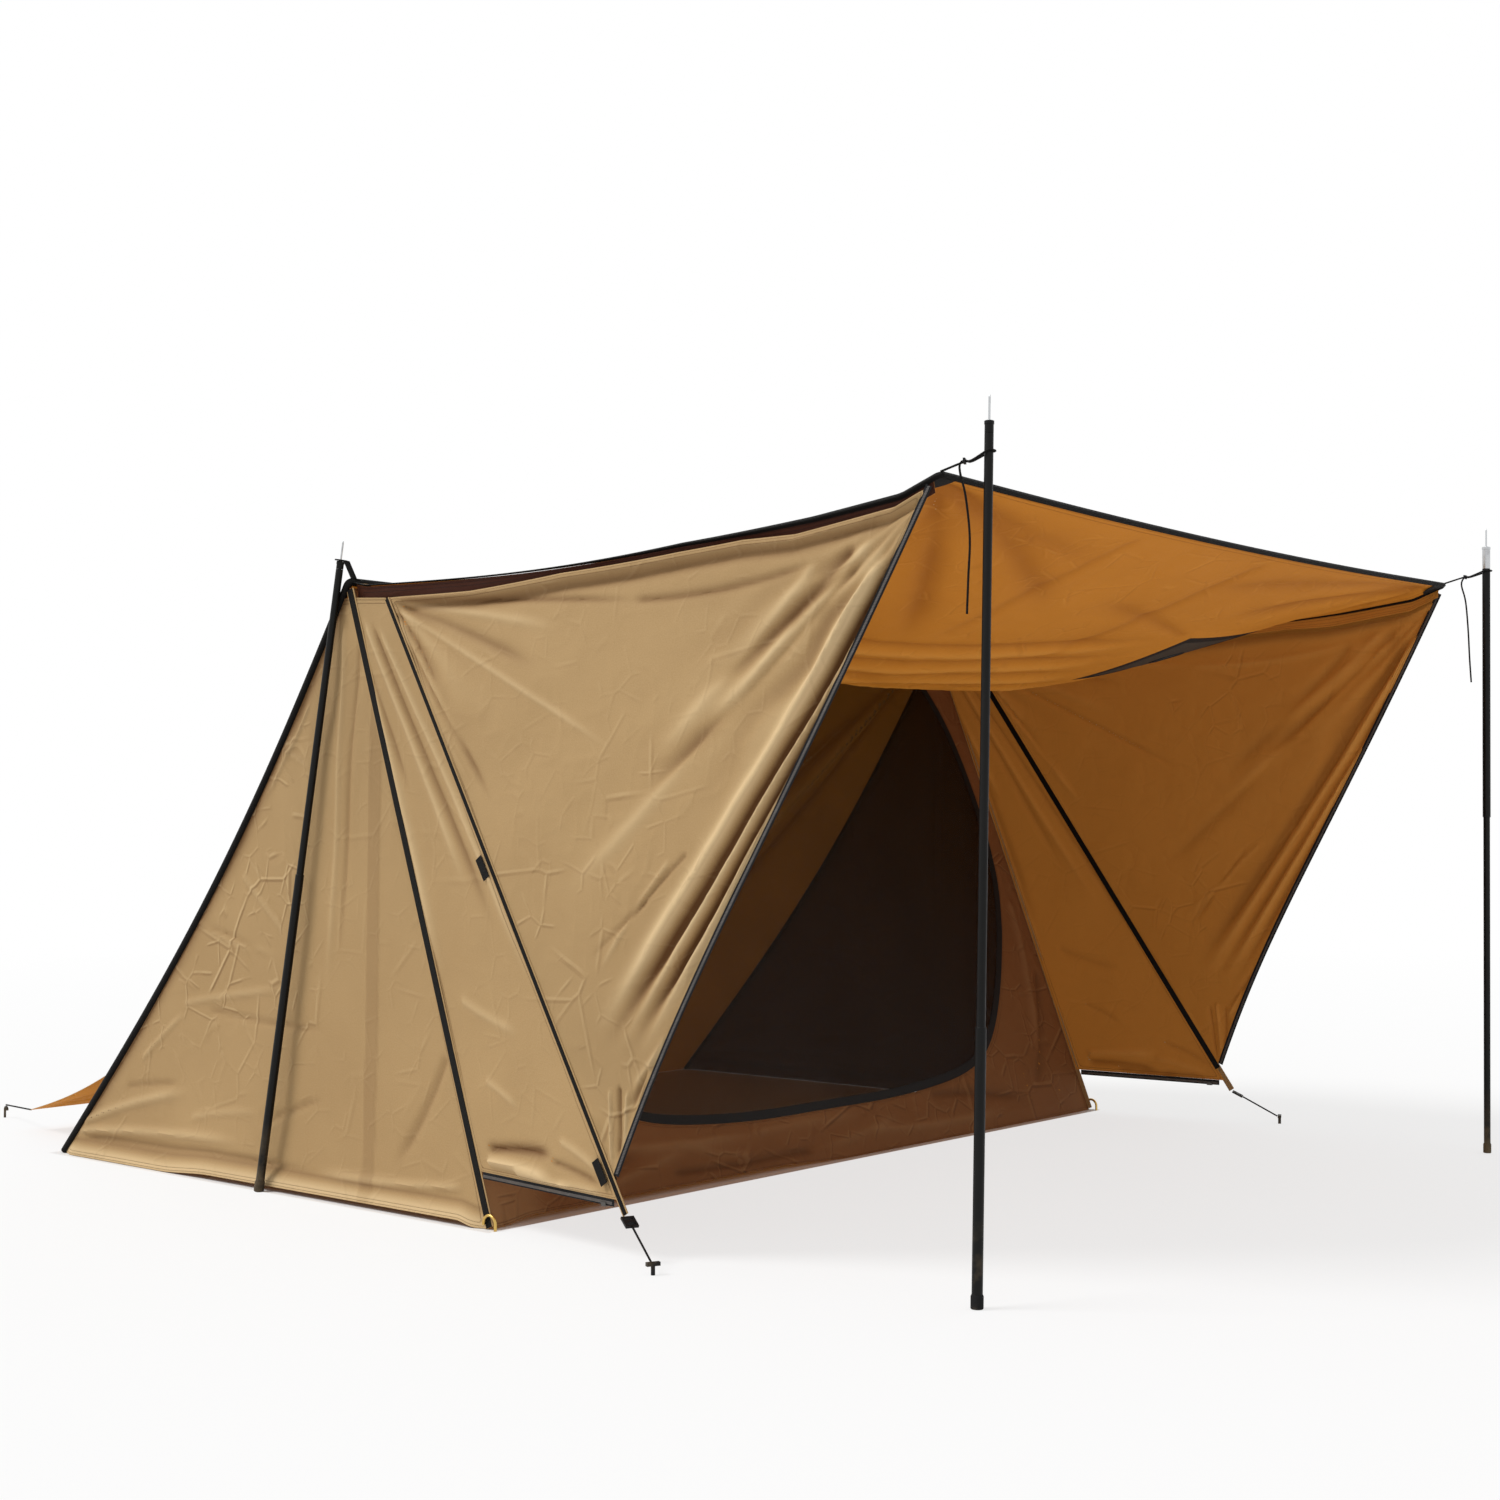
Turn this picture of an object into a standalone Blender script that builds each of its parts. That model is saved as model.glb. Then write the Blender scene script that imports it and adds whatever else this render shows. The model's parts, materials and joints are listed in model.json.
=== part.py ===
"""A ridge tent for use with a stove, pitched with its front roof raised as an awning.

The ridge runs along X and the porch faces -Y. Two leaning poles stand outside the ends of the
ridge and two more carry the front corners of the awning. Lengths are in metres, +Z is up.
"""

import math

import bmesh
import bpy
import numpy as np
from mathutils import Matrix, Vector

# Driving dimensions: the sleeping room
RIDGE_HEIGHT = 1.341
RIDGE_HALF = 1.1115
BASE_HALF = 1.148
FRONT_BASE = 0.500
REAR_BASE = 1.040
REAR_SAG = 0.070

# Driving dimensions: the awning
AWNING_REACH = 1.572
AWNING_CORNER_HEIGHT = 1.413
AWNING_SIDE_GAP = 0.0035
AWNING_SIDE_SAG = 0.037
AWNING_FRONT_SAG = 0.015
AWNING_BELLY = 0.190
BINDING_WIDTH = 0.010
BINDING_THICKNESS = 0.004
EAVE_DROP = 0.048
EAVE_INSET = 0.008
EAVE_START = 0.110

# Driving dimensions: the stove jack, seen from above
JACK_WIDTH = 0.360
JACK_DEPTH = 0.330
JACK_BORDER = 0.030
PIPE_RADIUS = 0.035
PIPE_CLEARANCE = 0.006
FLAP_MARGIN = 0.012
FLAP_LIFT = 0.0050
FLAP_HINGE_LIFT = 0.0028

# Driving dimensions: the wings beside the porch
WING_FOOT = (1.198, -0.922, 0.083)
WING_FRONT_INSET = 0.016
WING_FOLD = -0.127
WING_TOP_DROP = 0.040
WING_FRONT_HOLLOW = 0.026
WING_FOLD_DEPTH = 0.014
GORE_FOOT_HEIGHT = 0.100
GORE_FOLD_DEPTH = 0.008
END_FOLD_DEPTH = 0.010

# Driving dimensions: the mesh door in the front wall
DOOR_TAPE = 0.040
DOOR_GAP = 0.0009
FRONT_WALL_TOP = 0.015
MESH_THICKNESS = 0.0008

# Driving dimensions: the apron behind the rear wall
APRON_LINE = 0.235
APRON_TOP_HALF = 1.112
APRON_END_HALF = 1.000
APRON_REACH = 1.440
APRON_END_HEIGHT = 0.054
APRON_SAG = 0.014
APRON_PEG = (0.912, 1.712)

# Cloth, webbing and cord
FABRIC = 0.0018
SEAT_GAP = 0.0004
SEAM_INSET = 0.004
PIPING_RADIUS = 0.005
APEX_DROP = 0.036
WING_TIP_RISE = 0.058
GORE_TIP_RISE = 0.018
STRAP_WIDTH = 0.020
STRAP_THICKNESS = 0.0015
STRAP_LIFT = 0.0019
TAB_SIZE = (0.024, 0.049)
ZIP_TAPE = 0.013
ZIP_BEAD = 0.0034
CORD_RADIUS = 0.0015
HEM_LIFT = 0.001
SLIDER_LENGTH = 0.014
SLIDER_WALL = 0.0016
RUNNER_LENGTH = 0.012
RUNNER_SIZE = (0.004, 0.018, 0.009)
RUNNER_SPREAD = 0.0046
WRAP_GAP = 0.0012
TAIL_LEFT = (
    (0.6, 0.000, 0.000, -0.004),
    (0.9, 0.000, 0.000, -0.020),
    (0.9, 0.004, -0.002, -0.060),
    (0.9, 0.006, 0.004, -0.130),
    (0.9, -0.004, 0.006, -0.200),
    (0.9, -0.012, 0.003, -0.262),
)
TAIL_RIGHT = (
    (0.6, 0.000, 0.000, -0.004),
    (0.9, 0.000, 0.000, -0.020),
    (0.9, 0.010, -0.006, -0.060),
    (0.9, 0.014, -0.010, -0.130),
    (0.9, 0.016, -0.012, -0.200),
    (0.9, 0.020, -0.014, -0.262),
)

# Poles: the wide tube takes the narrow one inside it
POLE_HEIGHT = 1.500
RIDGE_POLE_HEIGHT = 1.386
WIDE_RADIUS = 0.0095
NARROW_RADIUS = 0.0079
TUBE_WALL = 0.0011
TUBE_OVERLAP = 0.120
FOOT_THICKNESS = 0.020
FRONT_JOINT_LEFT = 0.470
FRONT_JOINT_RIGHT = 0.828
RIDGE_JOINT = 0.700
PLUG_LEFT = 0.022
PLUG_RIGHT = 0.055
PLUG_RIDGE = 0.018
SPIKE_RADIUS = 0.0025
SPIKE_LENGTH = 0.045
HOLE_RADIUS = 0.0025
HOLE_STEP = 0.018
FRONT_FOOT_LEFT_SIDE = -1.096
FRONT_FOOT_LEFT_OUTSET = 0.059
FRONT_LEAN_LEFT = (0.031, -0.011)
FRONT_FOOT_RIGHT_SIDE = 1.106
FRONT_FOOT_RIGHT_OUTSET = 0.085
FRONT_LEAN_RIGHT = (0.0055, -0.0136)
RIDGE_FOOT = (1.178, 0.215)
RIDGE_LEAN = (-0.052, -0.204)

# Small hardware
TAB_RING_RADIUS = 0.013
TAB_RING_HOLE = 0.0045
TAB_THICKNESS = 0.003
TAB_ARM_WIDTH = 0.018
BUCKLE_SIZE = (0.030, 0.026, 0.005)
BUCKLE_SLOT = (0.006, 0.018)
STAKE_POINT = (1.249, -1.035)
STAKE_RADIUS = 0.004
STAKE_HEIGHT = 0.020
STAKE_HEAD = (0.026, 0.009, 0.007)
PEG_RADIUS = 0.0032
PEG_HEIGHT = 0.030
PEG_HOOK = 0.012
CORNER_PEG_HOOK = 0.034
CORNER_PEG_SHIFT = -0.021
OVERRUN = 0.010
MERGE = 0.000005

# Shares of the sizes above, chosen by hand
JACK_PLACE_SHARES = (0.604693, 0.648855)
BELLY_LEAN_SHARE = 0.2
BELLY_SPREAD_SHARE = 3.0
AWNING_COLUMNS_SHARES = (-1.0, -0.93, -0.80, -0.62, -0.42, -0.21, 0.0, 0.21)
AWNING_LAST_COLUMN_SHARE = 0.90
AWNING_ROWS_SHARES = (0.10, 0.20, 0.30, 0.39, 0.47)
AWNING_LAST_ROWS_SHARES = (0.87,)
WING_COLUMNS_SHARES = (0.0, 0.06, 0.17, 0.30, 0.44, 0.57, 0.68, 0.77, 0.84, 0.90, 0.95, 1.0)
WING_ROWS_SHARES = (0.0, 0.05, 0.13, 0.23, 0.34, 0.46, 0.58, 0.69, 0.80, 0.90, 0.967)
ZIP_END_SHARE = 0.984
GORE_COLUMNS_SHARES = (0.0, 0.12, 0.36, 0.64, 0.88, 1.0)
GORE_ROWS_SHARES = (0.0, 0.08, 0.20, 0.34, 0.50, 0.66, 0.80, 0.91, 1.0)
END_COLUMNS_SHARES = (0.0, 0.05, 0.16, 0.30, 0.44, 0.58, 0.72, 0.86, 0.96, 1.0)
SEAM_ROWS_SHARES = (0.0, 0.10, 0.22, 0.35, 0.48, 0.60, 0.71, 0.92, 1.0)
REAR_COLUMNS_SHARES = (-1.0, -0.6, -0.2, 0.2, 0.6, 1.0)
APRON_ROWS_SHARES = (0.0, 0.25, 0.5, 0.75, 1.0)
APRON_COLUMNS_SHARES = (-1.0, -0.6, -0.2, 0.2, 0.6, 1.0)
DOOR_SIDE_SHARES = (
    (0.530, 0.077),
    (0.605, 0.100),
    (0.700, 0.170),
    (0.790, 0.265),
    (0.873, 0.380),
    (0.925, 0.500),
    (0.935, 0.640),
    (0.915, 0.790),
    (0.870, 0.890),
    (0.815, 0.944),
    (0.740, 0.966),
)
STRAP_TAB_SHARES = (0.465, 0.930)
NEAR_SHARE = 0.001
CORD_HEIGHT_SHARES = (0.965, 0.960)
RUNNER_SHARE = 0.50

# Colours as linear red, green and blue
KHAKI = (0.46, 0.31, 0.15)
SUNLIT = (0.50, 0.25, 0.06)
BROWN = (0.13, 0.06, 0.02)
DARK_RED = (0.08, 0.03, 0.015)
BLACK = (0.01, 0.01, 0.01)
MESH_BLACK = (0.012, 0.010, 0.010)
ZIP_GREY = (0.07, 0.07, 0.08)
JACK_GREY = (0.09, 0.085, 0.08)
POLE_BLACK = (0.022, 0.024, 0.027)
SILVER = (0.62, 0.62, 0.58)
BRASS = (0.60, 0.43, 0.17)

# Places that follow from the sizes
RIDGE = (0.0, 0.0, RIDGE_HEIGHT)
AWNING_HALF = RIDGE_HALF - AWNING_SIDE_GAP
JACK_CENTRE = (JACK_PLACE_SHARES[0] * AWNING_HALF, -JACK_PLACE_SHARES[1] * AWNING_REACH)
WING_FRONT = -AWNING_REACH + WING_FRONT_INSET
FRONT_FOOT_LEFT = (FRONT_FOOT_LEFT_SIDE, -AWNING_REACH - FRONT_FOOT_LEFT_OUTSET)
FRONT_FOOT_RIGHT = (FRONT_FOOT_RIGHT_SIDE, -AWNING_REACH - FRONT_FOOT_RIGHT_OUTSET)
WALL_SLOPE = math.hypot(RIDGE_HEIGHT, FRONT_BASE)
EDGE_GAP = PIPING_RADIUS + SEAT_GAP
REAR_EDGE_GAP = EDGE_GAP * math.hypot(RIDGE_HEIGHT, REAR_BASE + math.pi * REAR_SAG) / RIDGE_HEIGHT
REAR_END = APRON_PEG[1] + PEG_RADIUS
FRONT_END = FRONT_FOOT_RIGHT[1] + FRONT_LEAN_RIGHT[1] - WIDE_RADIUS
CENTRE_SHIFT = -(REAR_END + FRONT_END) / 2

PEG_SIDES = 10
POLE_SIDES = 16
DOOR_CURVE_STEPS = 2


# Scene and materials


def clear_scene():
    for item in list(bpy.data.objects):
        bpy.data.objects.remove(item, do_unlink=True)


def material(name, colour, roughness, metallic):
    made = bpy.data.materials.new(name)
    made.use_nodes = True
    shader = made.node_tree.nodes["Principled BSDF"]
    shader.inputs["Base Color"].default_value = (*colour, 1.0)
    shader.inputs["Roughness"].default_value = roughness
    shader.inputs["Metallic"].default_value = metallic
    return made


def empty(name, location, parent, rotation=None):
    """A helper that carries pieces: its origin is on the axis of a joint."""
    made = bpy.data.objects.new(name, None)
    bpy.context.scene.collection.objects.link(made)
    made.parent = parent
    made.location = location
    if rotation is not None:
        made.rotation_mode = "QUATERNION"
        made.rotation_quaternion = rotation
    return made


def add_object(name, data, parent, colour, roughness=0.8, metallic=0.0):
    made = bpy.data.objects.new(name, data)
    bpy.context.scene.collection.objects.link(made)
    made.parent = parent
    data.materials.append(material(name, colour, roughness, metallic))
    return made


def relative(points, parent):
    """Points of the tent's frame, taken into the frame of the parent's own place."""
    offset = np.zeros(3)
    holder = parent
    while holder is not None and holder.name != "tent":
        offset = offset + np.array(holder.location)
        holder = holder.parent
    return np.asarray(points, float) - offset


def mesh_object(name, bm, parent, colour, roughness=0.8, metallic=0.0, smooth=False):
    bmesh.ops.recalc_face_normals(bm, faces=bm.faces)
    data = bpy.data.meshes.new(name)
    bm.to_mesh(data)
    bm.free()
    if smooth:
        data.shade_smooth()
        data.set_sharp_from_angle(angle=math.radians(35))
    return add_object(name, data, parent, colour, roughness, metallic)


# Shapes


def unit(vector):
    vector = np.asarray(vector, float)
    return vector / np.linalg.norm(vector, axis=-1, keepdims=True)


def blend(a, b, share):
    """The point that lies a share of the way from a to b."""
    share = np.asarray(share, float)[..., None]
    return np.asarray(a, float) * (1 - share) + np.asarray(b, float) * share


def mirrored(points, side):
    return np.asarray(points, float) * np.array((side, 1, 1))


def sheet(name, points, parent, colour, thickness=FABRIC, hole=None):
    """A closed sheet around a grid of middle points. The cell named by hole is left open."""
    points = relative(points, parent)
    normal = unit(np.cross(np.gradient(points, axis=0), np.gradient(points, axis=1)))
    rows, columns = points.shape[:2]
    middles = points.reshape(-1, 3)
    bm = bmesh.new()
    faces = []
    layers = []
    for half in (thickness / 2, -thickness / 2):
        layer = (points + normal * half).reshape(-1, 3)
        layers.append([bm.verts.new(point) for point in layer])
    edges = {}
    for row in range(rows - 1):
        for column in range(columns - 1):
            if (row, column) == hole:
                continue
            a = row * columns + column
            b, c, d = a + 1, a + columns + 1, a + columns
            # Both layers bend along the cell's shorter diagonal, so they stay apart.
            one, other = (np.linalg.norm(middles[i] - middles[j]) for i, j in ((a, c), (b, d)))
            faces += [(a, b, c), (a, c, d)] if one <= other else [(a, b, d), (b, c, d)]
    for face in faces:
        bm.faces.new([layers[0][corner] for corner in face])
        bm.faces.new([layers[1][corner] for corner in reversed(face)])
        for start, end in zip(face, face[1:] + face[:1]):
            edges[frozenset((start, end))] = edges.get(frozenset((start, end)), 0) + 1
    for edge, uses in edges.items():
        if uses == 1:
            start, end = sorted(edge)
            bm.faces.new((layers[0][start], layers[0][end], layers[1][end], layers[1][start]))
    return mesh_object(name, bm, parent, colour, smooth=True)


def plate(name, loops, normal, parent, colour, thickness=FABRIC):
    """A flat or nearly flat plate with its middle on the loops: an outline, then any holes."""
    normal = Vector(unit(normal))
    bm = bmesh.new()
    for loop in loops:
        corners = [bm.verts.new(Vector(point) - normal * thickness / 2) for point in relative(loop, parent)]
        for start, end in zip(corners, corners[1:] + corners[:1]):
            bm.edges.new((start, end))
    bmesh.ops.triangle_fill(bm, use_beauty=True, use_dissolve=False, edges=bm.edges, normal=normal)
    grown = bmesh.ops.extrude_face_region(bm, geom=bm.faces[:])
    moved = [item for item in grown["geom"] if isinstance(item, bmesh.types.BMVert)]
    bmesh.ops.translate(bm, verts=moved, vec=normal * thickness)
    return mesh_object(name, bm, parent, colour)


def rimmed_plate(name, outer, inner, normal, parent, colour):
    """A thin plate inside the inner loop, with a thicker rim out to the outer loop."""
    normal = Vector(unit(normal))
    bm = bmesh.new()
    rings = {}
    for side in (-1, 1):
        for key, loop, half in (
            ("outer", outer, FABRIC / 2),
            ("step", inner, FABRIC / 2),
            ("inner", inner, MESH_THICKNESS / 2),
        ):
            points = [Vector(point) + normal * half * side for point in relative(loop, parent)]
            rings[key, side] = [bm.verts.new(point) for point in points]
        edges = []
        for key in ("outer", "step", "inner"):
            ring = rings[key, side]
            made = [bm.edges.new(pair) for pair in zip(ring, ring[1:] + ring[:1])]
            edges.append(made)
        for chosen in (edges[0] + edges[1], edges[2]):
            bmesh.ops.triangle_fill(bm, use_beauty=True, use_dissolve=False, edges=chosen, normal=normal)
    walls = (
        (rings["outer", -1], rings["outer", 1]),
        (rings["step", -1], rings["inner", -1]),
        (rings["step", 1], rings["inner", 1]),
    )
    for one, other in walls:
        for index in range(len(one)):
            following = (index + 1) % len(one)
            bm.faces.new((one[index], one[following], other[following], other[index]))
    return mesh_object(name, bm, parent, colour)


def sweep_into(bm, origins, acrosses, ups, section):
    """Adds a closed bar: the section's points, as (across, up), carried along the origins."""
    rings = []
    for origin, across, up in zip(origins, acrosses, ups):
        ring = [origin + across * s + up * t for s, t in section]
        rings.append([bm.verts.new(point) for point in ring])
    for one, other in zip(rings, rings[1:]):
        for index in range(len(section)):
            following = (index + 1) % len(section)
            bm.faces.new((one[index], one[following], other[following], other[index]))
    bm.faces.new(rings[0])
    bm.faces.new(rings[-1])


def rectangle(width, thickness, shift=0.0, lift=0.0):
    half, rise = width / 2, thickness / 2
    return [
        (shift - half, lift - rise),
        (shift + half, lift - rise),
        (shift + half, lift + rise),
        (shift - half, lift + rise),
    ]


def zip_section(width, bead):
    """A tape of the cloth's thickness with a square row of teeth along its outer edge."""
    thin, thick = FABRIC / 2, bead / 2
    return [
        (0.0, -thin),
        (width - bead, -thin),
        (width - bead, -thick),
        (width, -thick),
        (width, thick),
        (width - bead, thick),
        (width - bead, thin),
        (0.0, thin),
    ]


def frames_along(path, outward):
    """Side and up directions of a strip that follows the path and faces outward."""
    path = np.asarray(path, float)
    along = unit(np.gradient(path, axis=0))
    outward = np.broadcast_to(np.asarray(outward, float), path.shape)
    across = unit(np.cross(along, outward))
    up = unit(np.cross(across, along))
    return across, up


def strip(name, path, outward, section, parent, colour):
    bm = bmesh.new()
    across, up = frames_along(path, outward)
    sweep_into(bm, relative(path, parent), across, up, section)
    return mesh_object(name, bm, parent, colour)


def turned_into(bm, profile, sides, matrix=None):
    """Adds the solid of a profile, as (radius, height) points, spun round the Z axis."""
    made = [bm.verts.new((radius, 0.0, height)) for radius, height in profile]
    edges = [bm.edges.new(pair) for pair in zip(made, made[1:])]
    bmesh.ops.spin(
        bm,
        geom=made + edges,
        cent=(0, 0, 0),
        axis=(0, 0, 1),
        angle=2 * math.pi,
        steps=sides,
        use_merge=True,
    )
    bmesh.ops.remove_doubles(bm, verts=bm.verts, dist=MERGE)
    if matrix is not None:
        bmesh.ops.transform(bm, matrix=matrix, verts=bm.verts)


def turned(name, profile, sides, parent, colour, roughness, metallic):
    bm = bmesh.new()
    turned_into(bm, profile, sides)
    return mesh_object(name, bm, parent, colour, roughness, metallic, smooth=True)


def tube(name, route, radius, parent, colour, roughness=0.8, metallic=0.0, resolution=2):
    """A solid round bar along the route."""
    data = bpy.data.curves.new(name, "CURVE")
    data.dimensions = "3D"
    data.bevel_depth = radius
    data.bevel_resolution = resolution
    data.use_fill_caps = True
    points = relative(route, parent)
    spline = data.splines.new("POLY")
    spline.points.add(len(points) - 1)
    for target, point in zip(spline.points, points):
        target.co = (*point, 1.0)
    return add_object(name, data, parent, colour, roughness, metallic)


def smooth_route(points, spacing):
    """Evenly spaced points on the Catmull-Rom curve through the route's own points."""
    points = np.asarray(points, float)
    padded = np.vstack([2 * points[0] - points[1], points, 2 * points[-1] - points[-2]])
    fine = []
    for index in range(1, len(padded) - 2):
        before, start, end, after = padded[index - 1 : index + 3]
        share = np.linspace(0, 1, 17)[:-1, None]
        fine.append(
            0.5
            * (
                2 * start
                + (end - before) * share
                + (2 * before - 5 * start + 4 * end - after) * share**2
                + (3 * start - before - 3 * end + after) * share**3
            )
        )
    fine = np.vstack([*fine, points[-1:]])
    walked = np.concatenate([[0], np.cumsum(np.linalg.norm(np.diff(fine, axis=0), axis=1))])
    steps = max(2, round(walked[-1] / spacing))
    wanted = np.linspace(0, walked[-1], steps + 1)
    return np.stack([np.interp(wanted, walked, fine[:, axis]) for axis in range(3)], -1)


def box_into(bm, size, matrix):
    bmesh.ops.create_cube(bm, size=1.0, matrix=matrix @ Matrix.Diagonal((*size, 1.0)))


def combine(target, other_bm, parent, operation):
    """Applies the other solid, kept as a hidden wire helper, to the target."""
    name = target.name + "_helper"
    data = bpy.data.meshes.new(name)
    bmesh.ops.recalc_face_normals(other_bm, faces=other_bm.faces)
    other_bm.to_mesh(data)
    other_bm.free()
    helper = bpy.data.objects.new(name, data)
    bpy.context.scene.collection.objects.link(helper)
    helper.parent = parent
    helper.hide_render = True
    helper.display_type = "WIRE"
    modifier = target.modifiers.new(operation.lower(), "BOOLEAN")
    modifier.operation = operation
    modifier.solver = "EXACT"
    modifier.object = helper


def cut(target, other_bm, parent):
    combine(target, other_bm, parent, "DIFFERENCE")


def join(target, other_bm, parent):
    combine(target, other_bm, parent, "UNION")


# Surfaces of the tent, for the right side: the left side mirrors them


def belly(share):
    """How far the roof hangs at a share of its reach, as a share of the deepest place."""
    lean = BELLY_LEAN_SHARE
    deepest = math.acos((math.sqrt(1 + 8 * lean**2) - 1) / (4 * lean)) / math.pi
    value = np.sin(np.pi * share) * (1 + lean * np.cos(np.pi * share))
    peak = math.sin(math.pi * deepest) * (1 + lean * math.cos(math.pi * deepest))
    return value / peak


def awning_point(across, reach):
    """A point of the raised roof: across runs -1..1 along X, reach 0..1 from ridge to front."""
    across, reach = np.broadcast_arrays(np.asarray(across, float), np.asarray(reach, float))
    spread = 1 - np.abs(across) ** BELLY_SPREAD_SHARE
    height = (
        RIDGE_HEIGHT
        + (AWNING_CORNER_HEIGHT - RIDGE_HEIGHT) * reach
        - AWNING_SIDE_SAG * np.sin(np.pi * reach)
        - AWNING_BELLY * belly(reach) * spread
        - AWNING_FRONT_SAG * reach * (1 - across**2)
    )
    return np.stack([across * AWNING_HALF, -reach * AWNING_REACH, height], -1)


def eave_height(y):
    """Height of the roof's side edge."""
    return awning_point(1.0, -np.asarray(y, float) / AWNING_REACH)[..., 2]


def front_seam(share):
    """The seam from the ridge's end to the front corner of the room."""
    return blend((RIDGE_HALF, 0, RIDGE_HEIGHT), (BASE_HALF, -FRONT_BASE, 0), share)


def seam_rows(top, bottom):
    """Shares down the seams from the ridge, kept within two lengths from their ends."""
    rows = np.sort((*SEAM_ROWS_SHARES, 1 - APRON_LINE / RIDGE_HEIGHT))
    return np.clip(rows, top / RIDGE_HEIGHT, 1 - bottom / RIDGE_HEIGHT)


def rear_seam(share):
    """The seam from the ridge's end to the rear corner, drawn in by the cloth's weight."""
    line = blend((RIDGE_HALF, 0, RIDGE_HEIGHT), (BASE_HALF, REAR_BASE, 0), share)
    line[..., 1] -= REAR_SAG * np.sin(np.pi * np.asarray(share))
    return line


def wing_top(y):
    """The wing's upper edge, which hangs just below the roof's side edge."""
    y = np.asarray(y, float)
    return np.stack([np.full_like(y, RIDGE_HALF), y, eave_height(y) - WING_TOP_DROP], -1)


def wing_fold_line(share):
    return blend(wing_top(WING_FOLD), WING_FOOT, share)


def wing_back_line(share):
    """The part of the fold line that the wing hangs from."""
    return wing_fold_line(np.asarray(share) * (1 - WING_TIP_RISE / RIDGE_HEIGHT))


def wing_front_line(share):
    """The wing's zipped front edge, hollow towards its foot."""
    share = np.asarray(share, float)
    line = blend(wing_top(WING_FRONT), wing_back_line(1.0), share)
    hollow = np.sin(np.pi * share**2)
    inward = unit(wing_back_line(share) - line + np.array((0, MERGE, 0)))
    return line + inward * (WING_FRONT_HOLLOW * hollow)[..., None]


def trimmed(start, end, before, after):
    """Start and end moved towards each other along their line by two lengths."""
    along = end - start
    length = np.linalg.norm(along, axis=-1, keepdims=True)
    step = along / np.maximum(length, MERGE)
    return start + step * before, end - step * after


def outward_side(points):
    """Unit normals of a grid, turned to +X."""
    normal = unit(np.cross(np.gradient(points, axis=0), np.gradient(points, axis=1)))
    return normal * np.sign(normal[..., :1])


def wing_grid():
    columns = np.array(WING_COLUMNS_SHARES)
    rows = np.array(WING_ROWS_SHARES)
    back = wing_back_line(rows)
    front = wing_front_line(rows)
    back, front = trimmed(back, front, SEAM_INSET, ZIP_TAPE + 2 * SEAT_GAP)
    top = wing_top(blend([back[0, 1]], [front[0, 1]], columns)[:, 0])
    points = blend(back[:, None], front[:, None], columns[None, :])
    sag = (top - points[0])[None] * (1 - rows[:, None, None]) ** 2
    points = points + sag
    # Folds fan out from the front corner and die away at the edges.
    corner = (1 - rows[:, None]) * columns[None]
    foot = rows[:, None] * np.ones_like(columns)[None]
    rest = (1 - rows[:, None]) * (1 - columns[None])
    fan = rest / np.maximum(rest + foot, 1e-6)
    calm = np.clip(27 * corner * foot * rest, 0, 1) ** 0.5
    wave = 0.5 - 0.5 * np.cos(6 * np.pi * fan**0.8)
    depth = WING_FOLD_DEPTH * calm * wave * (1 - 0.6 * foot)
    return points + outward_side(points) * depth[..., None]


def gore_grid():
    columns = np.array(GORE_COLUMNS_SHARES)
    top = APEX_DROP / RIDGE_HEIGHT
    bottom = 1 - GORE_FOOT_HEIGHT / RIDGE_HEIGHT
    rows = np.array(GORE_ROWS_SHARES)
    back = front_seam(top + (bottom - top) * rows)
    front = wing_fold_line(rows * (1 - GORE_TIP_RISE / RIDGE_HEIGHT))
    back, front = trimmed(back, front, SEAM_INSET, SEAM_INSET)
    points = blend(back[:, None], front[:, None], columns[None, :])
    points[-1] = points[-1] + unit(points[-2] - points[-1]) * (ZIP_TAPE + SEAT_GAP)
    calm = np.sin(np.pi * columns)[None] ** 2 * np.sin(np.pi * rows)[:, None]
    wave = -np.sin(3 * np.pi * columns)[None] * np.ones_like(rows)[:, None]
    depth = GORE_FOLD_DEPTH * calm * wave
    return points + outward_side(points) * depth[..., None]


def end_wall_grid():
    columns = np.array(END_COLUMNS_SHARES)
    rows = seam_rows(APEX_DROP, HEM_LIFT)
    front, rear = trimmed(front_seam(rows), rear_seam(rows), SEAM_INSET, REAR_EDGE_GAP)
    points = blend(front[:, None], rear[:, None], columns[None, :])
    share = rows[:, None]
    calm = np.sin(np.pi * columns)[None] ** 2 * np.sin(np.pi * share)
    wave = np.sin(2 * np.pi * (columns[None] * 1.5 + share * 0.5))
    depth = END_FOLD_DEPTH * calm * wave
    return points + outward_side(points) * depth[..., None]


def rear_wall_grid():
    columns = np.array(REAR_COLUMNS_SHARES)
    seam = rear_seam(seam_rows(EDGE_GAP, HEM_LIFT))
    points = np.repeat(seam[:, None], len(columns), axis=1)
    points[..., 0] = (seam[:, :1] - EDGE_GAP) * columns[None]
    return points


def front_wall_point(x, slope):
    """A point of the front wall: slope is the length up the wall from the ground line."""
    share = np.asarray(slope, float) / WALL_SLOPE
    x = np.asarray(x, float)
    return np.stack([x, -FRONT_BASE * (1 - share), RIDGE_HEIGHT * share], -1)


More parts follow.
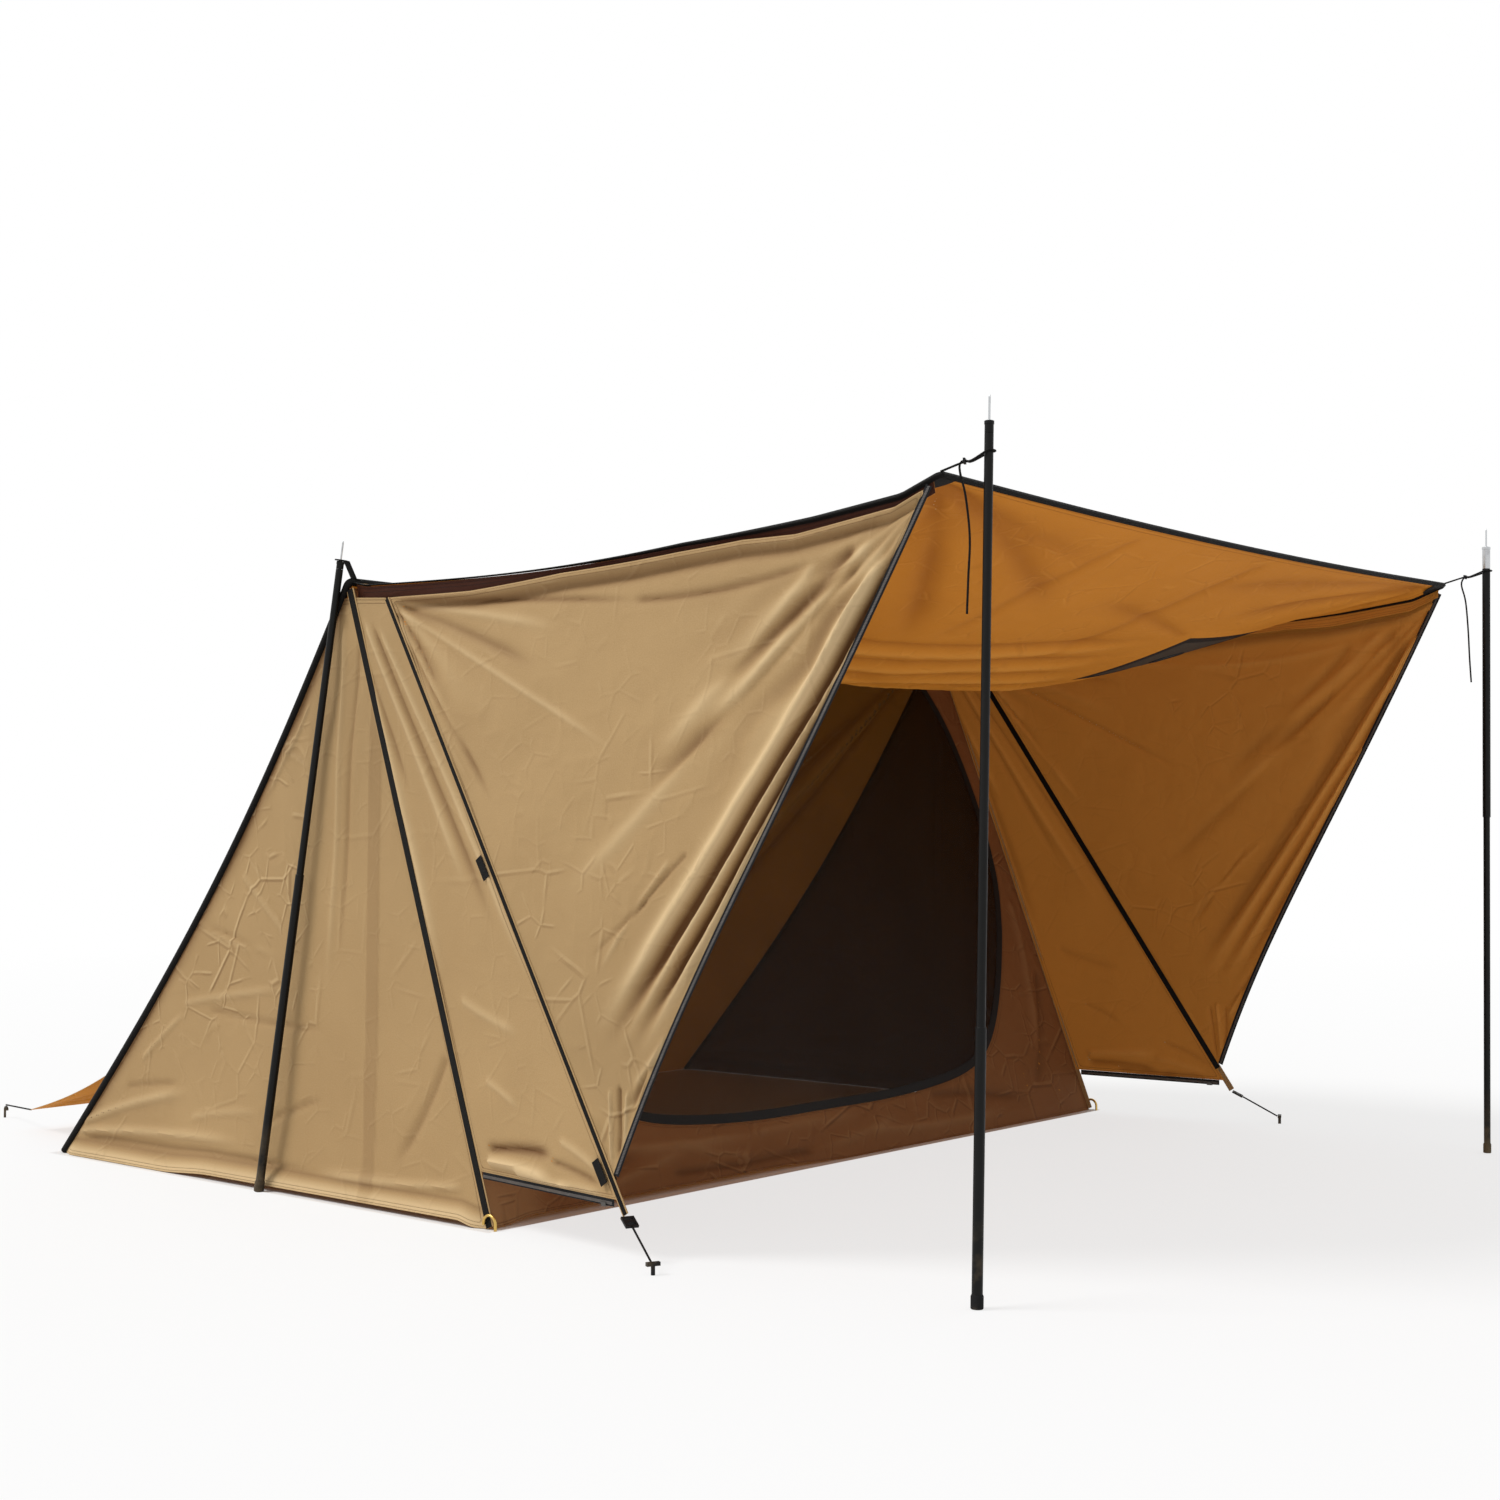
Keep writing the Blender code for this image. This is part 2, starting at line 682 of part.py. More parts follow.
def door_outline(grow):
    """The door's rounded outline on the front wall, grown outwards by a length."""
    side = np.array(DOOR_SIDE_SHARES) * np.array((BASE_HALF, WALL_SLOPE))
    flat = np.column_stack([side, np.zeros(len(side))])
    length = np.linalg.norm(np.diff(flat, axis=0), axis=1).sum()
    right = smooth_route(flat, length / (DOOR_CURVE_STEPS * len(side)))[:, :2]
    loop = np.vstack([right, right[::-1] * np.array((-1, 1))])
    along = unit(np.roll(loop, -1, axis=0) - loop)
    before = np.roll(along, 1, axis=0)
    out = np.stack([along[:, 1] + before[:, 1], -along[:, 0] - before[:, 0]], -1)
    mitre = 1 + (along * before).sum(1, keepdims=True)
    moved = loop + out / mitre * grow
    return front_wall_point(moved[:, 0], moved[:, 1])


def awning_lines():
    """Shares across and along at which the roof's cloth is drawn."""
    across, reach = jack_corners()
    side = 1 - (BINDING_WIDTH + SEAT_GAP) / AWNING_HALF
    front = 1 - (BINDING_WIDTH + SEAT_GAP) / AWNING_REACH
    columns = np.array((*AWNING_COLUMNS_SHARES, *across, AWNING_LAST_COLUMN_SHARE, 1.0))
    rows = (EDGE_GAP / AWNING_REACH, *AWNING_ROWS_SHARES, *reach, *AWNING_LAST_ROWS_SHARES, front)
    return np.clip(columns, -side, side), np.array(rows)


def cloth_point(x, reach):
    """A point of the roof's cloth as drawn, straight between its lines."""
    columns, rows = awning_lines()
    heights = awning_point(columns[None, :], rows[:, None])[..., 2]
    across = [np.interp(x / AWNING_HALF, columns, row) for row in heights]
    return np.array((x, -reach, np.interp(reach / AWNING_REACH, rows, across)))


def jack_corners():
    """Low and high share of the awning's grid around the stove jack, across and along it."""
    x, y = JACK_CENTRE
    across = ((x - JACK_WIDTH / 2) / AWNING_HALF, (x + JACK_WIDTH / 2) / AWNING_HALF)
    reach = ((-y - JACK_DEPTH / 2) / AWNING_REACH, (-y + JACK_DEPTH / 2) / AWNING_REACH)
    return across, reach


def jack_point(x, y):
    """A point of the flat-sided cell that the jack fills, from its four corners' heights."""
    across, reach = jack_corners()
    s = (x / AWNING_HALF - across[0]) / (across[1] - across[0])
    t = (-y / AWNING_REACH - reach[0]) / (reach[1] - reach[0])
    corners = awning_point(np.array(across)[None, :], np.array(reach)[:, None])
    top = blend(corners[0, 0], corners[0, 1], s)
    bottom = blend(corners[1, 0], corners[1, 1], s)
    return blend(top, bottom, t)


def jack_loop(margin):
    """The corners of the jack's cell, drawn in by a margin."""
    x, y = JACK_CENTRE
    half_x, half_y = JACK_WIDTH / 2 - margin, JACK_DEPTH / 2 - margin
    signs = ((-1, 1), (1, 1), (1, -1), (-1, -1))
    return [jack_point(x + half_x * i, y + half_y * j) for i, j in signs]


def jack_normal():
    corners = jack_loop(0.0)
    normal = unit(np.cross(corners[1] - corners[3], corners[0] - corners[2]))
    return normal * np.sign(normal[2])


# Pieces


def make_room(tent):
    """The sleeping room: ridge piping, walls, and the strips over their seams."""
    bend = 2 * PIPING_RADIUS
    seam = rear_seam(np.sort((*seam_rows(0, PIPING_RADIUS), bend / RIDGE_HEIGHT)))
    seam = np.vstack([(RIDGE_HALF - bend, 0, RIDGE_HEIGHT), seam])
    tube("seam_piping", np.vstack([mirrored(seam, -1)[::-1], seam]), PIPING_RADIUS, tent, BLACK)
    sheet("rear_wall", rear_wall_grid(), tent, KHAKI)
    for side, word in ((-1, "left"), (1, "right")):
        sheet("end_wall_" + word, mirrored(end_wall_grid(), side), tent, KHAKI)
    make_front_wall(tent)
    make_front_seams(tent)


def make_front_wall(tent):
    reach = STRAP_LIFT - SEAT_GAP
    low = HEM_LIFT / RIDGE_HEIGHT * WALL_SLOPE
    high = WALL_SLOPE - FRONT_WALL_TOP
    low_half = front_seam(1 - low / WALL_SLOPE)[0] + reach
    high_half = front_seam(1 - high / WALL_SLOPE)[0] + reach
    corners = ((-low_half, low), (low_half, low), (high_half, high), (-high_half, high))
    outline = [front_wall_point(x, slope) for x, slope in corners]
    facing = (0, -RIDGE_HEIGHT, FRONT_BASE)
    plate("front_wall", [outline, door_outline(DOOR_GAP)], facing, tent, BROWN)


def make_front_seams(tent):
    for side, word in ((-1, "left"), (1, "right")):
        ends = front_seam(seam_rows(APEX_DROP / 2, STRAP_WIDTH / 4)[[0, -1]])
        section = rectangle(STRAP_WIDTH, STRAP_THICKNESS, lift=STRAP_LIFT + STRAP_THICKNESS / 2)
        outward = mirrored(strap_outward(front_seam, rear_seam, wing_fold_line), side)
        strip("front_seam_strap_" + word, mirrored(ends, side), outward, section, tent, BLACK)


def make_door(tent):
    """The mesh door, hung from the upper edge of its opening."""
    top = max(point[2] for point in door_outline(0.0))
    pivot_slope = top / RIDGE_HEIGHT * WALL_SLOPE
    hinge = empty("door_hinge", tuple(front_wall_point(0.0, pivot_slope)), tent)
    facing = (0, -RIDGE_HEIGHT, FRONT_BASE)
    rimmed_plate("mesh_door", door_outline(0.0), door_outline(-DOOR_TAPE), facing, hinge, MESH_BLACK)


def make_wings(tent):
    """The cloth beside the porch: a narrow gore behind the fold line, a wide wing before it."""
    rows = np.array((*WING_ROWS_SHARES, ZIP_END_SHARE))
    gore = gore_grid()
    hem = gore[-1]
    for side, word in ((-1, "left"), (1, "right")):
        sheet("wing_" + word, mirrored(wing_grid(), side), tent, KHAKI)
        sheet("gore_" + word, mirrored(gore, side), tent, KHAKI)

        front = wing_front_line(rows)
        back, edge = trimmed(wing_back_line(rows), front, 0, ZIP_TAPE)
        toward = unit(front - edge)
        up = unit(np.cross(toward, np.gradient(front, axis=0)))
        up = up * np.sign(up[:, :1])
        bm = bmesh.new()
        ups = mirrored(up, side)
        sweep_into(bm, mirrored(edge, side), mirrored(toward, side), ups, zip_section(ZIP_TAPE, ZIP_BEAD))
        mesh_object("wing_zipper_" + word, bm, tent, ZIP_GREY)

        along = unit(hem[-1] - hem[0])
        normal = outward_side(gore)[-1, 2]
        down = unit(np.cross(along, normal))
        down = down * -np.sign(down[2])
        ends = gore_zip_ends()
        bm = bmesh.new()
        downs = mirrored(np.array([down, down]), side)
        ups = mirrored(np.array([normal, normal]), side)
        sweep_into(bm, mirrored(ends, side), downs, ups, zip_section(ZIP_TAPE, ZIP_BEAD))
        mesh_object("gore_zipper_" + word, bm, tent, ZIP_GREY)

        line = wing_fold_line(np.array((NEAR_SHARE, 1 - NEAR_SHARE)))
        section = rectangle(STRAP_WIDTH, STRAP_THICKNESS, lift=STRAP_LIFT + STRAP_THICKNESS / 2)
        outward = mirrored(strap_outward(wing_fold_line, front_seam, wing_front_line), side)
        strap = strip("wing_strap_" + word, mirrored(line, side), outward, section, tent, BLACK)
        add_strap_tabs(strap, side, tent)


def gore_zip_ends():
    """Where the tape below the gore starts and ends, along the gore's own lower edge."""
    hem = gore_grid()[-1]
    along = unit(hem[-1] - hem[0])
    normal = outward_side(gore_grid())[-1, 2]
    down = unit(np.cross(along, normal))
    down = down * -np.sign(down[2])
    start = hem[0] + along * STRAP_WIDTH * 3 / 4 + down * SEAT_GAP
    end = hem[-1] - along * STRAP_WIDTH * 3 / 4 + down * SEAT_GAP
    return np.array([start, end])


def beside(line, edge, share):
    """Outward direction of the cloth between a straight line and an edge, at a share of both."""
    along = unit(line(1.0) - line(0.0))
    normal = unit(np.cross(along, edge(share) - line(share)))
    return normal * np.sign(normal[0])


def strap_outward(line, one, other):
    """Outward direction of a strap on the line, between those of the cloth on its two sides."""
    middle = 0.5
    return unit(beside(line, one, middle) + beside(line, other, middle))


def add_strap_tabs(strap, side, parent):
    """Webbing tabs sewn under the fold line's strap, which lie on the gore beside it."""
    width, length = TAB_SIZE
    along = unit(wing_fold_line(1.0) - wing_fold_line(0.0))
    for share in STRAP_TAB_SHARES:
        place = wing_fold_line(share)
        up = beside(wing_fold_line, front_seam, share)
        inner = np.cross(along, up)
        inner = inner * np.sign(inner[1])
        reach = width + STRAP_WIDTH / 2
        centre = place + inner * reach / 2
        path = [centre - along * length / 2, centre + along * length / 2]
        section = rectangle(reach, STRAP_THICKNESS, lift=STRAP_LIFT + STRAP_THICKNESS / 4)
        bm = bmesh.new()
        acrosses = mirrored(np.array([inner, inner]), side)
        ups = mirrored(np.array([up, up]), side)
        sweep_into(bm, mirrored(path, side), acrosses, ups, section)
        join(strap, bm, parent)


def make_awning(tent):
    """The raised front roof: its cloth, edge binding, eaves and the stove jack."""
    hinge = empty("awning_hinge", RIDGE, tent)
    across, reach = jack_corners()
    columns, rows = awning_lines()
    hole = (int(np.argmin(np.abs(rows - reach[0]))), int(np.argmin(np.abs(columns - across[0]))))
    grid = awning_point(columns[None, :], rows[:, None])
    sheet("awning", grid, hinge, SUNLIT, hole=hole)
    make_binding(hinge, columns, rows)
    make_eaves(hinge, rows)
    make_jack(hinge)


def make_binding(hinge, columns, rows):
    """A black edge round three sides of the roof, on the roof's own curve."""
    side_x = 1 - BINDING_WIDTH / 2 / AWNING_HALF
    front_y = 1 - BINDING_WIDTH / 2 / AWNING_REACH
    left = [(-side_x, row) for row in rows[:-1]]
    front = [(-side_x, front_y), *((column, front_y) for column in columns[1:-1]), (side_x, front_y)]
    right = [(side_x, row) for row in rows[-2::-1]]
    route = np.array(left + front + right)
    points = awning_point(route[:, 0], route[:, 1])
    first, last = len(left), len(left) + len(front) - 1
    across = np.zeros_like(points)
    across[:first] = (-1, 0, 0)
    across[first + 1 : last] = (0, -1, 0)
    across[last + 1 :] = (1, 0, 0)
    across[first] = (-1, -1, 0)
    across[last] = (1, -1, 0)
    along = unit(np.gradient(points, axis=0))
    up = unit(np.cross(across, along))
    up = up * np.sign(up[:, 2:])
    bm = bmesh.new()
    sweep_into(bm, relative(points, hinge), across, up, rectangle(BINDING_WIDTH, BINDING_THICKNESS))
    mesh_object("awning_binding", bm, hinge, BLACK)


def make_eaves(hinge, rows):
    """Strips that hang from the roof's side edges, inside the wings."""
    start = EAVE_START / AWNING_REACH
    stop = 1 - BINDING_WIDTH * 2 / AWNING_REACH
    shares = np.array([start, *[row for row in rows if start < row < stop], stop])
    bound = awning_point(1 - BINDING_WIDTH / 2 / AWNING_HALF, rows)
    edge = np.stack([np.interp(shares, rows, bound[:, axis]) for axis in range(3)], -1)
    edge[:, 2] -= BINDING_THICKNESS / 2 + 2 * SEAT_GAP
    low = edge + np.array((-EAVE_INSET, 0, -EAVE_DROP))
    for side, word in ((-1, "left"), (1, "right")):
        grid = np.stack([edge, (edge + low) / 2, low], axis=1)
        sheet("eave_" + word, mirrored(grid, side), hinge, DARK_RED)


def make_jack(hinge):
    """The stove jack: a black border, a heat-proof patch with a round hole, and a storm flap."""
    normal = jack_normal()
    border_out, border_in = jack_loop(SEAT_GAP), jack_loop(JACK_BORDER)
    plate("jack_border", [border_out, border_in], normal, hinge, BLACK)
    x, y = JACK_CENTRE
    radius = PIPE_RADIUS + PIPE_CLEARANCE
    turns = np.linspace(0, 2 * np.pi, 25)[:-1]
    circle = [jack_point(x + radius * math.cos(turn), y + radius * math.sin(turn)) for turn in turns]
    plate("jack_patch", [jack_loop(JACK_BORDER + SEAT_GAP), circle], normal, hinge, JACK_GREY)

    start, end = jack_loop(0.0)[:2]
    pivot = (start + end) / 2 + np.array((0, 0, FLAP_HINGE_LIFT))
    flap_hinge = empty("jack_flap_hinge", Vector(pivot) - Vector(RIDGE), hinge)
    half = JACK_WIDTH / 2 - FLAP_MARGIN
    near = -y - JACK_DEPTH / 2 - FABRIC
    far = near - JACK_DEPTH + FLAP_MARGIN
    xs = np.linspace(x - half, x + half, 4)
    reaches = np.array((near, *[row * AWNING_REACH for row in AWNING_ROWS_SHARES[:-3:-1]], far))
    grid = np.array([[cloth_point(across, reach) for across in xs] for reach in reaches])
    grid[..., 2] += np.linspace(FLAP_HINGE_LIFT, FLAP_LIFT, len(reaches))[:, None]
    sheet("jack_flap", grid, flap_hinge, SUNLIT)


def pole(tent, word, foot, lean, height, joint, wide_below, plug, colour):
    """Two sliding tubes with a foot, a metal plug and a spike, on the pole's leaning axis."""
    axis = Vector((*lean, height))
    length = axis.length
    turn = Vector((0, 0, 1)).rotation_difference(axis)
    base = empty("pole_" + word, (*foot, 0.0), tent, turn)
    below, above = (WIDE_RADIUS, NARROW_RADIUS) if wide_below else (NARROW_RADIUS, WIDE_RADIUS)
    scale = length / height
    split = joint * scale
    lower_end = split if wide_below else split + TUBE_OVERLAP
    upper_start = split - TUBE_OVERLAP if wide_below else split
    lower = turned(
        "pole_lower_" + word,
        [
            (0, 0),
            (below, 0),
            (below, lower_end),
            (below - TUBE_WALL, lower_end),
            (below - TUBE_WALL, FOOT_THICKNESS),
            (0, FOOT_THICKNESS),
        ],
        POLE_SIDES,
        base,
        colour,
        0.4,
        0.6,
    )
    level = turn.inverted() @ Vector((0, 0, 1))
    for vertex in lower.data.vertices:
        if vertex.co.z < MERGE:
            vertex.co.z = -(level.x * vertex.co.x + level.y * vertex.co.y) / level.z
    if wide_below:
        holes = bmesh.new()
        for step in (1, 2):
            place = Matrix.Translation((0, 0, split - step * HOLE_STEP))
            across = place @ Matrix.Rotation(math.pi / 2, 4, "Y")
            bmesh.ops.create_cone(
                holes,
                cap_ends=True,
                segments=PEG_SIDES,
                radius1=HOLE_RADIUS,
                radius2=HOLE_RADIUS,
                depth=2 * WIDE_RADIUS + OVERRUN,
                matrix=across,
            )
        cut(lower, holes, base)
    top = length - plug
    turned(
        "pole_upper_" + word,
        [
            (above - TUBE_WALL, upper_start),
            (above, upper_start),
            (above, top),
            (above - TUBE_WALL, top),
            (above - TUBE_WALL, upper_start),
        ],
        POLE_SIDES,
        base,
        colour,
        0.4,
        0.6,
    )
    neck = above - TUBE_WALL - SEAT_GAP
    turned(
        "pole_tip_" + word,
        [
            (0, top - plug),
            (neck, top - plug),
            (neck, top + SEAT_GAP),
            (above, top + SEAT_GAP),
            (above, length - TUBE_WALL),
            (above - TUBE_WALL, length),
            (SPIKE_RADIUS, length),
            (SPIKE_RADIUS, length + SPIKE_LENGTH - SPIKE_RADIUS),
            (0, length + SPIKE_LENGTH),
        ],
        POLE_SIDES,
        base,
        SILVER,
        0.3,
        1.0,
    )
    return base


def make_poles(tent):
    pole(
        tent, "front_left", FRONT_FOOT_LEFT, FRONT_LEAN_LEFT,
        POLE_HEIGHT, FRONT_JOINT_LEFT, True, PLUG_LEFT, POLE_BLACK,
    )
    pole(
        tent, "front_right", FRONT_FOOT_RIGHT, FRONT_LEAN_RIGHT,
        POLE_HEIGHT, FRONT_JOINT_RIGHT, False, PLUG_RIGHT, POLE_BLACK,
    )
    for side, word in ((-1, "left"), (1, "right")):
        foot = (RIDGE_FOOT[0] * side, RIDGE_FOOT[1])
        lean = (RIDGE_LEAN[0] * side, RIDGE_LEAN[1])
        base = pole(
            tent, "ridge_" + word, foot, lean,
            RIDGE_POLE_HEIGHT, RIDGE_JOINT, True, PLUG_RIDGE, POLE_BLACK,
        )
        make_apex_tab(tent, word, side, base)


def make_apex_tab(tent, word, side, base):
    """A webbing eye that sits on a ridge pole's plug and runs down to the ridge's end."""
    length = math.hypot(RIDGE_POLE_HEIGHT, math.hypot(*RIDGE_LEAN))
    turn = base.rotation_quaternion
    centre = np.array(base.location) + np.array(turn @ Vector((0, 0, length + SEAT_GAP)))
    up = np.array(turn @ Vector((0, 0, 1)))
    bm = bmesh.new()
    ring = [
        (TAB_RING_HOLE, 0),
        (TAB_RING_RADIUS, 0),
        (TAB_RING_RADIUS, TAB_THICKNESS),
        (TAB_RING_HOLE, TAB_THICKNESS),
        (TAB_RING_HOLE, 0),
    ]
    placed = Matrix.Translation(centre) @ turn.to_matrix().to_4x4()
    turned_into(bm, ring, POLE_SIDES, placed)
    eye = mesh_object("apex_tab_" + word, bm, tent, BLACK)

    inside = unit(np.array((-side, 0, 0)) - up * (-side * up[0]))
    start = centre + inside * (TAB_RING_HOLE + TAB_RING_RADIUS) / 2 + up * TAB_THICKNESS / 2
    bend = centre + inside * (TAB_RING_RADIUS + TAB_THICKNESS) + up * TAB_THICKNESS / 2
    end = np.array((side * (RIDGE_HALF - EDGE_GAP), 0, RIDGE_HEIGHT + PIPING_RADIUS + SEAT_GAP))
    end = end + np.array((-side * TAB_ARM_WIDTH, 0, TAB_THICKNESS / 2))
    path = np.array([start, bend, end - np.array((-side * TAB_ARM_WIDTH / 2, 0, 0)), end])
    arm = bmesh.new()
    across = np.tile(unit(np.cross(up, inside)), (len(path), 1))
    along = unit(np.gradient(path, axis=0))
    ups = unit(np.cross(along, across))
    sweep_into(arm, path, across, ups, rectangle(TAB_ARM_WIDTH, TAB_THICKNESS))
    join(eye, arm, tent)


def make_wing_feet(tent):
    """What holds the foot of each wing: a slotted buckle, a cord and a stake."""
    foot = np.array(WING_FOOT)
    stake = np.array((*STAKE_POINT, STAKE_HEIGHT))
    along = unit(stake - foot)
    length, width, thickness = BUCKLE_SIZE
    for side, word in ((-1, "left"), (1, "right")):
        across = unit(np.cross(along, (0, 0, 1)))
        up = np.cross(across, along)
        frame = Matrix([mirrored(axis, side) for axis in (along, across, up)]).transposed().to_4x4()
        start = foot + along * SEAT_GAP
        centre = start + along * length / 2
        bm = bmesh.new()
        place = Matrix.Translation(mirrored(centre, side)) @ frame
        box_into(bm, BUCKLE_SIZE, place)
        buckle = mesh_object("wing_buckle_" + word, bm, tent, BLACK)
        slots = bmesh.new()
        for shift in (-1, 1):
            spot = place @ Matrix.Translation((shift * length / 4, 0, 0))
            box_into(slots, (*BUCKLE_SLOT, thickness + OVERRUN), spot)
        cut(buckle, slots, tent)

        head_near = (STAKE_HEAD[1] + CORD_RADIUS) / 2 + SEAT_GAP
        first = start + along * (length + SEAT_GAP)
        last = stake - unit((along[0], along[1], 0)) * head_near
        route = smooth_route([first, (first + last) / 2, last], 6 * CORD_RADIUS)
        tube("wing_cord_" + word, mirrored(route, side), CORD_RADIUS, tent, BLACK)

        shaft = [(0, 0), (STAKE_RADIUS, 0), (STAKE_RADIUS, STAKE_HEIGHT), (0, STAKE_HEIGHT)]
        driven = bmesh.new()
        turned_into(driven, shaft, PEG_SIDES, Matrix.Translation(mirrored((*STAKE_POINT, 0), side)))
        pin = mesh_object("wing_stake_" + word, driven, tent, BLACK, smooth=True)
        level = unit((along[0], along[1], 0))
        sideways = np.array((-level[1], level[0], 0))
        axes = [mirrored(axis, side) for axis in (sideways, level, (0, 0, 1))]
        place = Matrix.Translation(mirrored(stake, side)) @ Matrix(axes).transposed().to_4x4()
        head = bmesh.new()
        box_into(head, STAKE_HEAD, place)
        join(pin, head, tent)


def hooked_peg(x, y, side, reach):
    """The route of a bent pin: straight up from the ground, then over in a half circle."""
    turns = np.linspace(0, np.pi, 7)
    radius = abs(reach) / 2
    bend = [
        (x, y + reach / 2 * (1 - math.cos(turn)), PEG_HEIGHT - radius + radius * math.sin(turn))
        for turn in turns
    ]
    tail = (x, bend[-1][1], bend[-1][2] - PEG_RADIUS)
    return mirrored([(x, y, 0.0), *bend, tail], side)


def make_pegs(tent):
    beside_strap = max(front_seam(1 - (PEG_HEIGHT + PEG_RADIUS) / RIDGE_HEIGHT)[0], BASE_HALF)
    corner_x = beside_strap + STRAP_LIFT + STRAP_THICKNESS + SEAT_GAP + PEG_RADIUS
    corner_y = -FRONT_BASE + CORNER_PEG_SHIFT
    x, y = APRON_PEG
    for side, word in ((-1, "left"), (1, "right")):
        route = hooked_peg(corner_x, corner_y, side, CORNER_PEG_HOOK)
        tube("corner_peg_" + word, route, PEG_RADIUS, tent, BRASS, 0.3, 1.0)
        route = hooked_peg(x, y, side, -PEG_HOOK)
        tube("apron_peg_" + word, route, PEG_RADIUS, tent, BLACK, 0.4, 0.5)


def make_apron(tent):
    """The cloth apron behind the rear wall, hinged along its upper edge, with two cords."""
    share = 1 - APRON_LINE / RIDGE_HEIGHT
    wall = rear_seam(share)
    slope = rear_seam(share + NEAR_SHARE) - rear_seam(share - NEAR_SHARE)
    outward = unit((0, -slope[2], slope[1]))
    pivot = np.array((0, wall[1], wall[2])) + outward * (FABRIC + SEAT_GAP)
    hinge = empty("apron_hinge", tuple(pivot), tent)
    rows = np.array(APRON_ROWS_SHARES)
    columns = np.array(APRON_COLUMNS_SHARES)
    y = pivot[1] + (APRON_REACH - pivot[1]) * rows
    z = pivot[2] + (APRON_END_HEIGHT - pivot[2]) * rows - APRON_SAG * np.sin(np.pi * rows)
    half = APRON_TOP_HALF + (APRON_END_HALF - APRON_TOP_HALF) * rows
    x = half[:, None] * columns[None]
    y, z = (np.repeat(line[:, None], len(columns), axis=1) for line in (y, z))
    grid = np.stack([x, y, z], -1)
    sheet("rear_apron", grid, hinge, SUNLIT)
    top = PEG_HEIGHT + PEG_RADIUS + CORD_RADIUS + SEAT_GAP
    for side, word in ((-1, "left"), (1, "right")):
        first = np.array((APRON_END_HALF - 2 * CORD_RADIUS, APRON_REACH + 2 * SEAT_GAP, APRON_END_HEIGHT))
        last = np.array((APRON_PEG[0], APRON_PEG[1] - PEG_HOOK / 2, top))
        route = smooth_route([first, (first + last) / 2, last], 6 * CORD_RADIUS)
        tube("apron_cord_" + word, mirrored(route, side), CORD_RADIUS, tent, BLACK)


def slider_section(bead):
    """A squared hook that goes round a zipper's row of teeth, as (across, up) points."""
    inner = bead / 2 + SEAT_GAP
    outer = inner + SLIDER_WALL
    back = -bead - SEAT_GAP
    front = SEAT_GAP
    lip = FABRIC / 2 + SEAT_GAP
    rim = back - SLIDER_WALL
    return [
        (rim, -outer),
        (front + SLIDER_WALL, -outer),
        (front + SLIDER_WALL, outer),
        (rim, outer),
        (rim, lip),
        (back, lip),
        (back, inner),
        (front, inner),
        (front, -inner),
        (back, -inner),
        (back, -lip),
        (rim, -lip),
    ]


def make_sliders(tent):
    """The slider on the tape below each gore, parked by the wing's foot."""
    start, end = gore_zip_ends()
    along = unit(end - start)
    normal = outward_side(gore_grid())[-1, 2]
    down = unit(np.cross(along, normal))
    down = down * -np.sign(down[2])
    up = np.cross(down, along)
    up = up * np.sign(up[0])
    edge = down * ZIP_TAPE
    middle = end + edge - along * (2 * SLIDER_LENGTH)
    for side, word in ((-1, "left"), (1, "right")):
        centre = mirrored(middle, side)
        carrier = empty("slider_" + word, tuple(centre), tent)
        bm = bmesh.new()
        half = along * SLIDER_LENGTH / 2
        path = mirrored([middle - half, middle + half], side) - centre
        acrosses = mirrored([down, down], side)
        ups = mirrored([up, up], side)
        sweep_into(bm, path, acrosses, ups, slider_section(ZIP_BEAD))
        bmesh.ops.recalc_face_normals(bm, faces=bm.faces)
        mesh_object("zipper_slider_" + word, bm, carrier, SILVER, 0.4, 1.0)


def make_corner_cords(tent):
    """From each front corner of the roof a cord goes round the pole and back through a runner."""
    inset = BINDING_WIDTH / 2
    corner = awning_point(1 - inset / AWNING_HALF, 1 - inset / AWNING_REACH)
    corner[2] += BINDING_THICKNESS / 2 + SEAT_GAP + CORD_RADIUS
    poles = (
        ("left", -1, FRONT_FOOT_LEFT, FRONT_LEAN_LEFT, NARROW_RADIUS, TAIL_LEFT),
        ("right", 1, FRONT_FOOT_RIGHT, FRONT_LEAN_RIGHT, WIDE_RADIUS, TAIL_RIGHT),
    )
    for (word, side, foot, lean, around, tail), share in zip(poles, CORD_HEIGHT_SHARES):
        start = mirrored(corner, side)
        post = np.array((*foot, 0.0)) + np.array((*lean, POLE_HEIGHT)) * share
        level = np.array((1.0, 1.0, 0.0))
        toward = unit((post - start) * level)
        aside = np.cross(toward, (0, 0, side))
        centre = blend(start, post, RUNNER_SHARE)
        reach = toward * RUNNER_LENGTH
        spread = aside * RUNNER_SPREAD
        radius = around + CORD_RADIUS + WRAP_GAP
        turns = np.linspace(0, np.pi, 6)
        wrap = [post + (aside * math.cos(turn) + toward * math.sin(turn)) * radius for turn in turns]
        back = centre - spread
        drop = [back - reach * place[0] + np.array(place[1:]) for place in tail]
        route = [start, centre + spread, centre + spread + reach, *wrap, back + reach, back, *drop]
        tube("corner_cord_" + word, smooth_route(route, 5 * CORD_RADIUS), CORD_RADIUS, tent, BLACK)
        make_runner(tent, word, centre, toward, aside)


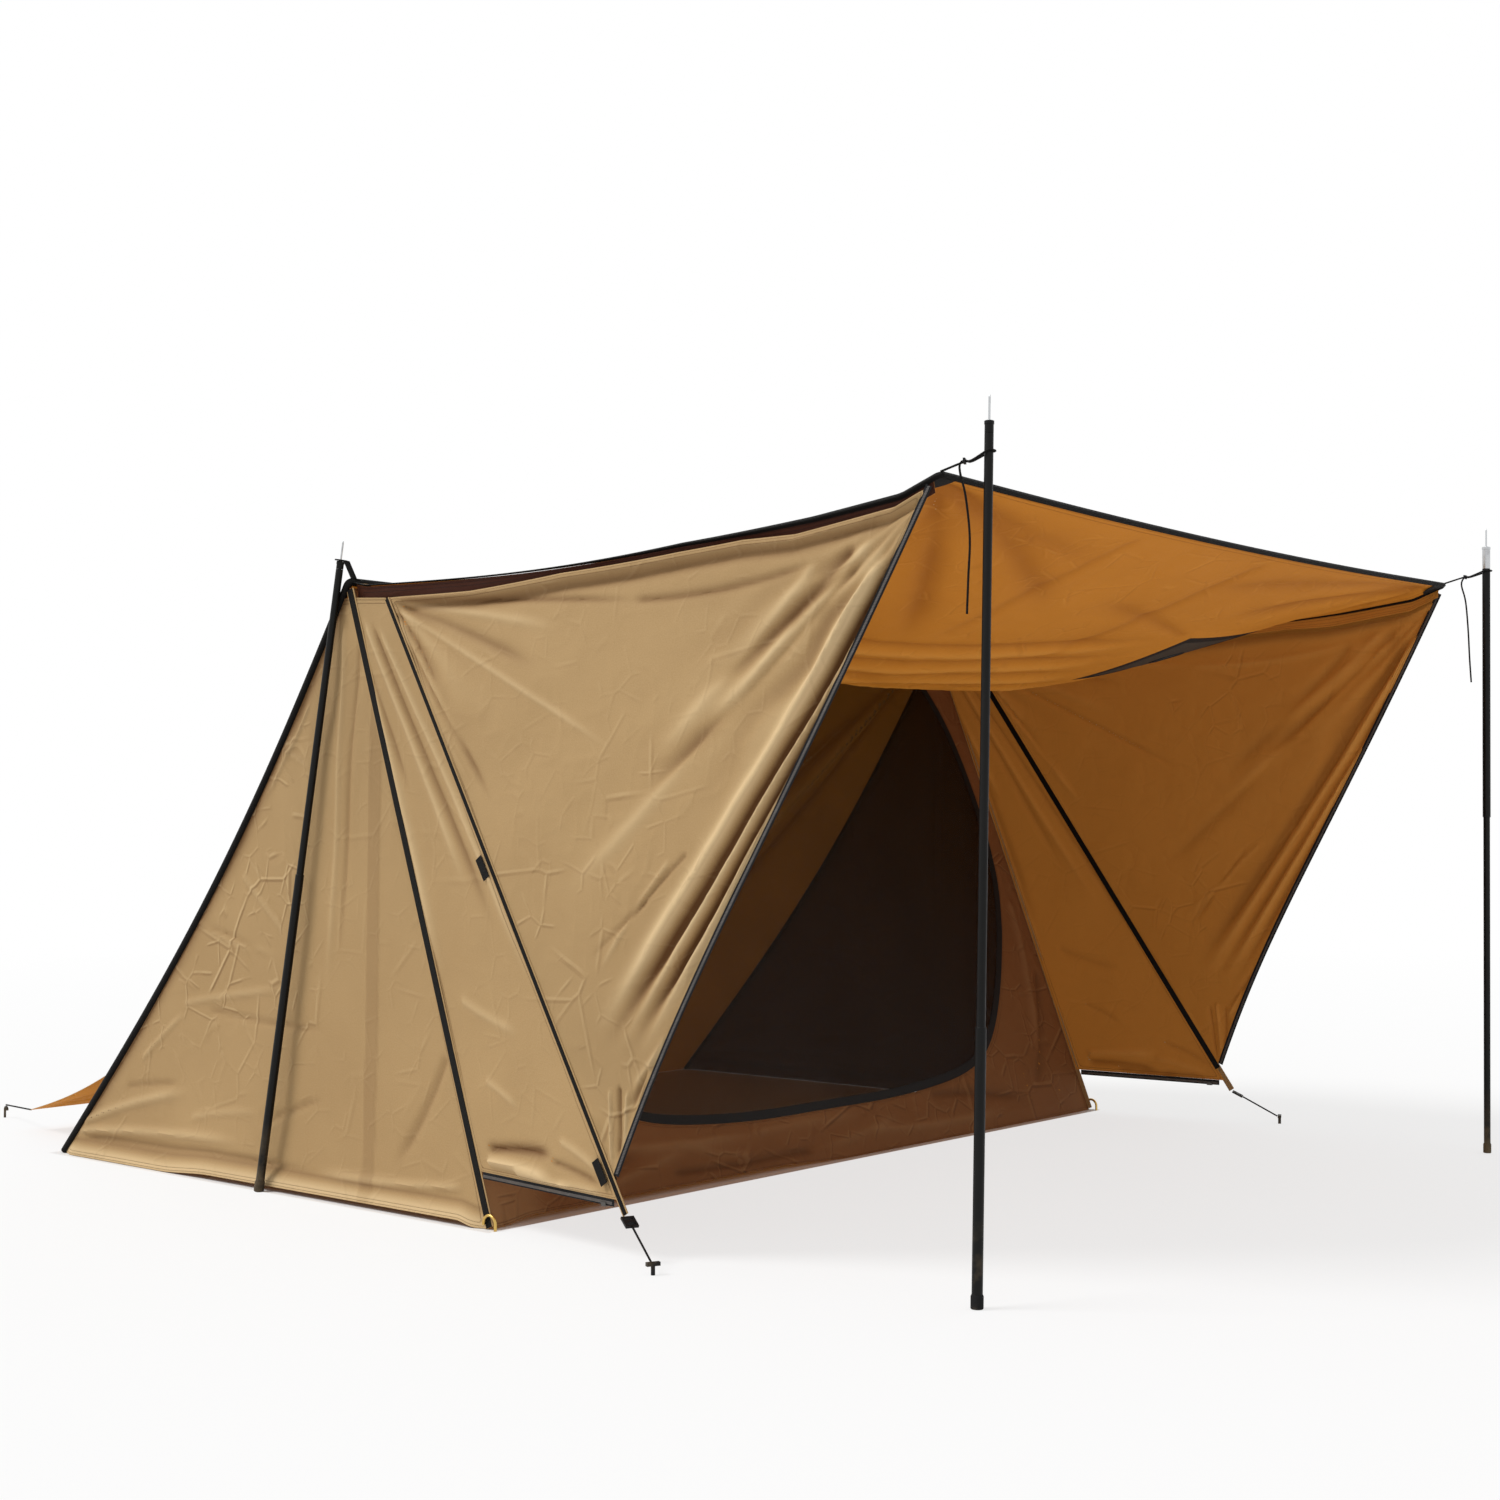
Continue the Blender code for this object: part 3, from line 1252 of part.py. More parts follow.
def make_runner(tent, word, centre, toward, aside):
    """A small plate with two holes, which holds both strands of a corner cord."""
    turn = Matrix((toward, aside, np.cross(toward, aside))).transposed().to_quaternion()
    holder = empty("runner_" + word, tuple(centre), tent, turn)
    bm = bmesh.new()
    box_into(bm, RUNNER_SIZE, Matrix.Identity(4))
    runner = mesh_object("cord_runner_" + word, bm, holder, BLACK)
    holes = bmesh.new()
    for shift in (-1, 1):
        place = Matrix.Translation((0, shift * RUNNER_SPREAD, 0)) @ Matrix.Rotation(math.pi / 2, 4, "Y")
        bmesh.ops.create_cone(
            holes,
            cap_ends=True,
            segments=PEG_SIDES,
            radius1=CORD_RADIUS + WRAP_GAP,
            radius2=CORD_RADIUS + WRAP_GAP,
            depth=RUNNER_SIZE[0] + OVERRUN,
            matrix=place,
        )
    cut(runner, holes, holder)


def main():
    clear_scene()
    tent = empty("tent", (0, CENTRE_SHIFT, 0), None)
    make_room(tent)
    make_door(tent)
    make_wings(tent)
    make_awning(tent)
    make_poles(tent)
    make_wing_feet(tent)
    make_pegs(tent)
    make_apron(tent)
    make_sliders(tent)
    make_corner_cords(tent)


main()
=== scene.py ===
# %% [markdown]
# # A hot tent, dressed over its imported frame
#
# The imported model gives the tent's bodies and joints, and plain solids for its cloth. Here each
# cloth panel, strap, zip, cord and pole gets its real surface. A panel could be sculpted by hand,
# but a tent is a set of surfaces stretched between straight seams, so every panel is worked out
# as a function of two parameters, and its folds are added as small heights on that grid.
# %% The frame
import json
import math

import bpy
import numpy as np
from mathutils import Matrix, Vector


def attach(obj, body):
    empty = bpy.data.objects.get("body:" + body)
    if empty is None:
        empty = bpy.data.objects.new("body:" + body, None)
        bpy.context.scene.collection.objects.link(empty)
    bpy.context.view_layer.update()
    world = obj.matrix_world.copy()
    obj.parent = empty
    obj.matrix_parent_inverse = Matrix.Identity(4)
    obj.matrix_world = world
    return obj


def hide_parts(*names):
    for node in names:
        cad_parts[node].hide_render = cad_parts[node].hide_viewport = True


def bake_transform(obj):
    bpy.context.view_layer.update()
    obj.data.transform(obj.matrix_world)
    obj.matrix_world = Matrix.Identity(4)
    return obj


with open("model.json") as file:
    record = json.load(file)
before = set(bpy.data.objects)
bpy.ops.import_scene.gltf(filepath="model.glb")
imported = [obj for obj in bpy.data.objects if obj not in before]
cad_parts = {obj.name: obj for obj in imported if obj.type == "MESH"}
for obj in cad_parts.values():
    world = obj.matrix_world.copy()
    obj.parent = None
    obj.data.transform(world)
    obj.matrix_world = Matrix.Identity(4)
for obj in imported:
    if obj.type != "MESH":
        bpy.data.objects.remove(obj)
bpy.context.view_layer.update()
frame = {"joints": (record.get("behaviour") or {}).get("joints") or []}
JOINTS = {joint["name"]: joint for joint in frame["joints"]}
RIDGE = np.array(JOINTS["awning_lower"]["pos_m"])
print("the ridge lies at", RIDGE.round(4))

# %% [markdown]
# ## Driving sizes
#
# The seams of the sleeping room, the raised roof and the wings all start from these few lengths,
# in metres. Heights are from the ground and Y is measured from the ridge: the porch is at -Y.
# `place` moves a shape from the tent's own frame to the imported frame. Cloth stops short of a
# seam by PIPING_GAP where piping covers it, and by ZIP_SEAT where a zip's tape does. CLEAR is the
# air between parts that touch. EDGE_DROP and WING_TOP_DROP are shares of the roof's reach, and how
# far below its straight side an edge lies there.
# %% Driving sizes
RIDGE_HEIGHT = RIDGE[2]
RIDGE_HALF = 1.1115
BASE_HALF = 1.148
FRONT_BASE = 0.500
REAR_BASE = 1.040
REAR_SAG = 0.070
AWNING_REACH = 1.572
AWNING_HALF = RIDGE_HALF - 0.0035
AWNING_CORNER_HEIGHT = 1.413
AWNING_SIDE_SAG = 0.037
AWNING_FRONT_SAG = 0.015
AWNING_BELLY = 0.190
BELLY_LEAN = 0.2
BELLY_SPREAD = 3.0
JACK_CENTRE = (0.670, -1.020)
JACK_SIZE = (0.360, 0.330)
WING_FOOT = (1.198, -0.922, 0.083)
WING_FRONT = -1.556
WING_FOLD = -0.127
EDGE_DROP = ((0, 0.03, 0.62, 0.82, 0.945, 1.0), (0, 0.009, 0.009, 0.021, 0.022, 0.0))
WING_TOP_DROP = (
    (0, 0.25, 0.42, 0.62, 0.72, 0.80, 0.94, 1.0),
    (0.040, 0.040, 0.026, 0.026, 0.030, 0.043, 0.040, 0.014),
)
WING_FRONT_HOLLOW = 0.026
GORE_FOOT_HEIGHT = 0.100
APRON_LINE = 0.235
SEAM = 0.004
CLOTH = 0.0010
SIDES = (("left", -1), ("right", 1))
WALL_SLOPE = math.hypot(RIDGE_HEIGHT, FRONT_BASE)
SPACING = 0.0105
PIPING_GAP = 0.0054
ZIP_SEAT = 0.0138
CLEAR = 0.0004


def place(points):
    """Points of the tent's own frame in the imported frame: Y is counted from the ridge."""
    return np.asarray(points, float) + (0.0, RIDGE[1], 0.0)


def mirrored(points, side):
    """The points with X multiplied by the side, 1 or -1."""
    return np.asarray(points, float) * (side, 1, 1)


def unit(vector):
    """The vector divided by its own length."""
    vector = np.asarray(vector, float)
    return vector / np.maximum(np.linalg.norm(vector, axis=-1, keepdims=True), 1e-12)


def mix(a, b, share):
    """a times (1 - share) plus b times share."""
    share = np.asarray(share, float)[..., None]
    return np.asarray(a, float) * (1 - share) + np.asarray(b, float) * share


def smooth(value):
    """0 below 0, 1 above 1, and 3t^2 - 2t^3 between."""
    value = np.clip(value, 0, 1)
    return value * value * (3 - 2 * value)


def bell(value, middle, width):
    """1 at the middle and near 0 beyond twice the width: exp(-((value - middle) / width)^2)."""
    return np.exp(-(((value - middle) / width) ** 2))


def lines(stops, spacing=SPACING):
    """Values from the first stop to the last, through every stop, a spacing apart at most."""
    runs = [
        np.linspace(a, b, max(2, math.ceil(abs(b - a) / spacing) + 1))[:-1]
        for a, b in zip(stops, stops[1:])
    ]
    return np.concatenate([*runs, [stops[-1]]])


print("ridge height", round(float(RIDGE_HEIGHT), 4), "front wall slope", round(WALL_SLOPE, 4))

# %% [markdown]
# ## The camera
#
# The camera was fitted to the outline of the tent in the photograph: a little below the ridge,
# in front of the left end, looking along the porch. Its lens gives the photograph's perspective.
# %% Camera
CAMERA_PLACE = (-4.0567, -3.64475, 0.8134)
CAMERA_YAW = 0.8710
CAMERA_PITCH = 0.0347
FOCAL_PIXELS = 2103.5
IMAGE_PIXELS = 1500
SENSOR = 36.0

camera_data = bpy.data.cameras.new("camera")
camera_data.sensor_width = SENSOR
camera_data.lens = FOCAL_PIXELS / IMAGE_PIXELS * SENSOR
camera = bpy.data.objects.new("camera", camera_data)
bpy.context.scene.collection.objects.link(camera)
camera.location = CAMERA_PLACE
camera.rotation_euler = (math.pi / 2 + CAMERA_PITCH, 0.0, -CAMERA_YAW)
bpy.context.scene.camera = camera
bpy.context.scene.view_settings.view_transform = "Standard"
print("lens", round(camera_data.lens, 2), "mm")

# %% [markdown]
# ## Surfaces between the seams
#
# Each function gives a surface or a seam of the right half. The roof hangs as a shallow sine
# between the ridge and its front edge, deepest a little nearer the ridge, and flattens towards
# its two sides, because the side edges are pulled tight.
# %% Seams and surfaces


def belly(share):
    """sin(pi s) (1 + lean cos(pi s)), divided by its own greatest value."""
    deepest = math.acos((math.sqrt(1 + 8 * BELLY_LEAN**2) - 1) / (4 * BELLY_LEAN))
    value = np.sin(np.pi * share) * (1 + BELLY_LEAN * np.cos(np.pi * share))
    return value / (math.sin(deepest) * (1 + BELLY_LEAN * math.cos(deepest)))


def roof(across, reach, edge=1.0):
    """The raised roof at across -1..1 along the ridge and reach 0..1 from ridge to front edge: a
    straight rise, less the sag of the sides, the belly, the sag of the front edge, and the drop
    of the two side edges between their corners."""
    across, reach = np.broadcast_arrays(np.asarray(across, float), np.asarray(reach, float))
    height = (
        RIDGE_HEIGHT
        + (AWNING_CORNER_HEIGHT - RIDGE_HEIGHT) * reach
        - AWNING_SIDE_SAG * np.sin(np.pi * reach)
        - AWNING_BELLY * belly(reach) * (1 - np.abs(across) ** BELLY_SPREAD)
        - AWNING_FRONT_SAG * reach * (1 - across**2)
        - edge * np.interp(reach, *EDGE_DROP) * np.abs(across) ** 10
    )
    return np.stack([across * AWNING_HALF, -reach * AWNING_REACH, height], -1)


def front_seam(share):
    """Straight from the ridge's end to the room's front corner."""
    return mix((RIDGE_HALF, 0, RIDGE_HEIGHT), (BASE_HALF, -FRONT_BASE, 0), share)


def rear_seam(share):
    """From the ridge's end to the rear corner, drawn in by a half sine."""
    line = mix((RIDGE_HALF, 0, RIDGE_HEIGHT), (BASE_HALF, REAR_BASE, 0), share)
    line[..., 1] -= REAR_SAG * np.sin(np.pi * np.asarray(share))
    return line


def wing_top(y):
    """The wing's upper edge: a line under the roof's side edge."""
    y = np.asarray(y, float)
    reach = -y / AWNING_REACH
    height = roof(1.0, reach, 0.0)[..., 2] - np.interp(reach, *WING_TOP_DROP)
    return np.stack([np.full_like(y, RIDGE_HALF), y, height], -1)


def wing_fold(share):
    """The straight fold from the wing's top corner to its foot."""
    return mix(wing_top(WING_FOLD), WING_FOOT, share)


def wing_back(share):
    """The stretch of the fold that the wing hangs from."""
    return wing_fold(np.asarray(share) * (1 - 0.058 / RIDGE_HEIGHT))


def wing_front(share):
    """The zipped front edge: straight, then drawn in by sin(pi s^2) towards its foot."""
    share = np.asarray(share, float)
    line = mix(wing_top(WING_FRONT), wing_back(1.0), share)
    inward = unit(wing_back(share) - line + (0, 5e-6, 0))
    return line + inward * (WING_FRONT_HOLLOW * np.sin(np.pi * share**2))[..., None]


def trimmed(start, end, before, after):
    """Two edges moved towards each other by two lengths."""
    step = unit(end - start)
    return start + step * before, end - step * after


def wall_point(x, slope):
    """A point of the leaning front wall, slope metres up from its foot."""
    share = np.asarray(slope, float) / WALL_SLOPE
    return np.stack([x, -FRONT_BASE * (1 - share), RIDGE_HEIGHT * share], -1)


print("roof's lowest point", roof(0.0, np.linspace(0, 1, 99))[:, 2].min().round(4))

# %% [markdown]
# ## Folds
#
# Pulled cloth folds along the lines of pull, from corner to corner, and crumples in small sharp
# creases where it was packed. A simulation would find folds of its own, and these ones should
# lie where the photograph shows them. So each fold is a soft ridge along a line, written as one
# row: where it starts and ends on the panel, its width there, its height, and its bow.
# %% Fold heights


def ridges(a, b, rows):
    """Sum of h exp(-|d/w|^1.6): d is the distance from a bowed line, w goes from its width at
    the start to that at the end, and h fades in over its first 7% and out over its last 28%."""
    total = np.zeros(np.broadcast(a, b).shape)
    for a0, b0, a1, b1, w0, w1, height, bow in rows:
        run = math.hypot(a1 - a0, b1 - b0)
        da, db = (a1 - a0) / run, (b1 - b0) / run
        along = ((a - a0) * da + (b - b0) * db) / run
        held = np.clip(along, 0, 1)
        off = (a - a0) * db - (b - b0) * da - bow * 4 * held * (1 - held)
        width = w0 + (w1 - w0) * held
        fade = smooth(along / 0.07) * smooth((1 - along) / 0.28)
        total += height * np.exp(-(np.abs(off / width) ** 1.6)) * fade
    return total


def fan(a, b, corner, toward, half, waves, reach, height, seed):
    """Folds that spread from a pulled corner: waves of the angle round it, inside a wedge of a
    half width, that rise over three quarters of their reach and die away beyond it."""
    da, db = a - corner[0], b - corner[1]
    far = np.hypot(da, db)
    turn = np.arctan2(da * toward[1] - db * toward[0], da * toward[0] + db * toward[1])
    wave = np.cos(turn * waves + 1.5 * noise(a, b, 0.12, seed))
    fade = smooth(far / (0.75 * reach)) * np.exp(-((far / reach) ** 2))
    return height * wave * (fade * np.exp(-((turn / half) ** 2)))


def noise(a, b, cell, seed):
    """Random heights from -1 to 1 on a lattice, joined smoothly between its points."""
    table = np.random.default_rng(seed).uniform(-1, 1, (97, 97))
    i, j = np.floor(a / cell), np.floor(b / cell)
    s, t = smooth(a / cell - i), smooth(b / cell - j)
    i, j = i.astype(int), j.astype(int)

    def pick(di, dj):
        return table[(i + di) % 97, (j + dj) % 97]

    low = pick(0, 0) * (1 - s) + pick(1, 0) * s
    high = pick(0, 1) * (1 - s) + pick(1, 1) * s
    return low * (1 - t) + high * t


def creases(a, b, cell, seed):
    """Thin sharp ridges where smooth noise passes through 0: (1 - |n|)^6, less its mean."""
    bent_a = a + 0.25 * cell * noise(a, b, cell * 1.7, seed + 7)
    bent_b = b + 0.25 * cell * noise(a, b, cell * 1.7, seed + 8)
    return (1 - np.abs(noise(bent_a, bent_b, cell, seed))) ** 6 - 0.15


print("folds ready")

# %% [markdown]
# ## Making cloth
#
# A cloth panel is a thin closed sheet, with one layer of faces towards each side. Solidify could
# do it, but writing both layers at once lets the two sides have their own colours, which matters
# here: the outside is pale khaki, and the inside glows orange as if lit from behind, a glow that
# is painted light, given off as emission by its finish. The grid's own lengths become the UV map,
# so the weave has its true scale on every panel.
# %% Cloth builder


def grid_normal(points):
    """The cross product of the grid's two directions, made one long."""
    return unit(np.cross(np.gradient(points, axis=0), np.gradient(points, axis=1)))


def arc(points, axis):
    """Length walked along one direction of the grid, measured on its longest line."""
    steps = np.linalg.norm(np.diff(points, axis=axis), axis=-1)
    steps = steps.max(axis=1 - axis)
    return np.concatenate([[0.0], np.cumsum(steps)])


def added(name, mesh, materials, sharp=None):
    """The mesh as an object of the scene. With sharp, in degrees, it is smooth except where its
    faces turn by more than that."""
    for material in materials:
        mesh.materials.append(material)
    if sharp:
        mesh.shade_smooth()
        mesh.set_sharp_from_angle(angle=math.radians(sharp))
    made = bpy.data.objects.new(name, mesh)
    bpy.context.scene.collection.objects.link(made)
    return made


def build_mesh(name, vertices, quads, uv, materials, index, attributes):
    """A mesh from whole arrays: places, corners, UV by vertex, materials by face."""
    used, quads = np.unique(quads, return_inverse=True)
    quads = quads.reshape(-1, 4)
    mesh = bpy.data.meshes.new(name)
    mesh.vertices.add(len(used))
    mesh.vertices.foreach_set("co", vertices[used].ravel())
    mesh.loops.add(quads.size)
    mesh.loops.foreach_set("vertex_index", quads.ravel())
    mesh.polygons.add(len(quads))
    mesh.polygons.foreach_set("loop_start", np.arange(len(quads)) * 4)
    mesh.update(calc_edges=True)
    mesh.uv_layers.new(name="UVMap").data.foreach_set("uv", uv[used][quads].ravel())
    for key, values in attributes.items():
        held = mesh.attributes.new(key, "FLOAT", "POINT")
        held.data.foreach_set("value", values[used].astype(np.float32))
    made = added(name, mesh, materials, sharp=52)
    mesh.polygons.foreach_set("material_index", np.asarray(index, np.int32))
    return made


def cloth(
    name, points, outer, inner, relief=0.0, keep=None, ring=False, thickness=CLOTH, band=0.0,
    fine=0.3,
):
    """A closed thin sheet round a grid of middle points. The first layer faces the way that
    rows x columns point, and has the outer material. keep says which cells are cloth. relief,
    band and fine go to the finish: height of folds, which also sets the painted shade in their
    valleys and the painted highlight on their ridges; strips of painted shade where band is above
    0 and of painted light where it is below; and small creases, with painted highlight and shade."""
    points = np.asarray(points, float)
    rows, columns = points.shape[:2]
    if ring:
        wrapped = np.concatenate([points[:, -1:], points, points[:, :1]], axis=1)
        normal = grid_normal(wrapped)[:, 1:-1]
    else:
        normal = grid_normal(points)
    ids = np.arange(rows * columns).reshape(rows, columns)
    if ring:
        ids = np.hstack([ids, ids[:, :1]])
    cells = np.stack([ids[:-1, :-1], ids[1:, :-1], ids[1:, 1:], ids[:-1, 1:]], -1)
    cells = cells.reshape(-1, 4) if keep is None else cells[keep]
    edges = np.stack([cells, np.roll(cells, -1, axis=1)], -1).reshape(-1, 2)
    keys = edges.min(1) * rows * columns + edges.max(1)
    _, back, uses = np.unique(keys, return_inverse=True, return_counts=True)
    rim = edges[uses[back] == 1]
    under = rows * columns
    walls = np.column_stack([rim[:, 1], rim[:, 0], rim[:, 0] + under, rim[:, 1] + under])
    quads = np.vstack([cells, cells[:, ::-1] + under, walls])
    vertices = np.concatenate([points + normal * thickness / 2, points - normal * thickness / 2])
    index = np.concatenate([np.zeros(len(cells)), np.ones(len(cells)), np.zeros(len(walls))])
    uv = np.stack(np.meshgrid(arc(points, 0), arc(points, 1), indexing="ij"), -1).reshape(-1, 2)
    across, down = uv[:, 1], uv[:, 0]
    hem = np.minimum(down, down.max() - down)
    if not ring:
        hem = np.minimum(hem, np.minimum(across, across.max() - across))
    relief, band, fine = (
        np.broadcast_to(value, (rows, columns)).ravel() for value in (relief, band, fine)
    )
    attributes = {
        "fine": np.concatenate([fine, fine]),
        "hem": np.concatenate([hem, hem]),
        "relief": np.concatenate([relief, -relief]),
        "band": np.concatenate([band, band]),
    }
    made = build_mesh(
        name, place(vertices.reshape(-1, 3)), quads, np.concatenate([uv, uv])[:, ::-1],
        [outer, inner], index, attributes,
    )
    steps = np.cross(points[1:, :-1] - points[:-1, :-1], points[:-1, 1:] - points[:-1, :-1])
    area = float(np.linalg.norm(steps, axis=-1).sum())
    made["flat"] = [float(uv[:, 1].max()), float(uv[:, 0].max()), area]
    print(name, "grid", rows, "x", columns, "flat size", np.round(made["flat"], 3))
    return made


LEAST_SHARE = 0.31


def declared(piece):
    """Works out the size and area of sheet that the piece's grid has, with the area kept between a
    least share of the flat size and all of it, and gives the piece back unchanged: the values are
    not used."""
    width, length, area = piece["flat"]
    share = area / (width * length)
    size = (width, length) if share <= 1 else (width * share, length)
    whole = size[0] * size[1]
    area = max(min(area, whole), LEAST_SHARE * whole)
    return piece


print("cloth builder ready")

# %% [markdown]
# ## Bars, straps and tubes
#
# A strap, a zip tape or a tube is one outline carried along a path. Its UV map runs round the
# outline and along the path in metres, which gives webbing its ribs and a zip its even pitch.
# %% Swept shapes


def length_along(path):
    """Length walked along a path up to each of its points."""
    return np.concatenate([[0], np.cumsum(np.linalg.norm(np.diff(path, axis=0), axis=1))])


def sampled(wanted, walked, rows):
    """The rows' values at wanted lengths, where walked is the length at each row."""
    return np.stack([np.interp(wanted, walked, rows[:, axis]) for axis in range(3)], -1)


def tube_faces(count, sides, closed):
    """Faces between each ring of points and the next, and a cap at both ends unless the last
    ring joins the first."""
    ids = np.arange(count * sides).reshape(count, sides)
    if closed:
        ids = np.vstack([ids, ids[:1]])
    beside = np.roll(ids, -1, 1)
    faces = np.stack([ids[:-1], beside[:-1], beside[1:], ids[1:]], -1).reshape(-1, 4).tolist()
    return faces if closed else [*faces, ids[0][::-1].tolist(), ids[-1].tolist()]


def swept(name, path, facing, outline, material, closed_path=False):
    """A closed bar: the outline's points, as (across, up), carried along the path. The outline
    may also be a list, one for each point of the path."""
    path = np.asarray(path, float)
    if closed_path:
        along = unit(np.roll(path, -1, axis=0) - np.roll(path, 1, axis=0))
    else:
        along = unit(np.gradient(path, axis=0))
    across = unit(np.cross(along, np.broadcast_to(facing, path.shape)))
    up = unit(np.cross(across, along))
    outline = np.asarray(outline, float)
    count, sides = len(path), outline.shape[-2]
    outline = np.broadcast_to(outline, (count, sides, 2))
    points = path[:, None] + across[:, None] * outline[..., :1] + up[:, None] * outline[..., 1:]
    girth, walked = length_along(outline[0]), length_along(path)
    uv = np.stack(np.broadcast_arrays(girth[None, :], walked[:, None]), -1).reshape(-1, 2)
    mesh = bpy.data.meshes.new(name)
    faces = tube_faces(count, sides, closed_path)
    mesh.from_pydata(place(points.reshape(-1, 3)).tolist(), [], faces)
    corners = np.zeros(len(mesh.loops), np.int32)
    mesh.loops.foreach_get("vertex_index", corners)
    mesh.uv_layers.new(name="UVMap").data.foreach_set("uv", uv[corners].ravel())
    return added(name, mesh, [material], sharp=40)


def flat_bar(width, thickness, lift=0.0, edge=0.35):
    """The outline of a strap, lifted off its path: a rectangle with its four corners cut."""
    half, rise = width / 2, thickness / 2
    cut = rise * edge
    corners = [
        (-half, -rise + cut), (-half + cut, -rise), (half - cut, -rise), (half, -rise + cut),
        (half, rise - cut), (half - cut, rise), (-half + cut, rise), (-half, rise - cut),
    ]
    return np.array(corners) + (0.0, lift)


def round_bar(radius, sides=14):
    """The outline of a round tube: points on a circle."""
    turn = np.linspace(0, 2 * np.pi, sides + 1)[:-1]
    return np.stack([radius * np.cos(turn), radius * np.sin(turn)], -1)


def route(points, spacing):
    """Evenly spaced points on the Catmull-Rom curve through the route's own points."""
    points = np.asarray(points, float)
    padded = np.vstack([2 * points[0] - points[1], points, 2 * points[-1] - points[-2]])
    share = np.linspace(0, 1, 17)[:-1, None]
    before, start, end, after = (padded[i : len(padded) - 3 + i, None] for i in range(4))
    fine = 0.5 * (
        2 * start
        + (end - before) * share
        + (2 * before - 5 * start + 4 * end - after) * share**2
        + (3 * start - before - 3 * end + after) * share**3
    )
    fine = np.vstack([fine.reshape(-1, 3), points[-1:]])
    walked = length_along(fine)
    wanted = np.linspace(0, walked[-1], max(2, round(walked[-1] / spacing)) + 1)
    return sampled(wanted, walked, fine)


def rope(name, points, radius, material):
    """A round cord along the points: a bevelled curve, turned into a mesh."""
    data = bpy.data.curves.new(name + "_line", "CURVE")
    data.dimensions = "3D"
    data.bevel_depth = radius
    data.bevel_resolution = 3
    data.use_fill_caps = True
    spline = data.splines.new("POLY")
    spline.points.add(len(points) - 1)
    spline.points.foreach_set("co", np.column_stack([place(points), np.ones(len(points))]).ravel())
    holder = bpy.data.objects.new(name + "_line", data)
    mesh = bpy.data.meshes.new_from_object(holder)
    mesh.name = name
    bpy.data.objects.remove(holder)
    mesh.materials.clear()
    mesh.shade_smooth()
    return added(name, mesh, [material])


print("swept shapes ready")

# %% [markdown]
# ## Light and floor
#
# The tent was photographed out of doors and cut out on white. A soft sky and one wide soft sun
# from behind its left end give its shading. The floor and the sky are white to the camera only,
# so the background stays white without more light on the cloth, and the floor keeps the shadow.
# NEAR and FAR are distances with the floor's share of white there. The floor inside the room has
# none, because the photograph is dark there.
# %% Light and floor


class Board:
    """A node tree with short calls: inputs are given by name or number, as values or links."""

    def __init__(self, tree):
        self.tree = tree

    def node(self, kind, inputs=(), **settings):
        made = self.tree.nodes.new(kind)
        for key, value in settings.items():
            setattr(made, key, value)
        for key, value in dict(inputs).items():
            if isinstance(value, bpy.types.NodeSocket):
                self.tree.links.new(value, made.inputs[key])
            else:
                made.inputs[key].default_value = value
        return made

    def math(self, operation, *values):
        return self.node("ShaderNodeMath", enumerate(values), operation=operation).outputs[0]

    def mixed(self, share, a, b):
        inputs = {0: share, 6: a, 7: b}
        made = self.node("ShaderNodeMix", inputs, data_type="RGBA", clamp_factor=True)
        return made.outputs[2]

    def between(self, value, low, high, to_low=0.0, to_high=1.0):
        inputs = {0: value, 1: low, 2: high, 3: to_low, 4: to_high}
        return self.node("ShaderNodeMapRange", inputs, clamp=True).outputs[0]

    def noise(self, vector, scale, detail=3.0, roughness=0.5):
        inputs = {"Vector": vector, "Scale": scale, "Detail": detail, "Roughness": roughness}
        return self.node("ShaderNodeTexNoise", inputs).outputs[0]


def seen_directly(board):
    """1 for camera, glossy and transmission rays, and 0 for the rays that light things."""
    rays = board.node("ShaderNodeLightPath").outputs
    first = board.math("MAXIMUM", rays["Is Camera Ray"], rays["Is Glossy Ray"])
    return board.math("MAXIMUM", first, rays["Is Transmission Ray"])


SKY_STRENGTH = 0.58
SUN_STRENGTH = 2.0
SUN_FROM = (-0.50, 0.42, 0.76)
SUN_SPREAD = 22
FLOOR_WHITE = (0.86, 0.86, 0.86, 1)
FLOOR_HALF = 40.0
NEAR, FAR = (2.5, 0.72), (9.0, 1.0)
ROOM_X = BASE_HALF + 0.025
ROOM_Y = (REAR_BASE - FRONT_BASE) / 2 + RIDGE[1]
ROOM_HALF = (REAR_BASE + FRONT_BASE) / 2 + 0.020
ROOM_EDGE = 0.004

world = bpy.data.worlds.new("sky")
world.use_nodes = True
board = Board(world.node_tree)
sky = next(node for node in world.node_tree.nodes if node.type == "BACKGROUND")
sky.inputs["Color"].default_value = (1, 1, 1, 1)
strength = board.between(seen_directly(board), 0.0, 1.0, SKY_STRENGTH, 1.0)
world.node_tree.links.new(strength, sky.inputs["Strength"])
bpy.context.scene.world = world

sun_data = bpy.data.lights.new("sun", "SUN")
sun_data.energy = SUN_STRENGTH
sun_data.angle = math.radians(SUN_SPREAD)
sun = bpy.data.objects.new("sun", sun_data)
sun.rotation_euler = Vector(SUN_FROM).to_track_quat("Z", "Y").to_euler()
bpy.context.scene.collection.objects.link(sun)

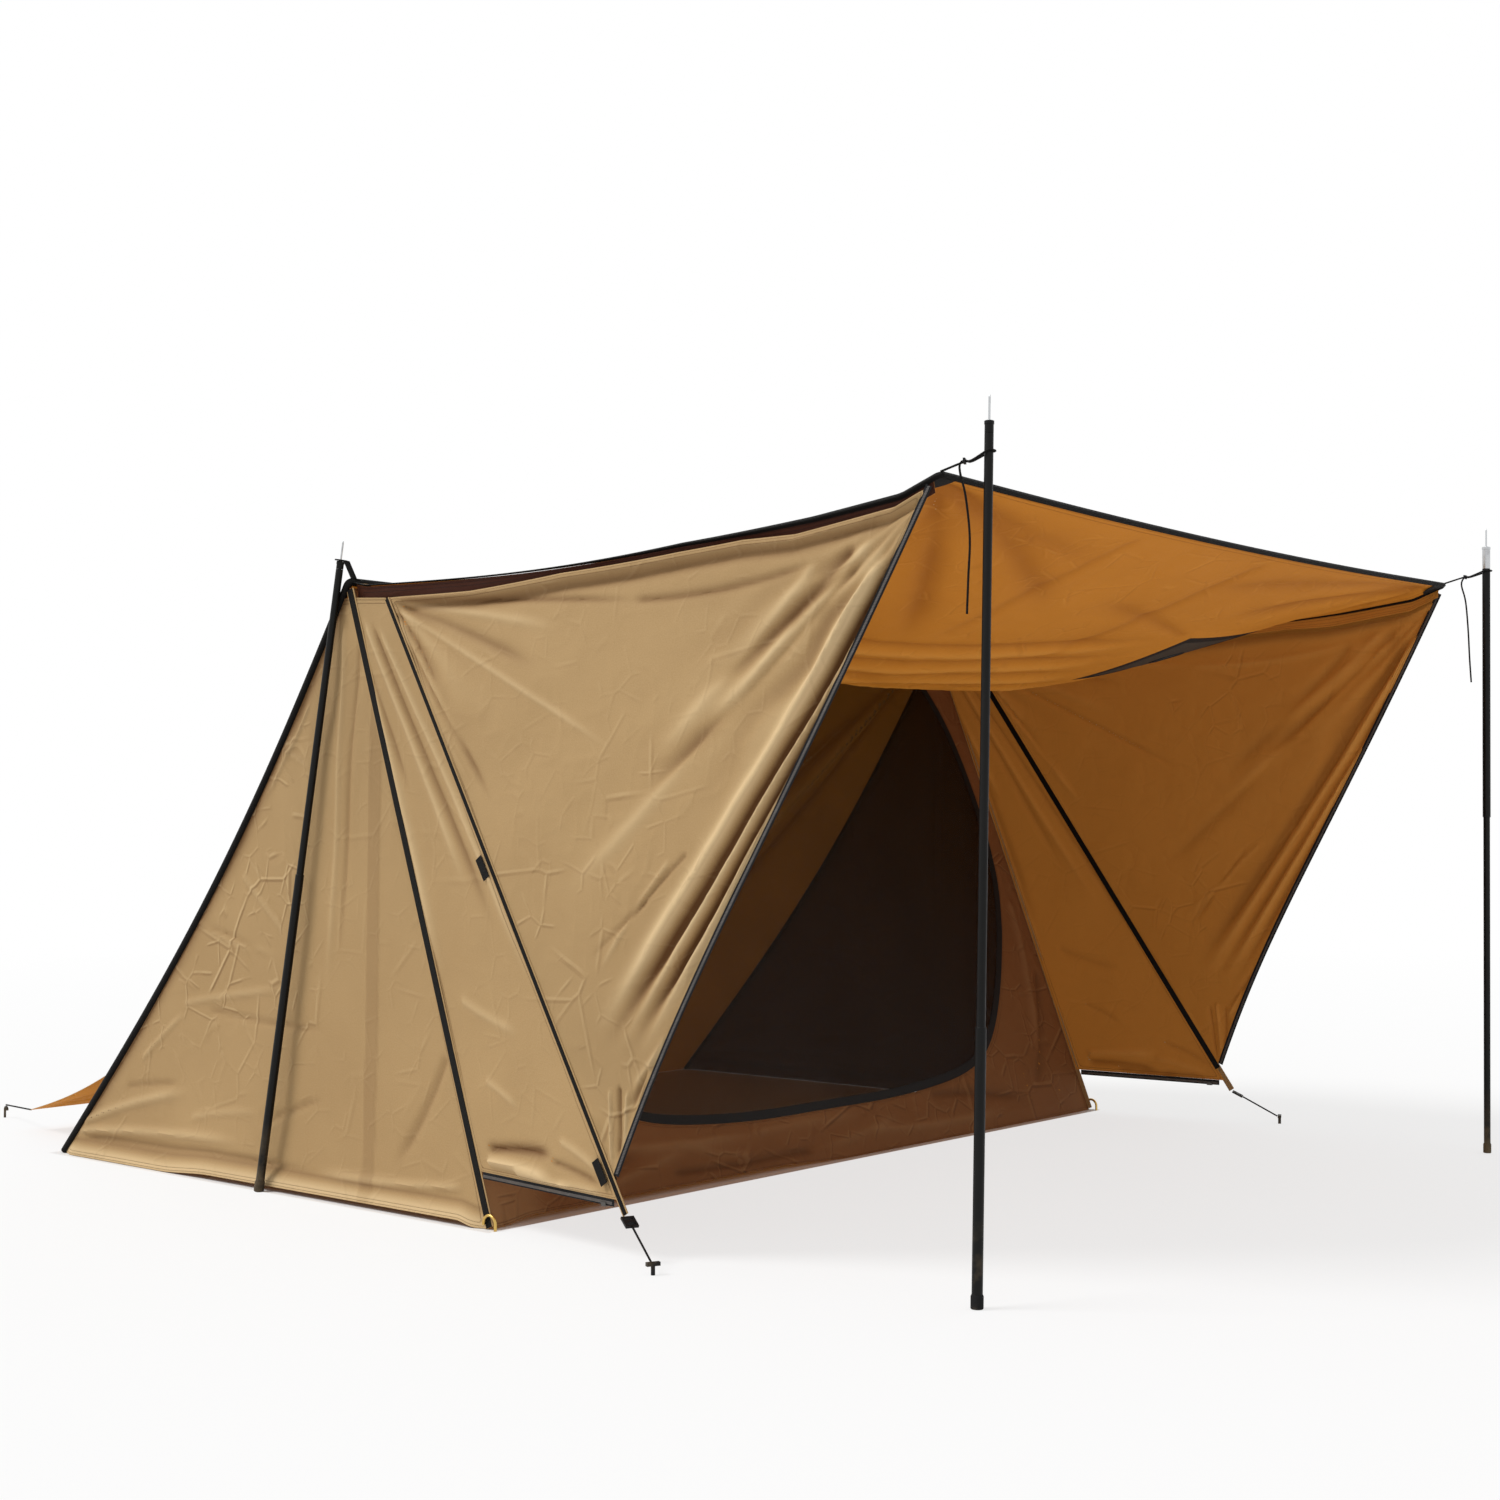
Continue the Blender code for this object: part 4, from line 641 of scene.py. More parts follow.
floor_mesh = bpy.data.meshes.new("floor")
corners = [(-1, -1), (1, -1), (1, 1), (-1, 1)]
floor_mesh.from_pydata([(x * FLOOR_HALF, y * FLOOR_HALF, 0) for x, y in corners], [], [range(4)])
floor = bpy.data.objects.new("floor", floor_mesh)
bpy.context.scene.collection.objects.link(floor)
floor_look = bpy.data.materials.new("white_floor")
floor_look.use_nodes = True
board = Board(floor_look.node_tree)
board.tree.nodes.clear()
spot = board.node("ShaderNodeTexCoord").outputs["Object"]
away = board.node("ShaderNodeVectorMath", {0: spot}, operation="LENGTH").outputs["Value"]
white = board.between(away, NEAR[0], FAR[0], NEAR[1], FAR[1])
sides = board.node("ShaderNodeSeparateXYZ", {0: spot}).outputs
from_middle = board.math("ABSOLUTE", sides["X"])
within_x = board.between(from_middle, ROOM_X, ROOM_X + ROOM_EDGE, 1.0, 0.0)
from_middle = board.math("ABSOLUTE", board.math("SUBTRACT", sides["Y"], ROOM_Y))
within_y = board.between(from_middle, ROOM_HALF, ROOM_HALF + ROOM_EDGE, 1.0, 0.0)
indoors = board.math("MULTIPLY", within_x, within_y)
white = board.math("MULTIPLY", white, board.math("SUBTRACT", 1.0, indoors))
share = board.math("MULTIPLY", white, seen_directly(board))
matt = board.node("ShaderNodeBsdfDiffuse", {"Color": FLOOR_WHITE}).outputs[0]
bright = board.node("ShaderNodeEmission", {"Color": (1, 1, 1, 1), "Strength": 1.0}).outputs[0]
both = board.node("ShaderNodeMixShader", {0: share, 1: matt, 2: bright}).outputs[0]
board.node("ShaderNodeOutputMaterial", {"Surface": both})
floor_mesh.materials.append(floor_look)
print("sun from", SUN_FROM, "sky", SKY_STRENGTH)

# %% [markdown]
# ## Effects that several finishes share
#
# Each effect is a node group with named sockets, built once. `weave` draws the threads of a
# plain cloth from its UV map in metres, `stitches` draws a row of stitches at a distance from
# the hem, `creasing` gives the small creases of packed cloth, and `speckle` the dust and fine
# grain of hard parts.
# %% Node groups


def group(name, inputs, outputs):
    """A new node group's board, inputs and outputs. An input is a number with a first value, or
    a vector where that value is None."""
    tree = bpy.data.node_groups.new(name, "ShaderNodeTree")
    for key, value in inputs.items():
        kind = "NodeSocketVector" if value is None else "NodeSocketFloat"
        socket = tree.interface.new_socket(key, in_out="INPUT", socket_type=kind)
        if value is not None:
            socket.default_value = value
    for key in outputs:
        tree.interface.new_socket(key, in_out="OUTPUT", socket_type="NodeSocketFloat")
    made = Board(tree)
    return made, made.node("NodeGroupInput").outputs, made.node("NodeGroupOutput").inputs


def weave_group():
    """Height of over-and-under threads: sin(u) sin(v) with the thread pitch as half a wave."""
    made, given, wanted = group("weave", {"UV": None, "Pitch": 0.0012}, ["Height", "Mask"])
    parts = made.node("ShaderNodeSeparateXYZ", {0: given["UV"]}).outputs
    turn = made.math("DIVIDE", math.pi, given["Pitch"])
    warp = made.math("SINE", made.math("MULTIPLY", parts["X"], turn))
    weft = made.math("SINE", made.math("MULTIPLY", parts["Y"], turn))
    cross = made.math("MULTIPLY", warp, weft)
    made.tree.links.new(cross, wanted["Height"])
    made.tree.links.new(made.math("ABSOLUTE", cross), wanted["Mask"])
    return made.tree


def stitch_group():
    """1 on stitches: |distance - place| under half a thread, and on for most of each length."""
    inputs = {"Distance": 0.0, "Along": 0.0, "Place": 0.008, "Thread": 0.0009, "Length": 0.0035}
    made, given, wanted = group("stitches", inputs, ["Mask"])
    off = made.math("ABSOLUTE", made.math("SUBTRACT", given["Distance"], given["Place"]))
    near = made.math("LESS_THAN", off, given["Thread"])
    beat = made.math("FRACT", made.math("DIVIDE", given["Along"], given["Length"]))
    on = made.math("LESS_THAN", beat, 0.72)
    made.tree.links.new(made.math("MULTIPLY", near, on), wanted["Mask"])
    return made.tree


def creasing_group():
    """Small sharp creases: the borders of uneven cells of two sizes, each shown only where a
    noise is high, so that they come as short straight pieces and zigzags."""
    made, given, wanted = group("creasing", {"Vector": None, "Scale": 9.0}, ["Height"])
    total = None
    for factor, strength, width in ((1.0, 0.6, 0.035), (2.2, 0.4, 0.060)):
        scale = made.math("MULTIPLY", given["Scale"], factor)
        inputs = {"Vector": given["Vector"], "Scale": scale}
        cells = made.node("ShaderNodeTexVoronoi", inputs, feature="DISTANCE_TO_EDGE").outputs
        cover = made.noise(given["Vector"], scale, 1.0, 0.5)
        cover = made.between(cover, 0.47, 0.58, 0.0, strength)
        border = made.between(cells["Distance"], 0.0, width, 1.0, 0.0)
        ridge = made.math("MULTIPLY", border, cover)
        total = ridge if total is None else made.math("ADD", total, ridge)
    made.tree.links.new(total, wanted["Height"])
    return made.tree


def speckle_group():
    """Fine grain, and dust that gathers near the ground."""
    made, given, wanted = group("speckle", {"Vector": None, "Scale": 900.0}, ["Height", "Dust"])
    grain = made.noise(given["Vector"], given["Scale"], 2.0, 0.6)
    cloud = made.noise(given["Vector"], 14.0, 4.0, 0.6)
    height = made.node("ShaderNodeSeparateXYZ", {0: given["Vector"]}).outputs["Z"]
    low = made.between(height, 0.0, 0.16, 1.0, 0.0)
    dust = made.math("MULTIPLY", made.between(cloud, 0.42, 0.66), low)
    made.tree.links.new(grain, wanted["Height"])
    made.tree.links.new(dust, wanted["Dust"])
    return made.tree


GROUPS = {
    "weave": weave_group(),
    "stitches": stitch_group(),
    "creasing": creasing_group(),
    "speckle": speckle_group(),
}
print("node groups:", sorted(GROUPS))

# %% [markdown]
# ## Cloth finishes
#
# The tent is a heavy cotton blend: dull and a little uneven. Painted shade darkens the valleys
# of its folds and a painted highlight lightens their ridges, and small creases get painted
# highlight and shade too. Several other finishes are copies of the khaki with painted light in
# their colour: a painted glow on the insides lit from behind, and painted shade on the front wall,
# the end walls' insides and the eave strips. A picture of cloth would repeat, so the finish is
# worked out from the panel's own UV map and from how high each fold stands.
# %% Cloth finishes


def colour(red, green, blue):
    """A colour given as 0..255 screen values, as the linear values that Blender uses."""
    values = [value / 255 for value in (red, green, blue)]
    return (*(v / 12.92 if v < 0.04045 else ((v + 0.055) / 1.055) ** 2.4 for v in values), 1.0)


def finish(name):
    """A new material's board, its shader's inputs, UV and object place."""
    look = bpy.data.materials.new(name)
    look.use_nodes = True
    made = Board(look.node_tree)
    shader = next(node for node in look.node_tree.nodes if node.type == "BSDF_PRINCIPLED")
    places = made.node("ShaderNodeTexCoord").outputs
    return look, made, shader.inputs, places["UV"], places["Object"]


def use(made, key, inputs):
    """The outputs of a shared node group placed in this material."""
    return made.node("ShaderNodeGroup", inputs, node_tree=GROUPS[key]).outputs


def attribute(made, key):
    """A value that the mesh carries at its points."""
    return made.node("ShaderNodeAttribute", attribute_name=key).outputs["Fac"]


def surfaced(made, shader, tint, height, rough, shine):
    """Gives the shader its colour, its heights as a bump, its roughness and its shine."""
    bump = made.node("ShaderNodeBump", {"Height": height, "Strength": 1.0, "Distance": 1.0})
    made.tree.links.new(tint, shader["Base Color"])
    made.tree.links.new(bump.outputs[0], shader["Normal"])
    made.tree.links.new(rough, shader["Roughness"])
    shader["Specular IOR Level"].default_value = shine


TOWARDS_LIGHT = (-0.001, 0.0024, 0.0026)
THREAD_PITCH, THREAD_HEIGHT = 0.0011, 0.00012
CREASE_SCALE, CREASE_HEIGHT = 6.0, 0.0016
STITCH_ROWS, STITCH_DEPTH = (0.006, 0.015), 0.0004
HEM_WIDTH, HEM_HEIGHT = 0.018, 0.0006
CLOTH_SHINE, WEBBING_SHINE, HARD_SHINE = 0.22, 0.14, 0.20


def cloth_finish(name, body, dark_tone_and_shade, worn_and_highlight, fold=0.010, painted_fold_shading=0.22, stitched=True, glow=0.0):
    """Woven cloth: body colour, with random darker patches, paler flecks, threads and stitches.
    Painted shade darkens the valleys of folds and a painted highlight lightens their ridges.
    The band attribute paints shade on a strip where it is above 0, and light on one where it is
    below. A crease gets a painted highlight on its side towards the light and painted shade on
    its far side, by comparing its height with the height a step nearer the light. With glow the
    colour is also given off as emission, painted light for sun shining through the cloth."""
    look, made, shader, uv, spot_at = finish(name)
    relief = attribute(made, "relief")
    high = made.between(relief, 0.0, fold)
    low = made.between(relief, 0.0, -fold)
    patches = made.noise(spot_at, 2.3, 4.0, 0.6)
    flecks = made.noise(uv, 260.0, 2.0, 0.7)
    tint = made.mixed(made.between(patches, 0.3, 0.72, 0.0, 0.14), body, dark_tone_and_shade)
    tint = made.mixed(made.between(flecks, 0.35, 0.7, 0.0, 0.12), tint, worn_and_highlight)
    # Painted shade in the valleys of folds, and a painted highlight on their ridges.
    tint = made.mixed(made.math("MULTIPLY", low, painted_fold_shading), tint, dark_tone_and_shade)
    tint = made.mixed(made.math("MULTIPLY", high, painted_fold_shading * 0.8), tint, worn_and_highlight)
    # Painted shade on the band's strips above 0, and painted light on those below 0.
    band = attribute(made, "band")
    tint = made.mixed(made.between(band, 0.0, 1.0), tint, dark_tone_and_shade)
    tint = made.mixed(made.between(band, 0.0, -1.0), tint, worn_and_highlight)
    threads = use(made, "weave", {"UV": uv, "Pitch": THREAD_PITCH})
    tint = made.mixed(made.math("MULTIPLY", threads["Mask"], 0.14), tint, dark_tone_and_shade)
    nearer = made.node("ShaderNodeVectorMath", {0: spot_at, 1: TOWARDS_LIGHT}, operation="ADD")
    here, beyond = (
        use(made, "creasing", {"Vector": vector, "Scale": CREASE_SCALE})["Height"]
        for vector in (spot_at, nearer.outputs[0])
    )
    creased = attribute(made, "fine")
    creases = made.math("MULTIPLY", here, creased)
    # Painted highlight on a crease's side towards the light, painted shade on its far side.
    lit = made.math("MULTIPLY", made.math("SUBTRACT", here, beyond), creased)
    tint = made.mixed(made.between(lit, 0.0, 1.0, 0.0, 0.60), tint, worn_and_highlight)
    tint = made.mixed(made.between(lit, 0.0, -1.0, 0.0, 0.75), tint, dark_tone_and_shade)
    height = made.math("MULTIPLY", threads["Height"], THREAD_HEIGHT)
    height = made.math("ADD", height, made.math("MULTIPLY", creases, CREASE_HEIGHT))
    if stitched:
        parts = made.node("ShaderNodeSeparateXYZ", {0: uv}).outputs
        walk = made.math("ADD", parts["X"], parts["Y"])
        hem = attribute(made, "hem")
        for row_at in STITCH_ROWS:
            inputs = {"Distance": hem, "Along": walk, "Place": row_at}
            row = use(made, "stitches", inputs)["Mask"]
            tint = made.mixed(made.math("MULTIPLY", row, 0.7), tint, dark_tone_and_shade)
            height = made.math("SUBTRACT", height, made.math("MULTIPLY", row, STITCH_DEPTH))
        folded = made.math("LESS_THAN", hem, HEM_WIDTH)
        height = made.math("ADD", height, made.math("MULTIPLY", folded, HEM_HEIGHT))
    rough = made.between(patches, 0.2, 0.8, 0.66, 0.80)
    surfaced(made, shader, tint, height, rough, CLOTH_SHINE)
    # The glow is painted light: the colour is given off as emission.
    if glow:
        made.tree.links.new(tint, shader["Emission Color"])
        shader["Emission Strength"].default_value = glow
    return look


KHAKI = cloth_finish(
    "khaki_cloth", colour(179, 147, 101), colour(98, 60, 26), colour(228, 200, 154), painted_fold_shading=0.90
)
# The lining is the khaki's inside with light shining through it: its orange and its glow are
# painted light.
PAINTED_GLOW_LINING = cloth_finish(
    "khaki_lining_painted_glow", colour(176, 114, 44), colour(100, 58, 20), colour(196, 138, 70),
    painted_fold_shading=0.4, glow=0.22,
)
# The dim lining is the khaki's inside darkened with painted shade.
DIM = cloth_finish("dim_lining", colour(92, 60, 30), colour(56, 34, 16), colour(116, 80, 44))
# The sunlit lining's orange and glow are painted light, for the sun shining through the roof and
# rear wall.
GLOWING = cloth_finish(
    "sunlit_lining", colour(194, 123, 36), colour(136, 74, 16), colour(226, 162, 76),
    painted_fold_shading=0.6, glow=0.22,
)
# The shaded wall is the khaki darkened with painted shade, for the front wall under the porch.
SHADED = cloth_finish(
    "shaded_wall", colour(140, 92, 52), colour(66, 37, 16), colour(178, 136, 92), painted_fold_shading=0.55
)
# Painted shade: the eave strip's dark red-brown stands in for the shade under the roof's side
# edge.
PAINTED_SHADE_EAVE = cloth_finish(
    "eave_cloth", colour(68, 31, 15), colour(26, 12, 7), colour(96, 50, 26), painted_fold_shading=0.5
)
# The apron's underside: its orange and glow are painted light shining through it.
BACKLIT = cloth_finish(
    "backlit_apron", colour(190, 126, 34), colour(140, 84, 18), colour(220, 162, 76),
    painted_fold_shading=0.6, glow=0.30,
)
HEAT = cloth_finish(
    "heat_cloth", colour(74, 68, 60), colour(44, 40, 36), colour(100, 94, 86), stitched=False
)
BLACK_CLOTH = cloth_finish(
    "black_tape", colour(30, 30, 30), colour(14, 14, 14), colour(52, 52, 52), stitched=False
)
print("cloth finishes ready")

# %% [markdown]
# ## Webbing, net, zips and hard finishes
#
# Webbing has ribs across its length. The net is a dark knit with air between its threads, so its
# alpha follows a fine grid. Poles are powder coated, and the small metal parts are plain.
# %% Trim and hard finishes
RIB_PITCH, RIB_HEIGHT = 0.0014, 0.0002
NET_PITCH, NET_HAZE = 0.0021, colour(38, 32, 28)
GRAIN_SCALE, DUST = 900.0, colour(150, 130, 100)


def webbing_finish(name, body, rib):
    """Ribbed tape: sin(2 pi y / pitch) along the strap, roughened by fine noise."""
    look, made, shader, uv, _ = finish(name)
    parts = made.node("ShaderNodeSeparateXYZ", {0: uv}).outputs
    beat = made.math("SINE", made.math("MULTIPLY", parts["Y"], 2 * math.pi / RIB_PITCH))
    fray = made.noise(uv, 420.0, 2.0, 0.6)
    tint = made.mixed(made.between(beat, -1.0, 1.0, 0.0, 0.6), body, rib)
    tint = made.mixed(made.between(fray, 0.5, 0.8, 0.0, 0.5), tint, rib)
    height = made.math("MULTIPLY", made.math("ADD", beat, fray), RIB_HEIGHT)
    rough = made.between(fray, 0.2, 0.8, 0.55, 0.8)
    surfaced(made, shader, tint, height, rough, WEBBING_SHINE)
    return look


def net_finish(name, thread):
    """A fine knitted net: alpha is full on the threads and low in the holes between them."""
    look, made, shader, uv, spot_at = finish(name)
    parts = made.node("ShaderNodeSeparateXYZ", {0: uv}).outputs
    turn = 2 * math.pi / NET_PITCH
    warp = made.math("COSINE", made.math("MULTIPLY", parts["X"], turn))
    weft = made.math("COSINE", made.math("MULTIPLY", parts["Y"], turn))
    knit = made.math("MAXIMUM", warp, weft)
    haze = made.noise(spot_at, 3.0, 3.0, 0.5)
    cover = made.between(knit, 0.1, 0.6, 0.32, 0.55)
    cloud = made.between(haze, 0.3, 0.7, 0.0, 0.06)
    made.tree.links.new(made.math("ADD", cover, cloud), shader["Alpha"])
    made.tree.links.new(made.mixed(haze, thread, NET_HAZE), shader["Base Color"])
    made.tree.links.new(made.between(haze, 0.2, 0.8, 0.7, 0.9), shader["Roughness"])
    return look


def hard_finish(name, body, worn_and_highlight, metallic, rough, grain=0.00004):
    """Metal, coat or moulded plastic: fine grain, uneven gloss and dust near the ground."""
    look, made, shader, _, spot_at = finish(name)
    surface = use(made, "speckle", {"Vector": spot_at, "Scale": GRAIN_SCALE})
    marks = made.noise(spot_at, 60.0, 5.0, 0.65)
    # Here the worn colour is only the tone of worn marks; no highlight is painted.
    tint = made.mixed(made.between(marks, 0.52, 0.75, 0.0, 0.5), body, worn_and_highlight)
    tint = made.mixed(made.math("MULTIPLY", surface["Dust"], 0.45), tint, DUST)
    height = made.math("MULTIPLY", surface["Height"], grain)
    uneven = made.between(marks, 0.3, 0.7, rough - 0.08, rough + 0.12)
    surfaced(made, shader, tint, height, uneven, HARD_SHINE)
    shader["Metallic"].default_value = metallic
    return look


WEBBING = webbing_finish("black_webbing", colour(9, 8, 7), colour(24, 22, 20))
CORD = webbing_finish("black_cord", colour(14, 13, 12), colour(36, 34, 32))
ZIP_TAPE_LOOK = webbing_finish("zip_tape", colour(20, 20, 22), colour(38, 38, 40))
ZIP_TEETH = hard_finish("zip_teeth", colour(96, 92, 90), colour(140, 136, 132), 0.0, 0.45)
NET = net_finish("door_net", colour(20, 17, 15))
COAT = hard_finish("powder_coat", colour(7, 7, 6), colour(20, 19, 18), 0.0, 0.42, grain=0.00010)
STEEL = hard_finish("bare_metal", colour(196, 198, 200), colour(150, 150, 152), 1.0, 0.28)
SLIDER = hard_finish("slider_metal", colour(92, 90, 88), colour(60, 58, 56), 1.0, 0.40)
BRASS = hard_finish("brass", colour(212, 176, 98), colour(168, 132, 64), 1.0, 0.30)
PLASTIC = hard_finish(
    "black_plastic", colour(18, 18, 20), colour(40, 40, 42), 0.0, 0.45, grain=0.00006
)
RUBBER = hard_finish(
    "rubber_foot", colour(18, 18, 19), colour(44, 42, 40), 0.0, 0.75, grain=0.00012
)
print("trim and hard finishes ready")

# %% [markdown]
# ## Cords
#
# Each front corner of the roof is held by a cord, which goes round the pole under its spike,
# back through a small runner, and hangs down. Its length is read from the photograph. A cord
# could be a curve object, but a tube with its own path keeps its place in its mesh. A row of
# TAILS is a step of a hanging end: how far back through the runner it starts, and its place from
# there. WIDE and NARROW are the radii of the poles' tubes. A row of FRONT_POLES is a pole's foot,
# its lean, the share of its height where the cord goes round it, and its radius there.
# %% Cords
CORD_RADIUS = 0.0020
CORD_STEP = 0.006
BINDING_WIDTH, BINDING_HEIGHT = 0.010, 0.004
BOUND = (0.012, 0.0115)
POLE_LENGTH = 1.5
WIDE, NARROW = 0.0095, 0.0079
RUNNER_REACH, RUNNER_SPREAD = 0.012, 0.0046
LOOP_GAP = 0.0012
BUCKLE_LENGTH, BUCKLE_GAP = 0.030, 0.0008
STAKE_HOLE = 0.009
PEG_RADIUS, PEG_HEIGHT = 0.0032, 0.030
FRONT_POLES = {
    "left": ((-1.096, -AWNING_REACH - 0.059), (0.031, -0.011), 0.965, NARROW),
    "right": ((1.106, -AWNING_REACH - 0.085), (0.0055, -0.0136), 0.960, WIDE),
}
TAILS = {
    "left": (
        (0.6, 0.000, 0.000, -0.004), (0.9, 0.002, -0.003, -0.020), (0.9, 0.008, -0.010, -0.060),
        (0.9, 0.013, -0.015, -0.130), (0.9, 0.011, -0.013, -0.200), (0.9, 0.008, -0.012, -0.262),
    ),
    "right": (
        (0.6, 0.000, 0.000, -0.004), (0.9, 0.000, 0.000, -0.020), (0.9, 0.010, -0.006, -0.060),
        (0.9, 0.014, -0.010, -0.130), (0.9, 0.016, -0.012, -0.200), (0.9, 0.020, -0.014, -0.262),
    ),
}


def tied(name, points, node, body, blend_to=None):
    """A cord along the points that takes the place of its CAD solid."""
    piece = rope(name, points, CORD_RADIUS, CORD)
    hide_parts(node)
    if blend_to:
        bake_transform(piece)
    else:
        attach(piece, body)
    return piece


for word, side in SIDES:
    foot, lean, height, around = FRONT_POLES[word]
    inset = BINDING_WIDTH / 2
    corner = roof(1 - inset / AWNING_HALF, 1 - inset / AWNING_REACH)
    start = mirrored(corner + (0, 0, BINDING_HEIGHT / 2 + CLEAR + CORD_RADIUS), side)
    post = np.array((*foot, 0.0)) + np.array((*lean, POLE_LENGTH)) * height
    toward = unit((post - start) * (1, 1, 0))
    aside = np.cross(toward, (0, 0, side))
    middle = mix(start, post, 0.5)
    reach, spread = toward * RUNNER_REACH, aside * RUNNER_SPREAD
    turns = np.linspace(0, np.pi, 9)[:, None]
    around = around + CORD_RADIUS + LOOP_GAP
    loop = post + (aside * np.cos(turns) + toward * np.sin(turns)) * around
    back = middle - spread
    tail = [back - reach * step[0] + np.array(step[1:]) for step in TAILS[word]]
    stops = [start, middle + spread, middle + spread + reach, *loop, back + reach, back, *tail]
    tied(
        "corner_cord_" + word + "_rope", route(stops, CORD_STEP), "corner_cord_" + word,
        "tent", "awning",
    )

STAKE = np.array((1.249, -1.035, 0.020))
foot = np.array(WING_FOOT)
step = unit(STAKE - foot)
first = foot + step * (BUCKLE_LENGTH + BUCKLE_GAP)
last = STAKE - unit(step * (1, 1, 0)) * ((STAKE_HOLE + CORD_RADIUS) / 2 + CLEAR)
for word, side in SIDES:
    run = mirrored(route([first, (first + last) / 2, last], 0.005), side)
    tied("wing_cord_" + word + "_rope", run, "wing_cord_" + word, "tent")

APRON_END = np.array((1.000, 1.440, 0.054))
APRON_PEG = (0.912, 1.712)
top = PEG_HEIGHT + PEG_RADIUS + CORD_RADIUS + CLEAR
first = APRON_END + (-2 * CORD_RADIUS, 0.0008, 0)
last = np.array((APRON_PEG[0], APRON_PEG[1] - 0.006, top))
for word, side in SIDES:
    run = mirrored(route([first, (first + last) / 2, last], CORD_STEP), side)
    tied(
        "apron_cord_" + word + "_rope", run, "apron_cord_" + word, "tent",
        "rear_apron",
    )

# %% [markdown]
# ## The raised roof
#
# The roof is the tent's front cloth, pulled up to two poles. Seen from the porch its underside
# glows, because the sun shines through it; that glow is painted light, given off by its finish.
# Its folds run along the ridge where it hangs lowest, and fan out from the two corners that the
# cords pull. The stove jack fills one cell of it.
# %% The raised roof
SIDE_STOP = AWNING_HALF - BINDING_WIDTH - CLEAR
FRONT_STOP = AWNING_REACH - BINDING_WIDTH - CLEAR
ROOF_FOLDS = [
    (-0.95, -0.33, 0.9, -0.36, 0.020, 0.026, 0.0060, 0.015),
    (-1, -0.42, 0.55, -0.47, 0.016, 0.024, 0.0050, -0.020),
    (-0.7, -0.52, 1, -0.5, 0.022, 0.016, 0.0055, 0.025),
    (-1.02, -0.62, 0.15, -0.66, 0.018, 0.028, 0.0045, -0.015),
    (-0.3, -0.74, 0.4, -0.7, 0.020, 0.020, 0.0040, 0.010),
    (-1.05, -0.24, -0.2, -0.2, 0.014, 0.020, 0.0050, 0.012),
    (0.1, -0.16, 1.04, -0.22, 0.018, 0.012, 0.0045, -0.010),
    (-1.08, -1.54, -0.42, -0.98, 0.024, 0.034, 0.0093, 0.030),
    (-1.08, -1.54, -0.66, -0.84, 0.024, 0.034, 0.0076, -0.020),
    (-1.08, -1.54, -0.2, -1.22, 0.024, 0.036, 0.0076, 0.025),
    (-1.08, -1.54, -0.86, -0.7, 0.024, 0.034, 0.0059, 0.012),
    (-1.08, -1.54, -0.3, -1.42, 0.024, 0.034, 0.0051, -0.012),
    (1.08, -1.54, 0.44, -1.3, 0.024, 0.034, 0.0085, 0.020),
    (1.08, -1.54, 0.93, -0.74, 0.024, 0.034, 0.0068, -0.014),
    (1.08, -1.54, 0.1, -1.4, 0.024, 0.034, 0.0059, -0.016),
    (0.2, -1.54, 0.05, -0.95, 0.014, 0.030, 0.0050, 0.015),
    (-0.35, -1.54, -0.38, -1, 0.012, 0.026, 0.0045, -0.012),
    (0.47, -0.86, -0.25, -0.48, 0.010, 0.030, 0.0060, 0.020),
    (0.47, -1.18, -0.15, -1.3, 0.010, 0.030, 0.0055, -0.015),
    (0.86, -0.86, 1.06, -0.44, 0.008, 0.020, 0.0055, 0.008),
    (-0.74, -0.9, 0.4, -1.18, 0.016, 0.018, 0.0072, 0.004),
    (-0.7, -0.86, 0.36, -1.14, 0.016, 0.018, -0.0072, -0.004),
    (-0.64, -0.8, 0.42, -1.08, 0.016, 0.018, 0.0078, 0.006),
    (-0.58, -0.76, 0.38, -1.02, 0.016, 0.018, -0.0072, 0.004),
    (-0.5, -0.71, 0.44, -0.97, 0.016, 0.018, 0.0078, -0.004),
    (-0.4, -0.67, 0.46, -0.91, 0.016, 0.018, -0.0072, 0.006),
    (-0.26, -0.63, 0.52, -0.85, 0.016, 0.018, 0.0072, 0.004),
    (-0.12, -0.6, 0.56, -0.79, 0.016, 0.018, -0.0060, 0.002),
]


def jack_rim():
    """The jack's low and high edge across and along the roof, in metres."""
    x, y = JACK_CENTRE
    width, depth = JACK_SIZE
    return (x - width / 2, x + width / 2), (-y - depth / 2, -y + depth / 2)


def roof_relief(x, y):
    """How far the roof's cloth stands up from its even curve: folds, creases and slow waves,
    flattened at its edges and round the stove jack."""
    (low_x, high_x), (low_y, high_y) = jack_rim()
    waves = 0.0045 * noise(x, y, 0.23, 3) + 0.0016 * noise(x, y, 0.07, 4)
    small = 0.0011 * creases(x, y, 0.085, 11) + 0.0007 * creases(x, y, 0.041, 12)
    folds = ridges(x, y, ROOF_FOLDS)
    for side in (-1, 1):
        corner, toward = (side * 1.11, -1.58), (-side * 0.72, 0.69)
        folds += fan(x, y, corner, toward, 0.55, 18, 0.40, 0.0035, 9 + side)
    edge = np.minimum(SIDE_STOP - np.abs(x), np.minimum(-y, FRONT_STOP + y))
    gap_x = np.maximum(low_x - x, x - high_x)
    gap_y = np.maximum(low_y + y, -y - high_y)
    away = np.maximum(gap_x, gap_y)
    calm = smooth(edge / 0.045) * smooth(away / 0.035)
    return folds * calm, (folds + waves + small) * calm


def raised(points, height):
    """Points moved along the grid's own outward direction by a height."""
    return points + grid_normal(points) * height[..., None]


